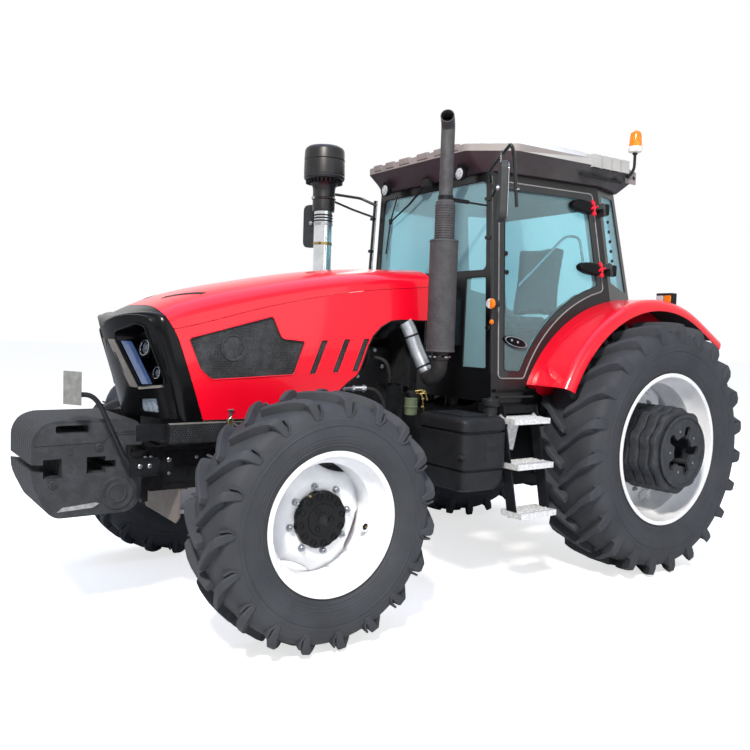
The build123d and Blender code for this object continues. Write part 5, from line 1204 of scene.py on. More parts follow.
        # Inner wall beside the centre strip: blue-grey as a painted reflection of the sky
        wall = [(0.146, 1.482, 0.008), (0.222, 1.258, 0.008), (0.226, 1.258, 0.06), (0.154, 1.482, 0.06)]
        skin = [Vector((sign * x, noseY(x, z) + d, z)) for x, z, d in wall]
        skin += [p - Vector((sign * 0.004, 0, 0)) for p in skin]
        lamps.add(skin, [(0, 1, 2, 3), (7, 6, 5, 4), (0, 4, 5, 1), (1, 5, 6, 2), (2, 6, 7, 3), (3, 7, 4, 0)],
                  "smokedWallPaintedSky")
        # Projector lamps: bezel, bowl and domed lens
        for x, z, r in ((0.25, 1.45, 0.042), (0.284, 1.32, 0.032)):
            spot = Vector((sign * x, noseY(x, z) + 0.052, z))
            face = Vector((sign * 0.25, -1, 0.18)).normalized()
            lamps.turned([(-0.075, 0.0), (-0.075, r * 0.8), (-0.02, r * 1.18), (0.006, r * 1.2),
                          (0.01, r * 1.12), (0.004, r * 1.02), (-0.02, r * 0.96)], spot, face, "glossBlackAbs",
                         32)
            lamps.turned([(-0.022, r * 0.97), (-0.012, r * 0.8), (-0.026, r * 0.5), (-0.032, 0.0)], spot, face,
                         "reflectorBowl", 32)
            lamps.turned([(-0.012, r * 1.0), (-0.004, r * 0.93), (0.004, r * 0.6), (0.007, 0.0)], spot, face,
                         "darkLens", 32)
            lamps.turned([(0.0065, r * 1.01), (0.0105, r * 0.99), (0.0105, r * 0.92), (0.0065, r * 0.9)], spot,
                         face, "reflectorBowl", 32, closed=True)
        # Lower work lamp: four squares behind a clear cover
        mx, mz = 0.2515, 1.1445
        for x, z in [(0.205 + 0.031 * i, 1.126 + 0.034 * k + 0.004 * i) for i in range(4) for k in range(2)]:
            spot = Vector((sign * x, noseY(x, z) + 0.026, z))
            lamps.box(spot, (0.026, 0.01, 0.029), "reflectorBowl", 0.003)
        cover = []
        for x, z in low:
            cover.append(Vector((sign * (mx + (x - mx) * 0.96), noseY(x, z) + 0.014, mz + (z - mz) * 0.95)))
        for near, far, finishName in ((0, 0.003, "clearCover"), (0.022, 0.026, "sealRubber")):
            verts = [p + Vector((0, step, 0)) for step in (near, far) for p in cover]
            lamps.add(verts, prismFaces(len(low)), finishName)
    lamps.done("hood", ["headlamps"], "lamp_lens")


addFinishes({
    # Moulded strips on the nose: warm mid grey, satin; on the shelves under the lamps and the side strip's top
    # rail the same grey is painted light on faces that look up
    "greyWithPaintedLight": {"colour": "#6b6966", "tone": "#787572", "patchMm": 60, "rough": 0.42, "grainMm": 3,
                    "relief": 0.03},
    # Domed projector glass: near black with a sharp highlight
    "darkLens": {"colour": "#141a22", "tone": "#2c3846", "patchMm": 25, "rough": 0.08, "specular": 0.6,
                 "coat": 0.5, "coatRough": 0.03},
    # Smoked acrylic inner wall, glossy; its blue-grey is a painted reflection of the sky
    "smokedWallPaintedSky": {"colour": "#2e4166", "tone": "#3c527c", "patchMm": 200, "rough": 0.12, "coat": 0.6,
                   "coatRough": 0.05},
})
# Clear polycarbonate cover of the work lamps
finish["clearCover"] = newGlass("clearCover", {"colour": "#dfe8f2", "tone": "#eaf1f8", "patchMm": 50,
                                               "alpha": 0.08})
makeCowl()
print("hood, cowl and lamps")


# ---- Ballast plates, carrier and marker ----
frontWeights = {"count": 11, "pitch": 0.048, "gap": 0.006, "front": -2.445, "rear": -1.905, "low": 0.596,
                "top": 1.086}


def plateOutline():
    # Side view of a plate as (y, z), from the lower rear corner
    f, r, lo, hi = (frontWeights[k] for k in ("front", "rear", "low", "top"))
    return softCorners([(r, lo + 0.06), (r - 0.06, lo), (f + 0.115, lo), (f + 0.07, lo + 0.035), (f, 0.78),
                        (f, hi - 0.09), (f + 0.035, hi - 0.028), (f + 0.1, hi), (r - 0.062, hi),
                        (r - 0.018, hi - 0.022), (r, hi - 0.062)], 0.05, 3)


def makeWeights():
    w = frontWeights
    f, r, hi = w["front"], w["rear"], w["top"]
    notch = [(f - 0.001, 0.842), (f - 0.001, 0.872), (f + 0.055, 0.868), (f + 0.055, 0.893), (f + 0.142, 0.893),
             (f + 0.142, 0.8), (f + 0.055, 0.8), (f + 0.055, 0.832)]
    window = [(-2.183, 0.895), (-2.09, 0.895), (-2.09, 0.872), (-2.038, 0.872), (-2.038, 0.835), (-2.09, 0.835),
              (-2.09, 0.812), (-2.183, 0.812)]
    handle = softCorners([(-0.078, -0.018), (0.078, -0.018), (0.078, 0.018), (-0.078, 0.018)], 0.014)
    slot = [(f + 0.19 + a, hi - 0.046 + b) for a, b in handle]
    hook = [(r + 0.001, 0.868), (r + 0.001, 0.944), (r - 0.083, 0.946), (r - 0.083, 0.866)]

    # The mouths open the outline at the front and the rear
    def opened(loop, cut):
        made = []
        for p, q in zip(loop, loop[1:] + loop[:1]):
            made.append(p)
            for side in (f, r):
                span = [c for c in cut if abs(c[0] - side) < 0.003]
                if span and abs(p[0] - side) < 1e-6 and abs(q[0] - side) < 1e-6:
                    down = q[1] < p[1]
                    ends = sorted(span, key=lambda c: c[1], reverse=down)
                    order = [c for c in cut if c not in span]
                    if (order[0][1] < order[-1][1]) == down:
                        order = order[::-1]
                    made += [(side, ends[0][1])] + order + [(side, ends[1][1])]
        return made

    shape = opened(opened(plateOutline(), notch), hook)
    weights = Piece("frontWeights")
    for i in range(w["count"]):
        x = (i - (w["count"] - 1) / 2) * w["pitch"]
        half = (w["pitch"] - w["gap"]) / 2
        cutPlate(shape, [window, slot], x - half, x + half, weights, "sandCastIron", 0.009)
    # The outer faces carry a raised band above a step, bosses, a blank disc and a blank panel
    face = (w["count"] * w["pitch"] - w["gap"]) / 2
    band = [(f + 0.012, 0.96), (f + 0.012, hi - 0.095), (f + 0.044, hi - 0.038), (f + 0.1, hi - 0.012),
            (r - 0.066, hi - 0.012), (r - 0.012, hi - 0.066), (r - 0.012, 1.0), (r - 0.16, 1.0),
            (r - 0.2, 0.965)]
    cutPlate(band, [slot], face - 0.002, face + 0.004, weights, "sandCastIron", 0.003)
    pad = softCorners([(r - 0.15, 1.058), (r - 0.04, 1.058), (r - 0.03, 1.046), (r - 0.03, 1.016),
                       (r - 0.15, 1.016)], 0.012)
    cutPlate(pad, [], face + 0.002, face + 0.0075, weights, "sandCastIron", 0.002)
    for y, z in ((-2.123, 0.944), (-2.344, 0.769)):
        weights.turned([(0.0, 0.022), (0.007, 0.02), (0.009, 0.017), (0.009, 0.01), (0.003, 0.009),
                        (0.003, 0.0)], (face, y, z), xAxis, "sandCastIron", 20)
        weights.turned([(0.003, 0.0085), (0.013, 0.0085), (0.014, 0.007), (0.014, 0.0)], (face, y, z), xAxis,
                       "sandCastIron", 6)
    for z in (0.925, 0.835):
        weights.box((face + 0.001, -2.262, z), (0.006, 0.02, 0.026), "sandCastIron", 0.002)
    weights.turned([(0.0, 0.086), (0.006, 0.082), (0.007, 0.074), (0.003, 0.066), (0.002, 0.055),
                    (0.005, 0.048), (0.0055, 0.044), (0.002, 0.04), (0.002, 0.0)], (face, -2.03, 0.7), xAxis,
                   "sandCastIron", 40)
    # A pale ridge low on the outer plate: painted highlight
    ridge = [(-2.325, 0.628), (-2.3, 0.65), (-2.14, 0.662), (-2.12, 0.655), (-2.15, 0.636)]
    cutPlate(ridge, [], face - 0.001, face + 0.004, weights, "paintedHighlightCast", 0.002)
    weights.done("chassis", ["front_weights"], "cast_black", smooth=40)

    # Bent rod with a square width board and its clamp on the support
    marker = Piece("widthMarker")
    x, foot, board = 0.35, (-1.905, 0.846), (-2.279, 1.253)
    marker.tube([(x, -1.87, foot[1] + 0.004), (x, -1.962, foot[1] + 0.004), (x, -2.02, 0.89),
                 (x, -2.148, 1.172), (x, -2.19, 1.218), (x, -2.272, 1.222)], 0.0125, "paintedCasting", 14, 0.06,
                6)
    marker.box((x, board[0], board[1]), (0.116, 0.005, 0.163), "brushedPlate", 0.0015, (0, 0, 30))
    marker.box((x - 0.02, -1.889, 0.846), (0.106, 0.006, 0.072), "satinBlackSteel", 0.002)
    marker.box((x - 0.012, -1.868, 0.846), (0.09, 0.04, 0.066), "satinBlackSteel", 0.003)
    marker.box((x - 0.01, -1.9, 0.884), (0.088, 0.052, 0.005), "satinBlackSteel", 0.0015)
    marker.box((0.377, -1.93, 0.844), (0.006, 0.154, 0.096), "satinBlackSteel", 0.002)
    marker.box((0.35, -1.858, 0.844), (0.06, 0.01, 0.08), "satinBlackSteel", 0.002)
    for y in (-1.886, -1.915):
        marker.turned([(0, 0.01), (0.007, 0.01), (0.009, 0.008), (0.009, 0)], (x, y, 0.887), zAxis,
                      "brightZinc", 6)
    for y in (-1.952, -1.902):
        marker.turned([(0, 0.012), (0.004, 0.012), (0.006, 0.009), (0.0095, 0.009), (0.01, 0.007), (0.01, 0)],
                      (0.38, y, 0.85), xAxis, "brightZinc", 12)
    marker.done("chassis", ["marker"], "black_paint")

    # Carrier and front support, with the bolts that show at the side
    frontEnd = Piece("frontFrameBolts")
    for y, z, r in ((-1.772, 0.862, 0.017), (-1.772, 0.79, 0.012), (-1.62, 0.868, 0.013), (-1.5, 0.868, 0.013),
                    (-1.38, 0.868, 0.013), (-1.24, 0.868, 0.013), (-1.1, 0.868, 0.013)):
        frontEnd.turned([(0, r), (0.004, r), (0.005, r * 0.75), (0.014, r * 0.75), (0.016, r * 0.6),
                         (0.016, 0)], (0.2952, y, z), xAxis, "brightZinc", 12)
    frontEnd.box((0.298, -1.735, 0.82), (0.006, 0.13, 0.17), "satinBlackSteel", 0.002)
    frontEnd.box((0.299, -1.5, 0.868), (0.007, 0.42, 0.055), "satinBlackSteel", 0.002)
    frontEnd.reflect()
    frontEnd.done("chassis", [], "cast_black")


def makeSideStrip():
    # Strip of honeycomb below the hood: cells 10 mm across flats at 13 mm pitch in a thin frame
    strip = {"x": 0.416, "y0": -1.824, "y1": -0.976, "z0": 0.957, "z1": 1.069, "cell": 0.0062, "pitch": 0.0135}
    x, y0, y1, z0, z1, half, pitch = strip.values()
    piece = Piece("sideStrips")
    wide, high = y1 - y0, z1 - z0
    midY, midZ = (y0 + y1) / 2, (z0 + z1) / 2
    piece.box((x, midY, midZ), (0.004, wide, high), "sealRubber", 0.001)
    # Frame rails: the top one pale grey as painted light, the lower one and the ends black
    for z in (z0 + 0.004, z1 - 0.004):
        piece.box((x + 0.001, midY, z), (0.01, wide, 0.009), "greyWithPaintedLight" if z > midZ else "satinBlackSteel",
                  0.0025)
    for y in (y0 + 0.004, y1 - 0.004):
        piece.box((x + 0.001, y, midZ), (0.01, 0.009, high), "satinBlackSteel", 0.0025)
    cell = Piece("cell")
    n = 6
    rings = [(0.0, half + 0.0012), (0.0035, half + 0.0006), (0.0035, half - 0.0008), (0.0002, half - 0.0012)]
    verts = [(along, r * sin(2 * pi * i / n), r * cos(2 * pi * i / n)) for along, r in rings for i in range(n)]
    cell.add(verts, bandFaces(3, n), "combPlastic")
    rise = pitch * 0.86
    across, down = int((wide - 0.016) / pitch), int((high - 0.016) / rise)
    first = (x + 0.002, y0 + 0.013, z0 + 0.015)
    piece.joinRows(cell, "combPlastic", first, (0, pitch, 0), across, (0, 0, rise), down, (0, pitch / 2, 0))
    # Plain plate that closes the strip at the front corner
    piece.box((0.392, -1.9, 1.022), (0.005, 0.16, 0.084), "satinBlackSteel", 0.002)
    piece.box((0.403, -1.826, 1.022), (0.026, 0.006, 0.084), "satinBlackSteel", 0.002)
    for y in (-1.65, -1.15):
        piece.box((0.3535, y, 1.0), (0.117, 0.038, 0.018), "satinBlackSteel", 0.002)
        piece.box((0.3033, y, 0.95), (0.015, 0.038, 0.118), "satinBlackSteel", 0.002)
    # Over-centre latch: strike on the hood's edge, loop and body on the strip
    piece.box((0.428, -1.485, 1.06), (0.01, 0.04, 0.05), "yellowZinc", 0.002)
    piece.box((0.435, -1.485, 1.004), (0.018, 0.036, 0.072), "yellowZinc", 0.004)
    piece.box((0.443, -1.485, 0.98), (0.012, 0.048, 0.018), "yellowZinc", 0.003)
    piece.tube([(0.436, -1.497, 1.03), (0.438, -1.5, 1.075), (0.437, -1.485, 1.092), (0.438, -1.47, 1.075),
                (0.436, -1.473, 1.03)], 0.0028, "brightZinc", 8)
    piece.reflect()
    piece.done("chassis", ["side_screens"], "black_paint")
    # The strike rides on the hood
    strike = Piece("latchStrikes")
    strike.box((0.428, -1.485, 1.112), (0.012, 0.018, 0.036), "brightZinc", 0.003)
    strike.box((0.436, -1.485, 1.13), (0.012, 0.034, 0.01), "brightZinc", 0.003)
    strike.reflect()
    strike.done("hood", [], "black_paint")


addFinishes({
    # Painted highlight on a casting: a pale patch of brighter iron
    "paintedHighlightCast": {"colour": "#8b8d90", "tone": "#a7a9ab", "patchMm": 20, "rough": 0.5, "metal": 0.4,
                   "grainMm": 3, "relief": 0.2},
    # Width board: bare aluminium sheet, brushed
    "brushedPlate": {"colour": "#8d8e8c", "tone": "#a3a4a1", "patchMm": 40, "rough": 0.38, "metal": 0.7,
                     "grainMm": 2, "relief": 0.06},
    # Honeycomb: dark grey plastic with a soft gloss on the cell walls
    "combPlastic": {"colour": "#303236", "tone": "#44474c", "patchMm": 60, "rough": 0.4, "grainMm": 3,
                    "relief": 0.05},
})
makeWeights()
makeSideStrip()
print("weights, marker and side strips")


# ---- Shapes taken over from the frame, with a finish for each face ----
def takeShape(piece, name, pick):
    # Adds a node's own mesh to a piece; pick(centre, normal) names the finish of each face
    first = len(piece.mesh.faces)
    piece.mesh.from_mesh(nodes[name].data)
    piece.mesh.faces.ensure_lookup_table()
    for face in piece.mesh.faces[first:]:
        finishName = pick(face.calc_center_median(), face.normal)
        if finishName not in piece.finishes:
            piece.finishes.append(finishName)
        face.material_index = piece.finishes.index(finishName)


def outerLoops(name, direction, closeness=0.975, side=1):
    # Closed edge loops of the faces of a node that look one way, longest first
    part = bmesh.new()
    part.from_mesh(nodes[name].data)
    bmesh.ops.remove_doubles(part, verts=part.verts, dist=1e-5)
    direction = Vector(direction).normalized()
    looking = {f for f in part.faces if f.normal.dot(direction) > closeness
               and (not side or f.calc_center_median().x * side > 0)}
    after = {}
    for face in looking:
        for loop in face.loops:
            if not any(other in looking for other in loop.edge.link_faces if other is not face):
                after.setdefault(loop.vert.index, (loop.link_loop_next.vert.index, loop.vert.co.copy()))
    found = []
    while after:
        start = next(iter(after))
        chain, now = [], start
        while now in after:
            now, spot = after.pop(now)
            chain.append(spot)
        if len(chain) > 2 and now == start:
            found.append(chain)
    part.free()
    return sorted(found, key=lambda c: -sum((a - b).length for a, b in zip(c, c[1:])))


def sealAlong(piece, loop, radius, out, finishName="sealGrey"):
    spots = [p + Vector(out) for p in loop]
    piece.tube(spots + [spots[0]], radius, finishName, 8)


def doorX(y, z):
    # The cab wall's skin on the left, at a place in the door
    return 0.68 + 0.1213 * (y - 0.165) - 0.0622 * (z - 1.29)


addFinishes({
    # Black ceramic band printed round the glass, seen through its surface
    "fritBand": {"colour": "#131719", "tone": "#1b2023", "patchMm": 200, "rough": 0.14, "specular": 0.45,
                 "coat": 0.3, "coatRough": 0.04},
    # Grey extruded rubber seal
    "sealGrey": {"colour": "#7f7f80", "tone": "#8c8c8d", "patchMm": 40, "rough": 0.55, "grainMm": 2,
                 "relief": 0.08},
    # Roof fascia in warm grey ABS, darker than the crown
    "fasciaAbs": {"colour": "#85807f", "tone": "#918c8a", "patchMm": 200, "rough": 0.5, "grainMm": 2.5,
                  "relief": 0.06},
    # The same fascia below the side edge, on faces that look down: dark grey as painted shade
    "fasciaPaintedShade": {"colour": "#3b3a3b", "tone": "#464546", "patchMm": 200, "rough": 0.5, "grainMm": 2.5,
                   "relief": 0.06},
    # Lamp glass over facets: cool white
    "whiteLens": {"colour": "#e3e6ea", "tone": "#aab4bf", "patchMm": 9, "rough": 0.08, "clear": 0.2,
                  "ior": 1.5, "metal": 0.1},
    # Inside of the fender: brown-grey, coarse
    "fenderInnerBrown": {"colour": "#2a2321", "tone": "#3a322e", "patchMm": 50, "rough": 0.85, "grainMm": 4,
                  "relief": 0.5},
})


def makeRoof():
    roof = Piece("cabRoof")

    def pick(centre, normal):
        if normal.z < -0.12:
            # Faces that look down: the visor at the front and underneath, elsewhere the fascia darkened as
            # painted shade
            return "visorAbs" if normal.y < -0.45 or normal.z < -0.9 else "fasciaPaintedShade"
        if abs(normal.z) < 0.62 and centre.z < 2.765 and abs(centre.y - 1.1) > 0.42:
            return "fasciaAbs"
        return "roofAbs"

    takeShape(roof, "cab_roof", pick)
    # Stepped edge over the windshield: raised teeth along the rim
    for side in (1, -1):
        for x, wide in ((0.1, 0.115), (0.27, 0.095), (0.42, 0.085)):
            roof.box((side * x, 0.018, 2.752), (wide, 0.026, 0.04), "fasciaAbs", 0.007, (8, 0, 0))
        # Dark air intake under the rear corner and the rail with two holes behind the ribs
        roof.box((side * 0.735, 1.02, 2.664), (0.1, 0.4, 0.018), "sealRubber", 0.004, (0, 24 * side, 0))
        roof.box((side * 0.752, 1.345, 2.7), (0.01, 0.115, 0.085), "fasciaAbs", 0.003)
        for dy in (-0.03, 0.03):
            roof.turned([(0, 0.013), (0.0035, 0.012), (0.0035, 0.008), (0.001, 0.0)],
                        (side * 0.757, 1.345 + dy, 2.7), (side, 0, 0), "sealRubber", 20)
    roof.done("chassis", ["cab_roof"], "roof_grey", smooth=30)

    lamps = Piece("roofWorkLamps")
    for side in (1, -1):
        spot = Vector((side * 0.41, 0.0565, 2.6))
        lamps.turned([(0.046, 0.0), (0.046, 0.02), (0.034, 0.034), (0.01, 0.043), (-0.006, 0.045),
                      (-0.01, 0.043), (-0.01, 0.039), (-0.003, 0.037)], spot + Vector((0, 0.022, 0)), yAxis,
                     "satinBlackSteel", 32)
        lamps.turned([(0.014, 0.0385), (0.019, 0.03), (0.0215, 0.015), (0.022, 0.0)],
                     spot + Vector((0, 0.032, 0)), (0, -1, 0), "whiteLens", 32)
        for a in range(6):
            angle = a * pi / 3
            lamps.box(spot + Vector((0.021 * cos(angle), 0.0105, 0.021 * sin(angle))), (0.013, 0.004, 0.013),
                      "reflectorBowl", 0.003)
        lamps.box(spot + Vector((0, 0.036, 0.058)), (0.016, 0.022, 0.045), "satinBlackSteel", 0.003)
        for dx in (-0.026, 0.026):
            lamps.box(spot + Vector((dx, 0.036, 0.03)), (0.005, 0.026, 0.06), "satinBlackSteel", 0.002)
    lamps.done("chassis", ["roof_lamps"], "lamp_clear")

    beacon = Piece("warningBeacon")
    foot = Vector((0.776, 1.352, 2.872))
    beacon.turned([(-0.002, 0.0), (-0.002, 0.03), (0.004, 0.044), (0.014, 0.047), (0.034, 0.047),
                   (0.038, 0.044), (0.038, 0.0)], foot, zAxis, "whitePlastic", 36)
    beacon.turned([(0.038, 0.0), (0.038, 0.0435), (0.05, 0.0435), (0.11, 0.0395), (0.134, 0.034), (0.146, 0.02),
                   (0.149, 0.0)], foot, zAxis, "amberAcrylic", 36, wave=lambda a, along, r: 0.0007 * cos(a * 24)
                  if 0.045 < along < 0.12 else 0)
    beacon.turned([(0.0, 0.01), (-0.006, 0.018), (-0.014, 0.016), (-0.02, 0.01)], foot, zAxis, "sealRubber", 24)
    beacon.tube([foot, foot - Vector((0, 0, 0.115)), foot - Vector((0.002, 0.045, 0.165)),
                 foot - Vector((0.02, 0.062, 0.172))], 0.01, "satinBlackSteel", 14, 0.045, 6)
    beacon.done("chassis", ["beacon"], "amber")


def makeCab():
    cab = Piece("cabBody")
    takeShape(cab, "cab_frame", lambda c, n: "cabTrim" if abs(c.x) < 0.56 and 0.2 < c.y < 1.55 and c.z > 1.2
              else "cabBlack")
    # Bright strips up the front posts, and their black outer tube
    for side in (1, -1):
        top, low = Vector((side * 0.624, 0.158, 2.56)), Vector((side * 0.703, 0.14, 1.33))
        cab.tube([low, top], 0.0055, "brightTrim", 8)
        cab.tube([low + Vector((side * 0.014, -0.008, 0)), top + Vector((side * 0.014, -0.008, 0))], 0.01,
                 "cabBlack", 10)
        # Handrail brackets and a grab bar stub at the front post
        for z in (1.62, 2.18, 2.42):
            x = side * (0.7 - 0.0622 * (z - 1.29))
            cab.box((x, 0.128, z), (0.034, 0.03, 0.022), "cabBlack", 0.004)
        # Perforated post between the hinges
        for i in range(5):
            z = 2.11 + i * 0.066
            y = 1.205 - 0.148 * (z - 2.0)
            cab.turned([(0, 0.012), (0.003, 0.011), (0.0035, 0.006), (0.0008, 0.0)],
                       (side * (doorX(y, z) + 0.001), y, z), (side, -0.12, 0.06), "sealRubber", 16)
        # Rear half of the hinge covers, on the post
        for y, z in ((1.075, 2.45), (1.14, 2.04)):
            cab.box((side * (doorX(y, z) + 0.026), y + 0.022, z), (0.046, 0.06, 0.08), "glossBlackAbs", 0.016,
                    (0, 0, -7 * side))
        # Sill step strip under the door
        cab.box((side * 0.706, 0.36, 1.225), (0.02, 0.36, 0.02), "cabBlack", 0.004)
        cab.box((side * 0.712, 0.36, 1.185), (0.016, 0.3, 0.012), "cabTrim", 0.003)
    cab.done("chassis", ["cab_frame"], "black_paint", smooth=30)

    for side, sign in (("left", 1), ("right", -1)):
        door = Piece("door_" + side + "_dressed")
        takeShape(door, "door_" + side, lambda c, n: "fritBand")
        normal = Vector((sign * 1.0, -0.1213, 0.0622)).normalized()
        loops = outerLoops("door_" + side, normal, 0.985, sign)
        if loops:
            sealAlong(door, loops[0], 0.0045, normal * 0.0015)
        if len(loops) > 1:
            sealAlong(door, loops[1], 0.003, normal * 0.0005, "sealRubber")
        at = lambda y, z, out: Vector((sign * (doorX(y, z) + out), y, z))
        # Clamshell hinge covers with their red clips
        for y, z, tilt in ((0.925, 2.45, -3), (0.99, 2.04, -4)):
            shell = softCorners([(-0.14, 0.006), (-0.105, 0.036), (-0.02, 0.046), (0.075, 0.04), (0.1, 0.02),
                                 (0.1, -0.026), (0.04, -0.044), (-0.07, -0.04), (-0.13, -0.02)], 0.03, 3)
            ahead = Vector((-normal.y, sign * normal.x, radians(tilt)))
            if sign < 0:
                ahead = (0.1213, 1, radians(tilt))
            place = facing(at(y, z, 0.004), ahead, zAxis)
            depth = 0.046 * (1 if place.to_3x3().col[2].dot(normal) > 0 else -1)
            door.slab(shell, place, depth, "glossBlackAbs", 0.012, 3, 0.9)
            for dy, dz in ((0.045, 0.034), (0.05, 0.002), (0.055, -0.034)):
                door.box(at(y + dy, z + dz - 0.004, 0.044), (0.018, 0.034, 0.022), "redClip", 0.003)
            door.tube([at(y + 0.046, z + 0.052, 0.04), at(y + 0.052, z, 0.056), at(y + 0.058, z - 0.052, 0.04)],
                      0.008, "redClip", 8, 0.03)
            door.tube([at(y + 0.02, z - 0.01, 0.054), at(y + 0.085, z + 0.012, 0.05)], 0.0065, "redClip", 8)
        # Handle: an oval escutcheon with its paddle
        oval = [(0.1 * cos(a), 0.034 * sin(a)) for a in [2 * pi * i / 28 for i in range(28)]]
        place = facing(at(0.352, 1.535, 0.001), (0.1213 * sign, 1, -0.24), zAxis)
        outward = 1 if place.to_3x3().col[2].dot(normal) > 0 else -1
        door.slab(oval, place, 0.012 * outward, "glossBlackAbs", 0.004, 2, 0.92)
        door.tube([place @ Vector((x * 0.86, y * 0.8, 0.013 * outward)) for x, y in oval + oval[:1]], 0.0032,
                  "brightTrim", 6)
        door.slab([(x * 0.7, y * 0.52) for x, y in oval], place @ Matrix.Translation((0, 0, 0.012 * outward)),
                  0.014 * outward, "glossBlackAbs", 0.004)
        for dx in (-0.045, 0.005):
            door.turned([(0, 0.008), (0.004, 0.007), (0.005, 0.0)], place @ Vector((dx, 0, 0.026 * outward)),
                        normal, "brightZinc", 12)
        # Studs of the inner check strap, and the bar across the pane
        for y, z in ((0.294, 2.096), (0.301, 1.977)):
            door.turned([(0, 0.016), (0.006, 0.015), (0.008, 0.009), (0.009, 0.0)], at(y, z, -0.012), normal,
                        "sealRubber", 20)
        door.tube([at(0.47, 1.9, -0.1), at(0.86, 2.262, -0.085), at(0.985, 2.265, -0.085),
                   at(1.02, 2.1, -0.09)], 0.009, "brightTrim", 12, 0.05)
        door.done("door_" + side, ["door_" + side], "black_paint", smooth=32)

    # Rear wall, leaning forwards: pressed cover with bolts, grommets and the remote couplers
    rear = Piece("rearWallParts")
    lean, wallAxis = 13.7, (0, 0.971, 0.237)

    def onWall(x, z, out=0.0):
        return Vector((x, 1.695 - 0.2435 * (z - 1.15), z)) + out * Vector(wallAxis)
    rear.box(onWall(0, 1.43, 0.004), (0.66, 0.014, 0.33), "cabBlack", 0.006, (lean, 0, 0))
    for z in (1.35, 1.43, 1.51):
        rear.box(onWall(0, z, 0.012), (0.46, 0.01, 0.022), "cabBlack", 0.004, (lean, 0, 0))
    for x in (-0.3, 0.0, 0.3):
        for z in (1.292, 1.568):
            rear.turned([(0, 0.011), (0.004, 0.011), (0.005, 0.008), (0.01, 0.008), (0.01, 0)],
                        onWall(x, z, 0.01), wallAxis, "brightZinc", 6)
    for side in (1, -1):
        rear.turned([(0, 0.034), (0.008, 0.032), (0.014, 0.022), (0.014, 0.014), (0.006, 0.012), (0.006, 0)],
                    onWall(side * 0.42, 1.235), wallAxis, "sealRubber", 24)
        rear.box(onWall(side * 0.525, 1.235, 0.022), (0.13, 0.046, 0.12), "paintedCasting", 0.005, (lean, 0, 0))
        for dx in (-0.032, 0.032):
            for dz in (-0.03, 0.03):
                spot = onWall(side * 0.525 + dx, 1.235 + dz, 0.044)
                rear.turned([(0, 0.019), (0.01, 0.019), (0.012, 0.016), (0.03, 0.016), (0.032, 0.014),
                             (0.032, 0)], spot, wallAxis, "brightZinc", 20)
                rear.turned([(0.031, 0), (0.031, 0.018), (0.046, 0.017), (0.05, 0.012), (0.05, 0)], spot,
                            wallAxis, "redClip" if dx * side > 0 else "sealRubber", 20)
    rear.done("chassis", [], "black_paint")

    # Small panes' seals, wiper and the side indicators
    trim = Piece("cabTrimParts")
    for name, direction in (("windshield", (0, -1, 0)), ("cab_glass", (0, -1, 0))):
        for loop in outerLoops(name, direction, 0.9, 0)[:4]:
            sealAlong(trim, loop, 0.004, (0, -0.002, 0), "sealRubber")
    trim.box((0.01, 0.128, 2.6), (0.07, 0.05, 0.055), "sealRubber", 0.01)
    for dx in (0.0, 0.022):
        trim.tube([(0.0 + dx, 0.12, 2.59), (-0.2 + dx * 0.6, 0.136, 2.48), (-0.418 + dx * 0.2, 0.142, 2.381)],
                  0.0045, "satinBlackSteel", 8)
    trim.tube([(-0.349, 0.146, 2.56), (-0.418, 0.14, 2.381), (-0.47, 0.146, 2.15)], 0.0055, "sealRubber", 8,
              0.05)
    trim.box((-0.415, 0.138, 2.381), (0.03, 0.012, 0.04), "satinBlackSteel", 0.003)
    for side in (1, -1):
        spot = Vector((side * 0.722, 0.122, 1.768))
        trim.turned([(-0.03, 0.0), (-0.03, 0.026), (0.0, 0.036), (0.01, 0.037), (0.012, 0.034), (0.012, 0.0)],
                    spot, (0, -1, 0), "sealRubber", 28)
        half = [(0.034 * cos(a), 0.034 * sin(a)) for a in [-pi / 2 + pi * i / 14 for i in range(15)]]
        place = facing(spot + Vector((0, -0.012, 0)), (side, 0, 0), zAxis)
        out = -0.024 if place.to_3x3().col[2].y > 0 else 0.024
        trim.slab(half, place, out, "amberAcrylic", 0.007, 3, 0.86)
        trim.slab([(-x, y) for x, y in half], place, out, "whiteLens", 0.007, 3, 0.86)
        trim.box(spot + Vector((-side * 0.022, 0.028, 0)), (0.024, 0.02, 0.02), "sealRubber", 0.004)
        trim.turned([(0, 0.016), (0.008, 0.015), (0.013, 0.008), (0.014, 0)], (side * 0.708, 0.128, 1.655),
                    (0, -1, 0), "amberAcrylic", 20)
    trim.done("chassis", [], "black_paint")

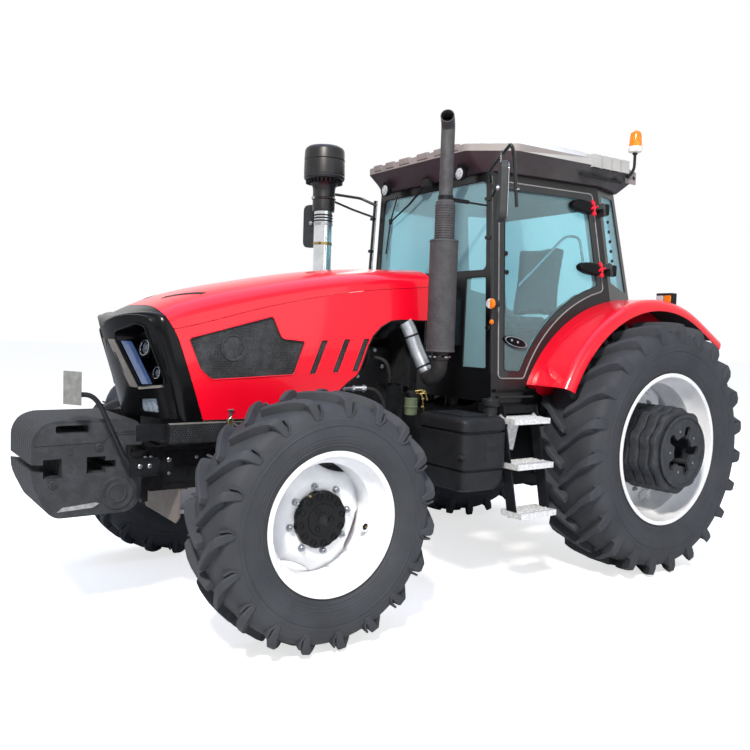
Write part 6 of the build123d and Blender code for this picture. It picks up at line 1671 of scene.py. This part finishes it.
    # Mirrors: shell on a bent tube frame
    mirrors = Piece("rearViewMirrors")
    for side, turn in ((1, 38), (-1, 20)):
        at = lambda x, y, z: Vector((side * x, y, z))
        mirrors.tube([at(0.628, 0.15, 2.525), at(0.7, 0.06, 2.575), at(1.055, -0.108, 2.648),
                      at(1.058, -0.085, 2.6), at(1.062, -0.05, 2.3)], 0.0105, "cabBlack", 12, 0.03, 5)
        mirrors.tube([at(0.64, 0.15, 2.435), at(0.8, 0.06, 2.5), at(1.01, -0.135, 2.618),
                      at(1.022, -0.15, 2.52)], 0.0085, "cabBlack", 12, 0.03, 5)
        n = Vector((sin(radians(turn)) * side, cos(radians(turn)), 0))
        place = facing(at(1.045, -0.15, 2.376) - n * 0.022, Vector((n.y, -n.x, 0)), zAxis)
        shell = softCorners([(-0.085, -0.165), (0.085, -0.165), (0.085, 0.165), (-0.085, 0.165)], 0.05, 4)
        deep = 0.044 if place.to_3x3().col[2].dot(n) > 0 else -0.044
        mirrors.slab(shell, place, deep, "cabTrim", 0.012, 3)
        glass = [(x * 0.9, y * 0.93) for x, y in shell]
        mirrors.slab(glass, place @ Matrix.Translation((0, 0, deep)), 0.003 if deep > 0 else -0.003,
                     "polishedStainless", 0.001)
        mirrors.turned([(0, 0.017), (0.01, 0.016), (0.014, 0.01), (0.015, 0)], place @ Vector((0.0, 0.02, 0)),
                       -n, "brightZinc", 18)
        mirrors.tube([place @ Vector((0, 0.02, 0)), at(1.062, -0.06, 2.396)], 0.009, "cabBlack", 10)
        mirrors.turned(rod(-0.014, 0.014, 0.014), at(1.062, -0.054, 2.396), (side * 0.7, 0.7, 0), "cabBlack",
                       14)
    mirrors.done("chassis", ["mirrors"], "black_paint")


addFinishes({
    # Cab frame: black paint over folded steel, half gloss
    "cabBlack": {"colour": "#0b0c0e", "tone": "#121316", "patchMm": 80, "rough": 0.34, "specular": 0.35,
                 "coat": 0.2, "coatRough": 0.1, "grainMm": 4, "relief": 0.03},
    # Drawn aluminium strip, bright
    "brightTrim": {"colour": "#b9bec4", "tone": "#9ba1a8", "patchMm": 30, "rough": 0.22, "metal": 0.9},
})
makeRoof()
makeCab()
print("roof, cab, doors, mirrors and lamps")


# ---- Exhaust and air intake ----
def makeExhaust():
    stack = {"x": 0.668, "y": -0.246, "foot": 1.462, "body": 2.13, "neck": 2.35, "r": 0.084, "neckR": 0.057,
             "pipeR": 0.041}
    x, y, foot, body, neck, r, neckR, pipeR = stack.values()
    exhaust = Piece("exhaustStack")
    centre = Vector((x, y, 0))
    # Silencer: pierced jacket between two rolled ends
    exhaust.turned([(foot, 0.0), (foot, r - 0.012), (foot + 0.006, r), (body - 0.01, r),
                    (body, r - 0.008), (body, neckR), (body, 0.0)], centre, zAxis, "piercedJacket", 72)
    for z in (foot + 0.008, body - 0.01):
        exhaust.turned([(z - 0.006, r), (z - 0.003, r + 0.003), (z + 0.003, r + 0.003), (z + 0.006, r)], centre,
                       zAxis, "heatPaint", 72, closed=True)
    # Ribbed neck of wound strip
    ribs = [(body, 0.0), (body, neckR)]
    z = body + 0.004
    while z < neck - 0.014:
        ribs += [(z, neckR), (z + 0.003, neckR + 0.0035), (z + 0.008, neckR + 0.0035), (z + 0.011, neckR)]
        z += 0.0145
    ribs += [(neck, neckR), (neck + 0.012, pipeR + 0.004), (neck + 0.012, 0.0)]
    exhaust.turned(ribs, centre, zAxis, "heatPaint", 48)
    # Outlet pipe, bent outward at the top, open at the mouth
    path = rounded([(x, y, neck + 0.01), (x, y, 2.81), (x + 0.055, y - 0.055, 2.835)], 0.06, 8)
    out = [Vector(p) for p in path]
    verts, sides = [], 28
    side = Vector(xAxis)
    for wall, loop in ((pipeR, out), (pipeR - 0.004, [out[-1]] + out[::-1][1:6])):
        for i, spot in enumerate(loop):
            k = i if wall == pipeR else len(out) - 1 - i
            ahead = (out[min(k + 1, len(out) - 1)] - out[max(k - 1, 0)]).normalized()
            side = (side - ahead * side.dot(ahead)).normalized()
            verts += ringPoints(spot, side, ahead.cross(side), wall, sides)
    bands = len(verts) // sides - 1
    exhaust.add(verts, bandFaces(bands, sides) + capFaces(bands, sides), "heatPaint")
    # A near-black disc closes the pipe inside its mouth: soot, and painted shade of the pipe's depth
    exhaust.turned([(0.0, pipeR - 0.0045), (0.0, 0.0), (0.002, 0.0), (0.002, pipeR - 0.0045)], out[-4],
                   (out[-3] - out[-5]), "sootAndShadeBlack", 28)
    exhaust.tube([out[0], out[0] + Vector((0, 0, 0.03))], pipeR + 0.004, "heatPaint", 28)
    # Small bracket to the post
    exhaust.box((0.668, -0.13, 2.372), (0.02, 0.13, 0.022), "satinBlackSteel", 0.004)
    exhaust.box((0.66, 0.01, 2.372), (0.018, 0.17, 0.01), "satinBlackSteel", 0.003)
    exhaust.turned(rod(-0.014, 0.014, pipeR + 0.005), (x, y, 2.372), zAxis, "satinBlackSteel", 28)
    for z, wide in ((1.452, 0.05), (1.425, 0.055)):
        exhaust.turned(rod(-0.008, 0.008, wide), (x, y, z), zAxis, "paintedCasting", 24)
    for i in range(5):
        a = i * 1.257
        exhaust.turned([(0, 0.01), (0.008, 0.01), (0.01, 0.008), (0.01, 0)],
                       (x + 0.058 * cos(a), y + 0.058 * sin(a), 1.43), zAxis, "brightZinc", 6)
    exhaust.done("chassis", ["exhaust_stack"], "matte_black", smooth=40)

    lower = Piece("exhaustElbow")
    lower.tube([(x, y, 1.425), (x, y - 0.005, 1.345), (0.6, -0.262, 1.292), (0.545, -0.236, 1.316)], 0.048,
               "sealRubber", 24, 0.06, 8)
    # Silver sleeve with two clamps between the engine and the elbow
    bend = [(0.442, -0.346, 1.64), (0.452, -0.322, 1.6), (0.48, -0.28, 1.47), (0.54, -0.24, 1.33)]
    lower.tube(bend, 0.044, "aluminisedTube", 28, 0.05, 6)
    for t, (a, b) in ((0.35, (bend[1], bend[2])), (0.72, (bend[2], bend[3])), (0.9, (bend[2], bend[3]))):
        a, b = Vector(a), Vector(b)
        lower.turned([(-0.006, 0.0435), (-0.006, 0.0465), (0.006, 0.0465), (0.006, 0.0435)], a.lerp(b, t),
                     b - a, "sealRubber" if t < 0.8 else "brightZinc", 28, closed=True)
    lower.tube([(0.3, -0.42, 1.56), (0.4, -0.38, 1.65), (0.442, -0.346, 1.64)], 0.04, "paintedCasting", 20,
               0.05, 5)
    lower.done("chassis", ["exhaust_pipe"], "matte_black")

    intake = Piece("airIntake")
    takeShape(intake, "intake_tube", lambda c, n: "sealRubber" if c.z > 2.335 or c.z < 1.5
              else "polishedStainless")
    centre = Vector((-0.6, -0.325, 0))
    for z, r, finishName in ((2.33, 0.0685, "brightZinc"), (2.19, 0.0675, "yellowZinc")):
        intake.turned([(z - 0.01, 0.0655), (z - 0.01, r), (z + 0.01, r), (z + 0.01, 0.0655)], centre, zAxis,
                      finishName, 40, closed=True)
    intake.box((-0.548, -0.388, 2.19), (0.024, 0.02, 0.016), "yellowZinc", 0.003)
    for z in (2.352, 2.372, 2.392):
        intake.turned([(z - 0.006, 0.0655), (z, 0.0695), (z + 0.006, 0.0655)], centre, zAxis, "sealRubber", 40)
    intake.done("chassis", ["intake_tube"], "chrome")

    cleaner = Piece("preCleaner")
    low = 2.421
    bowl = [(low, 0.0), (low, 0.078), (low + 0.02, 0.08), (2.5, 0.08), (2.508, 0.086), (2.512, 0.086),
            (2.52, 0.08), (2.56, 0.079), (2.59, 0.082), (2.612, 0.094), (2.628, 0.108), (2.64, 0.134),
            (2.646, 0.143), (2.662, 0.147), (2.668, 0.144), (2.674, 0.147), (2.752, 0.146), (2.757, 0.142),
            (2.761, 0.146), (2.812, 0.143), (2.826, 0.136), (2.836, 0.12), (2.842, 0.085), (2.846, 0.03),
            (2.846, 0.0)]
    top = max(v.co.z for v in nodes["precleaner"].data.vertices)
    bowl = [(z if z < 2.66 else 2.66 + (z - 2.66) * (top - 2.66) / (2.846 - 2.66), r) for z, r in bowl]
    cleaner.turned(bowl, centre, zAxis, "bowlPlastic", 64)
    fin = Piece("fin")
    fin.box((0.1075, 0, 0), (0.05, 0.004, 0.026), "bowlPlastic", 0.001)
    cleaner.joinRing(fin, "bowlPlastic", 28, (centre.x, centre.y, 2.628), 0, "z")
    cleaner.box((centre.x, centre.y - 0.084, 2.51), (0.03, 0.02, 0.02), "brightZinc", 0.003)
    cleaner.done("chassis", ["precleaner"], "tank_plastic")


# ---- Tank, steps and fenders ----
def makeTank():
    spots = [v.co for v in nodes["side_tanks"].data.vertices if v.co.x > 0]
    (x0, x1), (y0, y1) = ((min(p[k] for p in spots), max(p[k] for p in spots)) for k in (0, 1))
    foot = min(p.z for p in spots)
    piece = Piece("sideTanks")
    # Body as stacked rounded sections: wide bands parted by grooves, chamfered foot
    sections = [(0.0, 0.036), (0.016, 0.02), (0.06, 0.006), (0.108, 0.004), (0.116, 0.004), (0.121, 0.014),
                (0.13, 0.014), (0.135, 0.0), (0.205, 0.0), (0.275, 0.0), (0.333, 0.0), (0.338, 0.013),
                (0.348, 0.013), (0.353, 0.001), (0.395, 0.001), (0.412, 0.006), (0.424, 0.018), (0.43, 0.036)]
    verts = []
    for z, inset in sections:
        loop = softCorners([(x0 + inset * 0.4, y0 + inset), (x1 - inset, y0 + inset), (x1 - inset, y1 - inset),
                            (x0 + inset * 0.4, y1 - inset)], 0.055, 6)
        verts += [(x, y, foot + z) for x, y in loop]
    bands, count = len(sections) - 1, len(verts) // len(sections)
    piece.add(verts, bandFaces(bands, count) + capFaces(bands, count), "mouldedPolyethylene")
    midY = (y0 + y1) / 2
    for z in (0.985, 0.905):
        piece.box((x1 + 0.0005, midY + 0.035, z - 0.03), (0.003, 0.088, 0.052), "sealRubber", 0.001)
    piece.box((x1 - 0.02, y0 + 0.012, 0.88), (0.036, 0.05, 0.02), "sealRubber", 0.006)
    # Raised pads, straps and the filler neck
    top = foot + 0.43
    piece.box((0.8, midY - 0.03, top + 0.004), (0.26, 0.2, 0.014), "mouldedPolyethylene", 0.005)
    piece.box((0.86, midY - 0.06, top + 0.012), (0.046, 0.04, 0.01), "sealRubber", 0.003)
    for x in (0.66, 0.9):
        piece.box((x, midY, top + 0.0005), (0.03, y1 - y0 - 0.1, 0.004), "satinBlackSteel", 0.001)
    neck = Vector((0.905, y1 - 0.062, top - 0.004))
    piece.turned([(0.0, 0.0), (0.0, 0.046), (0.012, 0.04), (0.055, 0.038), (0.058, 0.046), (0.064, 0.05),
                  (0.094, 0.05), (0.1, 0.046), (0.102, 0.02), (0.108, 0.016), (0.108, 0.0)], neck, zAxis,
                 "mouldedPolyethylene", 36, wave=lambda a, along, r: 0.0012 * cos(a * 18)
                 if 0.062 < along < 0.096 else 0)
    piece.reflect()
    piece.done("chassis", ["side_tanks"], "tank_plastic", smooth=40)


def makeSteps():
    # Heights of the treads, how near a face lies to count as tread, and the treads' inner edge
    treads, near, outer = (1.061, 0.795, 0.509), 0.03, 0.8
    piece = Piece("accessSteps")
    takeShape(piece, "steps", lambda c, n: "galvanisedPlate" if abs(c.x) > outer
              and any(abs(c.z - z) < near for z in treads) else "satinBlackSteel")
    tooth = Piece("tooth")
    tooth.box((0, 0, 0), (0.011, 0.011, 0.008), "galvanisedPlate", 0.001)
    for z in treads:
        spots = [v.co for v in nodes["steps"].data.vertices if abs(v.co.z - z) < near and v.co.x > outer]
        (x0, x1), (y0, y1) = ((min(p[k] for p in spots), max(p[k] for p in spots)) for k in (0, 1))
        top = max(p.z for p in spots)
        count, down = int((y1 - y0 - 0.03) / 0.024), int((x1 - x0 - 0.03) / 0.028)
        for side in (1, -1):
            piece.joinRows(tooth, "galvanisedPlate", (side * (x0 + 0.022), y0 + 0.022, top + 0.002),
                           (0, 0.024, 0), count, (side * 0.028, 0, 0), down, (0, 0.012, 0))
            piece.box((side * (x1 + 0.001), (y0 + y1) / 2, top - 0.016), (0.004, y1 - y0, 0.034),
                      "galvanisedPlate", 0.001)
    # Plate hanging below the top tread, and its brace
    for side in (1, -1):
        piece.box((side * 0.8, 0.235, 0.96), (0.006, 0.1, 0.18), "galvanisedPlate", 0.002, (-14, 0, 0))
        piece.box((side * 0.812, 0.165, 0.94), (0.01, 0.03, 0.22), "sealRubber", 0.003, (-10, 0, 0))
    piece.done("chassis", ["steps"], "tread_steel", smooth=30)


def makeFenders():
    def pick(centre, normal):
        # Faces that look back at the wheel are brown-grey and coarse
        out = Vector((0, centre.y - rearWheelAt[1], centre.z - 0.826)).normalized()
        return "fenderInnerBrown" if normal.dot(out) < -0.35 and centre.z > 0.9 else "redEnamel"

    for side in ("left", "right"):
        piece = Piece("rearFender_" + side)
        takeShape(piece, "fender_" + side, pick)
        piece.done("chassis", ["fender_" + side], "red_paint", smooth=40)
    lamps = Piece("rearLamps")
    takeShape(lamps, "rear_lamps", lambda c, n: "sealRubber")
    for side in (1, -1):
        spots = [v.co for v in nodes["rear_lamps"].data.vertices if v.co.x * side > 0]
        front, back = min(p.y for p in spots), max(p.y for p in spots)
        mid, level = sum(p.x for p in spots) / len(spots), max(p.z for p in spots) - 0.045
        for dx, rearLens, frontLens in ((-0.03, "redAcrylic", "whiteLens"),
                                        (0.03, "amberAcrylic", "amberAcrylic")):
            lamps.box((mid + dx, back + 0.002, level), (0.054, 0.01, 0.06), rearLens, 0.004)
            lamps.box((mid + dx, front - 0.002, level), (0.054, 0.01, 0.056), frontLens, 0.004)
        for dx in (-0.062, 0.062):
            lamps.box((mid + dx, (back + front) / 2, level), (0.004, 0.05, 0.07), "satinBlackSteel", 0.001)
    lamps.done("chassis", ["rear_lamps"], "lamp_clear")


# ---- Engine bay seen below the hood's arch ----
def barOf(size, finishName, centre=(0, 0, 0), turn=(0, 0, 0)):
    # A small bar to be repeated
    bar = Piece("bar")
    bar.box(centre, size, finishName, 0.002, turn)
    return bar


def makeEngineBay():
    bay = Piece("engineBayParts")
    bay.box((0, -0.262, 1.4), (0.78, 0.008, 0.4), "sealRubber", 0.002)
    # Fuel filter: olive can, clear bowl, head and brass lines
    can = Vector((0.47, -0.3, 1.065))
    bay.turned([(0.0, 0.0), (0.0, 0.034), (0.006, 0.04), (0.045, 0.041), (0.049, 0.044), (0.055, 0.044),
                (0.059, 0.041), (0.104, 0.041), (0.11, 0.036), (0.11, 0.0)], can, zAxis, "oliveEnamel", 36)
    bay.turned([(0.11, 0.0), (0.11, 0.03), (0.15, 0.03), (0.152, 0.0)], can, zAxis, "sealRubber", 24)
    bay.box(can + Vector((0.0, 0.0, 0.128)), (0.06, 0.075, 0.026), "paintedCasting", 0.004)
    for path in ([(0.5, -0.29, 1.205), (0.515, -0.25, 1.195), (0.512, -0.232, 1.09), (0.5, -0.215, 1.05)],
                 [(0.49, -0.285, 1.215), (0.52, -0.235, 1.225), (0.525, -0.215, 1.16)],
                 [(0.505, -0.262, 1.2), (0.53, -0.225, 1.205)]):
        bay.tube(path, 0.0055, "yellowZinc", 8, 0.02, 4)
    for z in (1.215, 1.17, 1.12):
        bay.turned(rod(-0.008, 0.008, 0.009), (0.516, -0.243, z), (0.5, 0.6, 0.2), "yellowZinc", 6)
    # Bracket plate, hydraulic coupling and hoses in front of it
    bay.box((0.425, -0.395, 1.15), (0.12, 0.006, 0.24), "satinBlackSteel", 0.002, (0, 0, 20))
    bay.box((0.395, -0.345, 1.262), (0.15, 0.11, 0.006), "satinBlackSteel", 0.002)
    start, end = Vector((0.352, -0.76, 1.232)), Vector((0.43, -0.61, 1.232))
    bay.tube([start, end], 0.017, "brightZinc", 16)
    for t in (0.2, 0.55, 0.9):
        bay.turned(rod(-0.008, 0.008, 0.023), start.lerp(end, t), (0.46, 0.89, 0), "brightZinc", 6)
    for path, r in (([(0.43, -0.61, 1.232), (0.455, -0.56, 1.225), (0.452, -0.5, 1.16), (0.44, -0.47, 1.05)],
                     0.013),
                    ([(0.345, -0.62, 1.5), (0.4, -0.59, 1.48), (0.405, -0.585, 1.4), (0.352, -0.6, 1.33)],
                     0.01),
                    ([(0.345, -0.52, 1.42), (0.42, -0.46, 1.4), (0.415, -0.43, 1.31), (0.4, -0.42, 1.265)],
                     0.012)):
        bay.tube(path, r, "sealRubber", 12, 0.05, 5)
    for y, z in ((-0.66, 1.42), (-0.58, 1.36), (-0.5, 1.46), (-0.44, 1.36), (-0.62, 1.3)):
        bay.turned([(0, 0.013), (0.01, 0.013), (0.012, 0.01), (0.012, 0)], (0.3408, y, z), xAxis, "brightZinc",
                   6)
    # What the raised hood shows: ribbed rocker cover, fan and shroud, radiator on the rails, battery
    bay.box((0, -0.56, 1.504), (0.25, 0.82, 0.046), "paintedCasting", 0.01)
    bay.joinRows(barOf((0.23, 0.014, 0.014), "paintedCasting"), "paintedCasting", (0, -0.92, 1.532),
                 (0, 0.08, 0), 10)
    for y in (-0.84, -0.36):
        bay.turned([(0, 0.036), (0.03, 0.034), (0.034, 0.028), (0.034, 0)], (0.05, y, 1.526), zAxis,
                   "sealRubber", 16)
    for x, z, r in ((0, 0.82, 0.1), (0, 1.22, 0.062), (0.125, 1.08, 0.048), (-0.12, 1.33, 0.045)):
        bay.turned([(0, r), (0.01, r), (0.014, r - 0.01), (0.024, r - 0.01), (0.028, r), (0.036, r),
                    (0.036, 0.018), (0.044, 0.016), (0.044, 0)], (x, -1.048, z), (0, -1, 0), "satinBlackSteel",
                   32)
    bay.turned([(0, 0.02), (0.13, 0.02), (0.13, 0.05), (0.16, 0.044), (0.16, 0)], (0, -1.085, 1.22), (0, -1, 0),
               "brightZinc", 24)
    blade = barOf((0.07, 0.006, 0.15), "paintedCasting", (0, 0, 0.12), (0, 0, 28))
    bay.joinRing(blade, "paintedCasting", 8, (0, -1.23, 1.22), 0, "y")
    bay.turned([(0, 0.212), (0.1, 0.216), (0.11, 0.25), (0.116, 0.25), (0.106, 0.21), (0, 0.206)],
               (0, -1.24, 1.22), (0, -1, 0), "cabTrim", 48, closed=True)
    bay.box((0, -1.362, 1.215), (0.52, 0.01, 0.5), "cabTrim", 0.004)
    bay.box((0, -1.412, 1.215), (0.47, 0.08, 0.44), "sealRubber", 0.003)
    coreFin = barOf((0.0025, 0.012, 0.43), "galvanisedPlate")
    bay.joinRows(coreFin, "galvanisedPlate", (-0.228, -1.456, 1.215), (0.008, 0, 0), 58)
    for x in (-0.25, 0.25):
        bay.box((x, -1.412, 1.21), (0.026, 0.11, 0.555), "satinBlackSteel", 0.003)
    for z, tall in ((0.962, 0.058), (1.47, 0.07)):
        bay.box((0, -1.412, z), (0.5, 0.11, tall), "paintedCasting", 0.014)
    bay.turned([(0, 0.034), (0.022, 0.034), (0.028, 0.026), (0.028, 0)], (-0.14, -1.412, 1.503), zAxis,
               "brightZinc", 20)
    bay.tube([(0.13, -1.4, 1.49), (0.13, -1.3, 1.56), (0.1, -1.15, 1.56), (0.08, -1.02, 1.47)], 0.028,
             "sealRubber", 14, 0.07, 6)
    bay.box((0, -1.68, 1.02), (0.33, 0.19, 0.175), "cabTrim", 0.008)
    bay.box((0, -1.68, 1.118), (0.336, 0.196, 0.024), "sealRubber", 0.005)
    for x in (-0.11, 0.11):
        bay.turned([(0, 0.016), (0.018, 0.015), (0.022, 0.01), (0.022, 0)], (x, -1.64, 1.129), zAxis,
                   "brightZinc", 14)
    bay.box((0, -1.68, 0.931), (0.59, 0.2, 0.006), "satinBlackSteel", 0.002)
    bay.done("chassis", [], "cast_black")


addFinishes({
    # Perforated heat jacket: dark grey paint with a knurled weave of small holes
    "piercedJacket": {"colour": "#38383b", "tone": "#454548", "patchMm": 60, "rough": 0.55, "grainMm": 6,
                      "relief": 0.6, "grain": "ShaderNodeTexVoronoi"},
    # Soot inside the outlet, and painted shade: the near-black disc that closes the pipe a little inside its
    # mouth
    "sootAndShadeBlack": {"colour": "#030303", "tone": "#060606", "patchMm": 20, "rough": 0.95, "specular": 0.05},
    # Pre-cleaner bowl: black polypropylene with a waxy shine
    "bowlPlastic": {"colour": "#101113", "tone": "#1b1c1f", "patchMm": 60, "rough": 0.36, "specular": 0.4,
                    "grainMm": 3, "relief": 0.06},
})
makeExhaust()
makeTank()
makeSteps()
makeFenders()
makeEngineBay()
print("exhaust, intake, tank, steps and fenders")


# ---- Seat: padded cushion, back and head rest ----
def evaluated(holder):
    return bpy.data.meshes.new_from_object(holder.evaluated_get(bpy.context.evaluated_depsgraph_get()))


def swollen(mesh):
    # Remeshed, blown up under cloth pressure, held within the cap and smoothed once
    padding = {"voxel": 0.0076, "pressure": 4, "frames": 20, "cap": 0.024}
    holder = bpy.data.objects.new("padding", mesh)
    scene.collection.objects.link(holder)
    grid = holder.modifiers.new("voxels", "REMESH")
    grid.mode, grid.voxel_size = "VOXEL", padding["voxel"]
    base = evaluated(holder)
    holder.modifiers.clear()
    holder.data = base
    cloth = holder.modifiers.new("pressure", "CLOTH")
    cloth.settings.use_pressure = True
    cloth.settings.uniform_pressure_force = padding["pressure"]
    cloth.settings.effector_weights.gravity = 0
    for number in range(padding["frames"]):
        scene.frame_set(number + 1)
    blown = evaluated(holder)
    holder.modifiers.clear()
    scene.frame_set(1)
    for vertex, moved in zip(base.vertices, blown.vertices):
        shift = moved.co - vertex.co
        vertex.co += shift * min(1.0, padding["cap"] / max(shift.length, 1e-6))
    bpy.data.meshes.remove(blown)
    fine = holder.modifiers.new("fine", "SUBSURF")
    fine.levels = 1
    made = evaluated(holder)
    bpy.data.objects.remove(holder)
    bpy.data.meshes.remove(base)
    bpy.data.meshes.remove(mesh)
    return made


def makeSeat():
    source = bmesh.new()
    source.from_mesh(nodes["seat"].data)
    bmesh.ops.remove_doubles(source, verts=source.verts, dist=1e-5)
    left, pads = set(source.verts), []
    while left:
        grown, edge = set(), [left.pop()]
        while edge:
            vertex = edge.pop()
            grown.add(vertex)
            near = {e.other_vert(vertex) for e in vertex.link_edges} & left
            left -= near
            edge += near
        pads.append(grown)
    seat = Piece("driverSeat")
    shrink = 0.018
    for pad in pads:
        spots = {v: v.co.copy() for v in pad}
        low = [min(p[k] for p in spots.values()) for k in range(3)]
        high = [max(p[k] for p in spots.values()) for k in range(3)]
        mid = Vector([(a + b) / 2 for a, b in zip(low, high)])
        size = [b - a for a, b in zip(low, high)]
        scale = Matrix.Diagonal([max(0.5, 1 - 2 * shrink / s) for s in size]).to_4x4()
        index = {v: i for i, v in enumerate(pad)}
        faces = [[index[v] for v in f.verts] for f in source.faces if f.verts[0] in pad]
        mesh = bpy.data.meshes.new("pad")
        mesh.from_pydata([mid + scale @ (spots[v] - mid) for v in pad], [], faces)
        blown = swollen(mesh)
        tree = BVHTree.FromPolygons([v.co.copy() for v in blown.vertices],
                                    [tuple(p.vertices) for p in blown.polygons])
        seat.join(blown, "wovenSeatCloth")
        # Piping round the pad, halfway through its thinnest side, and two sewn channels over the face
        thin = size.index(min(size))
        one, two = [k for k in range(3) if k != thin]
        loop = []
        for i in range(72):
            ray = Vector((0, 0, 0))
            ray[one], ray[two] = cos(2 * pi * i / 72), sin(2 * pi * i / 72)
            hit = tree.ray_cast(mid + ray * 2.0, -ray)[0]
            if hit:
                loop.append(hit)
        if len(loop) > 60:
            seat.tube(loop + loop[:1], 0.0035, "cabTrim", 8)
        for share in (-0.22, 0.22):
            line = []
            for i in range(25):
                spot = mid.copy()
                spot.x += share * size[0]
                spot[two] += (i / 24 - 0.5) * size[two] * 0.84
                ray = Vector((0, 0, 0))
                ray[thin] = -1.0 if thin == 1 else 1.0
                hit = tree.ray_cast(spot + ray * 1.0, -ray)[0]
                if hit:
                    line.append(hit - ray * 0.001)
            if len(line) > 12 and one == 0:
                seat.tube(line, 0.0028, "cabTrim", 6)
    source.free()
    piece = seat.done("chassis", ["seat"], "seat_fabric", smooth=60, weighted=False)


makeSeat()
print("seat")

# ---- Finishes of the CAD pieces that stay ----
kept = {"paintedCasting": ["front_axle", "knuckle_left", "knuckle_right", "tie_rod", "front_support",
                           "weight_carrier", "engine", "transmission", "rear_axle"],
        "greyPrimer": ["front_guard"], "satinBlackSteel": ["tank_brackets", "lower_links", "lift_arms",
                                                           "lift_rods", "drawbar", "top_link"],
        "skyGlass": ["windshield", "cab_glass"], "doorGlass": ["door_glass_left", "door_glass_right"],
        "cabTrim": ["console", "steering_wheel", "seat_base"], }
for finishName, names in kept.items():
    for name in names:
        nodes[name].data.materials.clear()
        nodes[name].data.materials.append(finish[finishName])
print("kept nodes dressed")
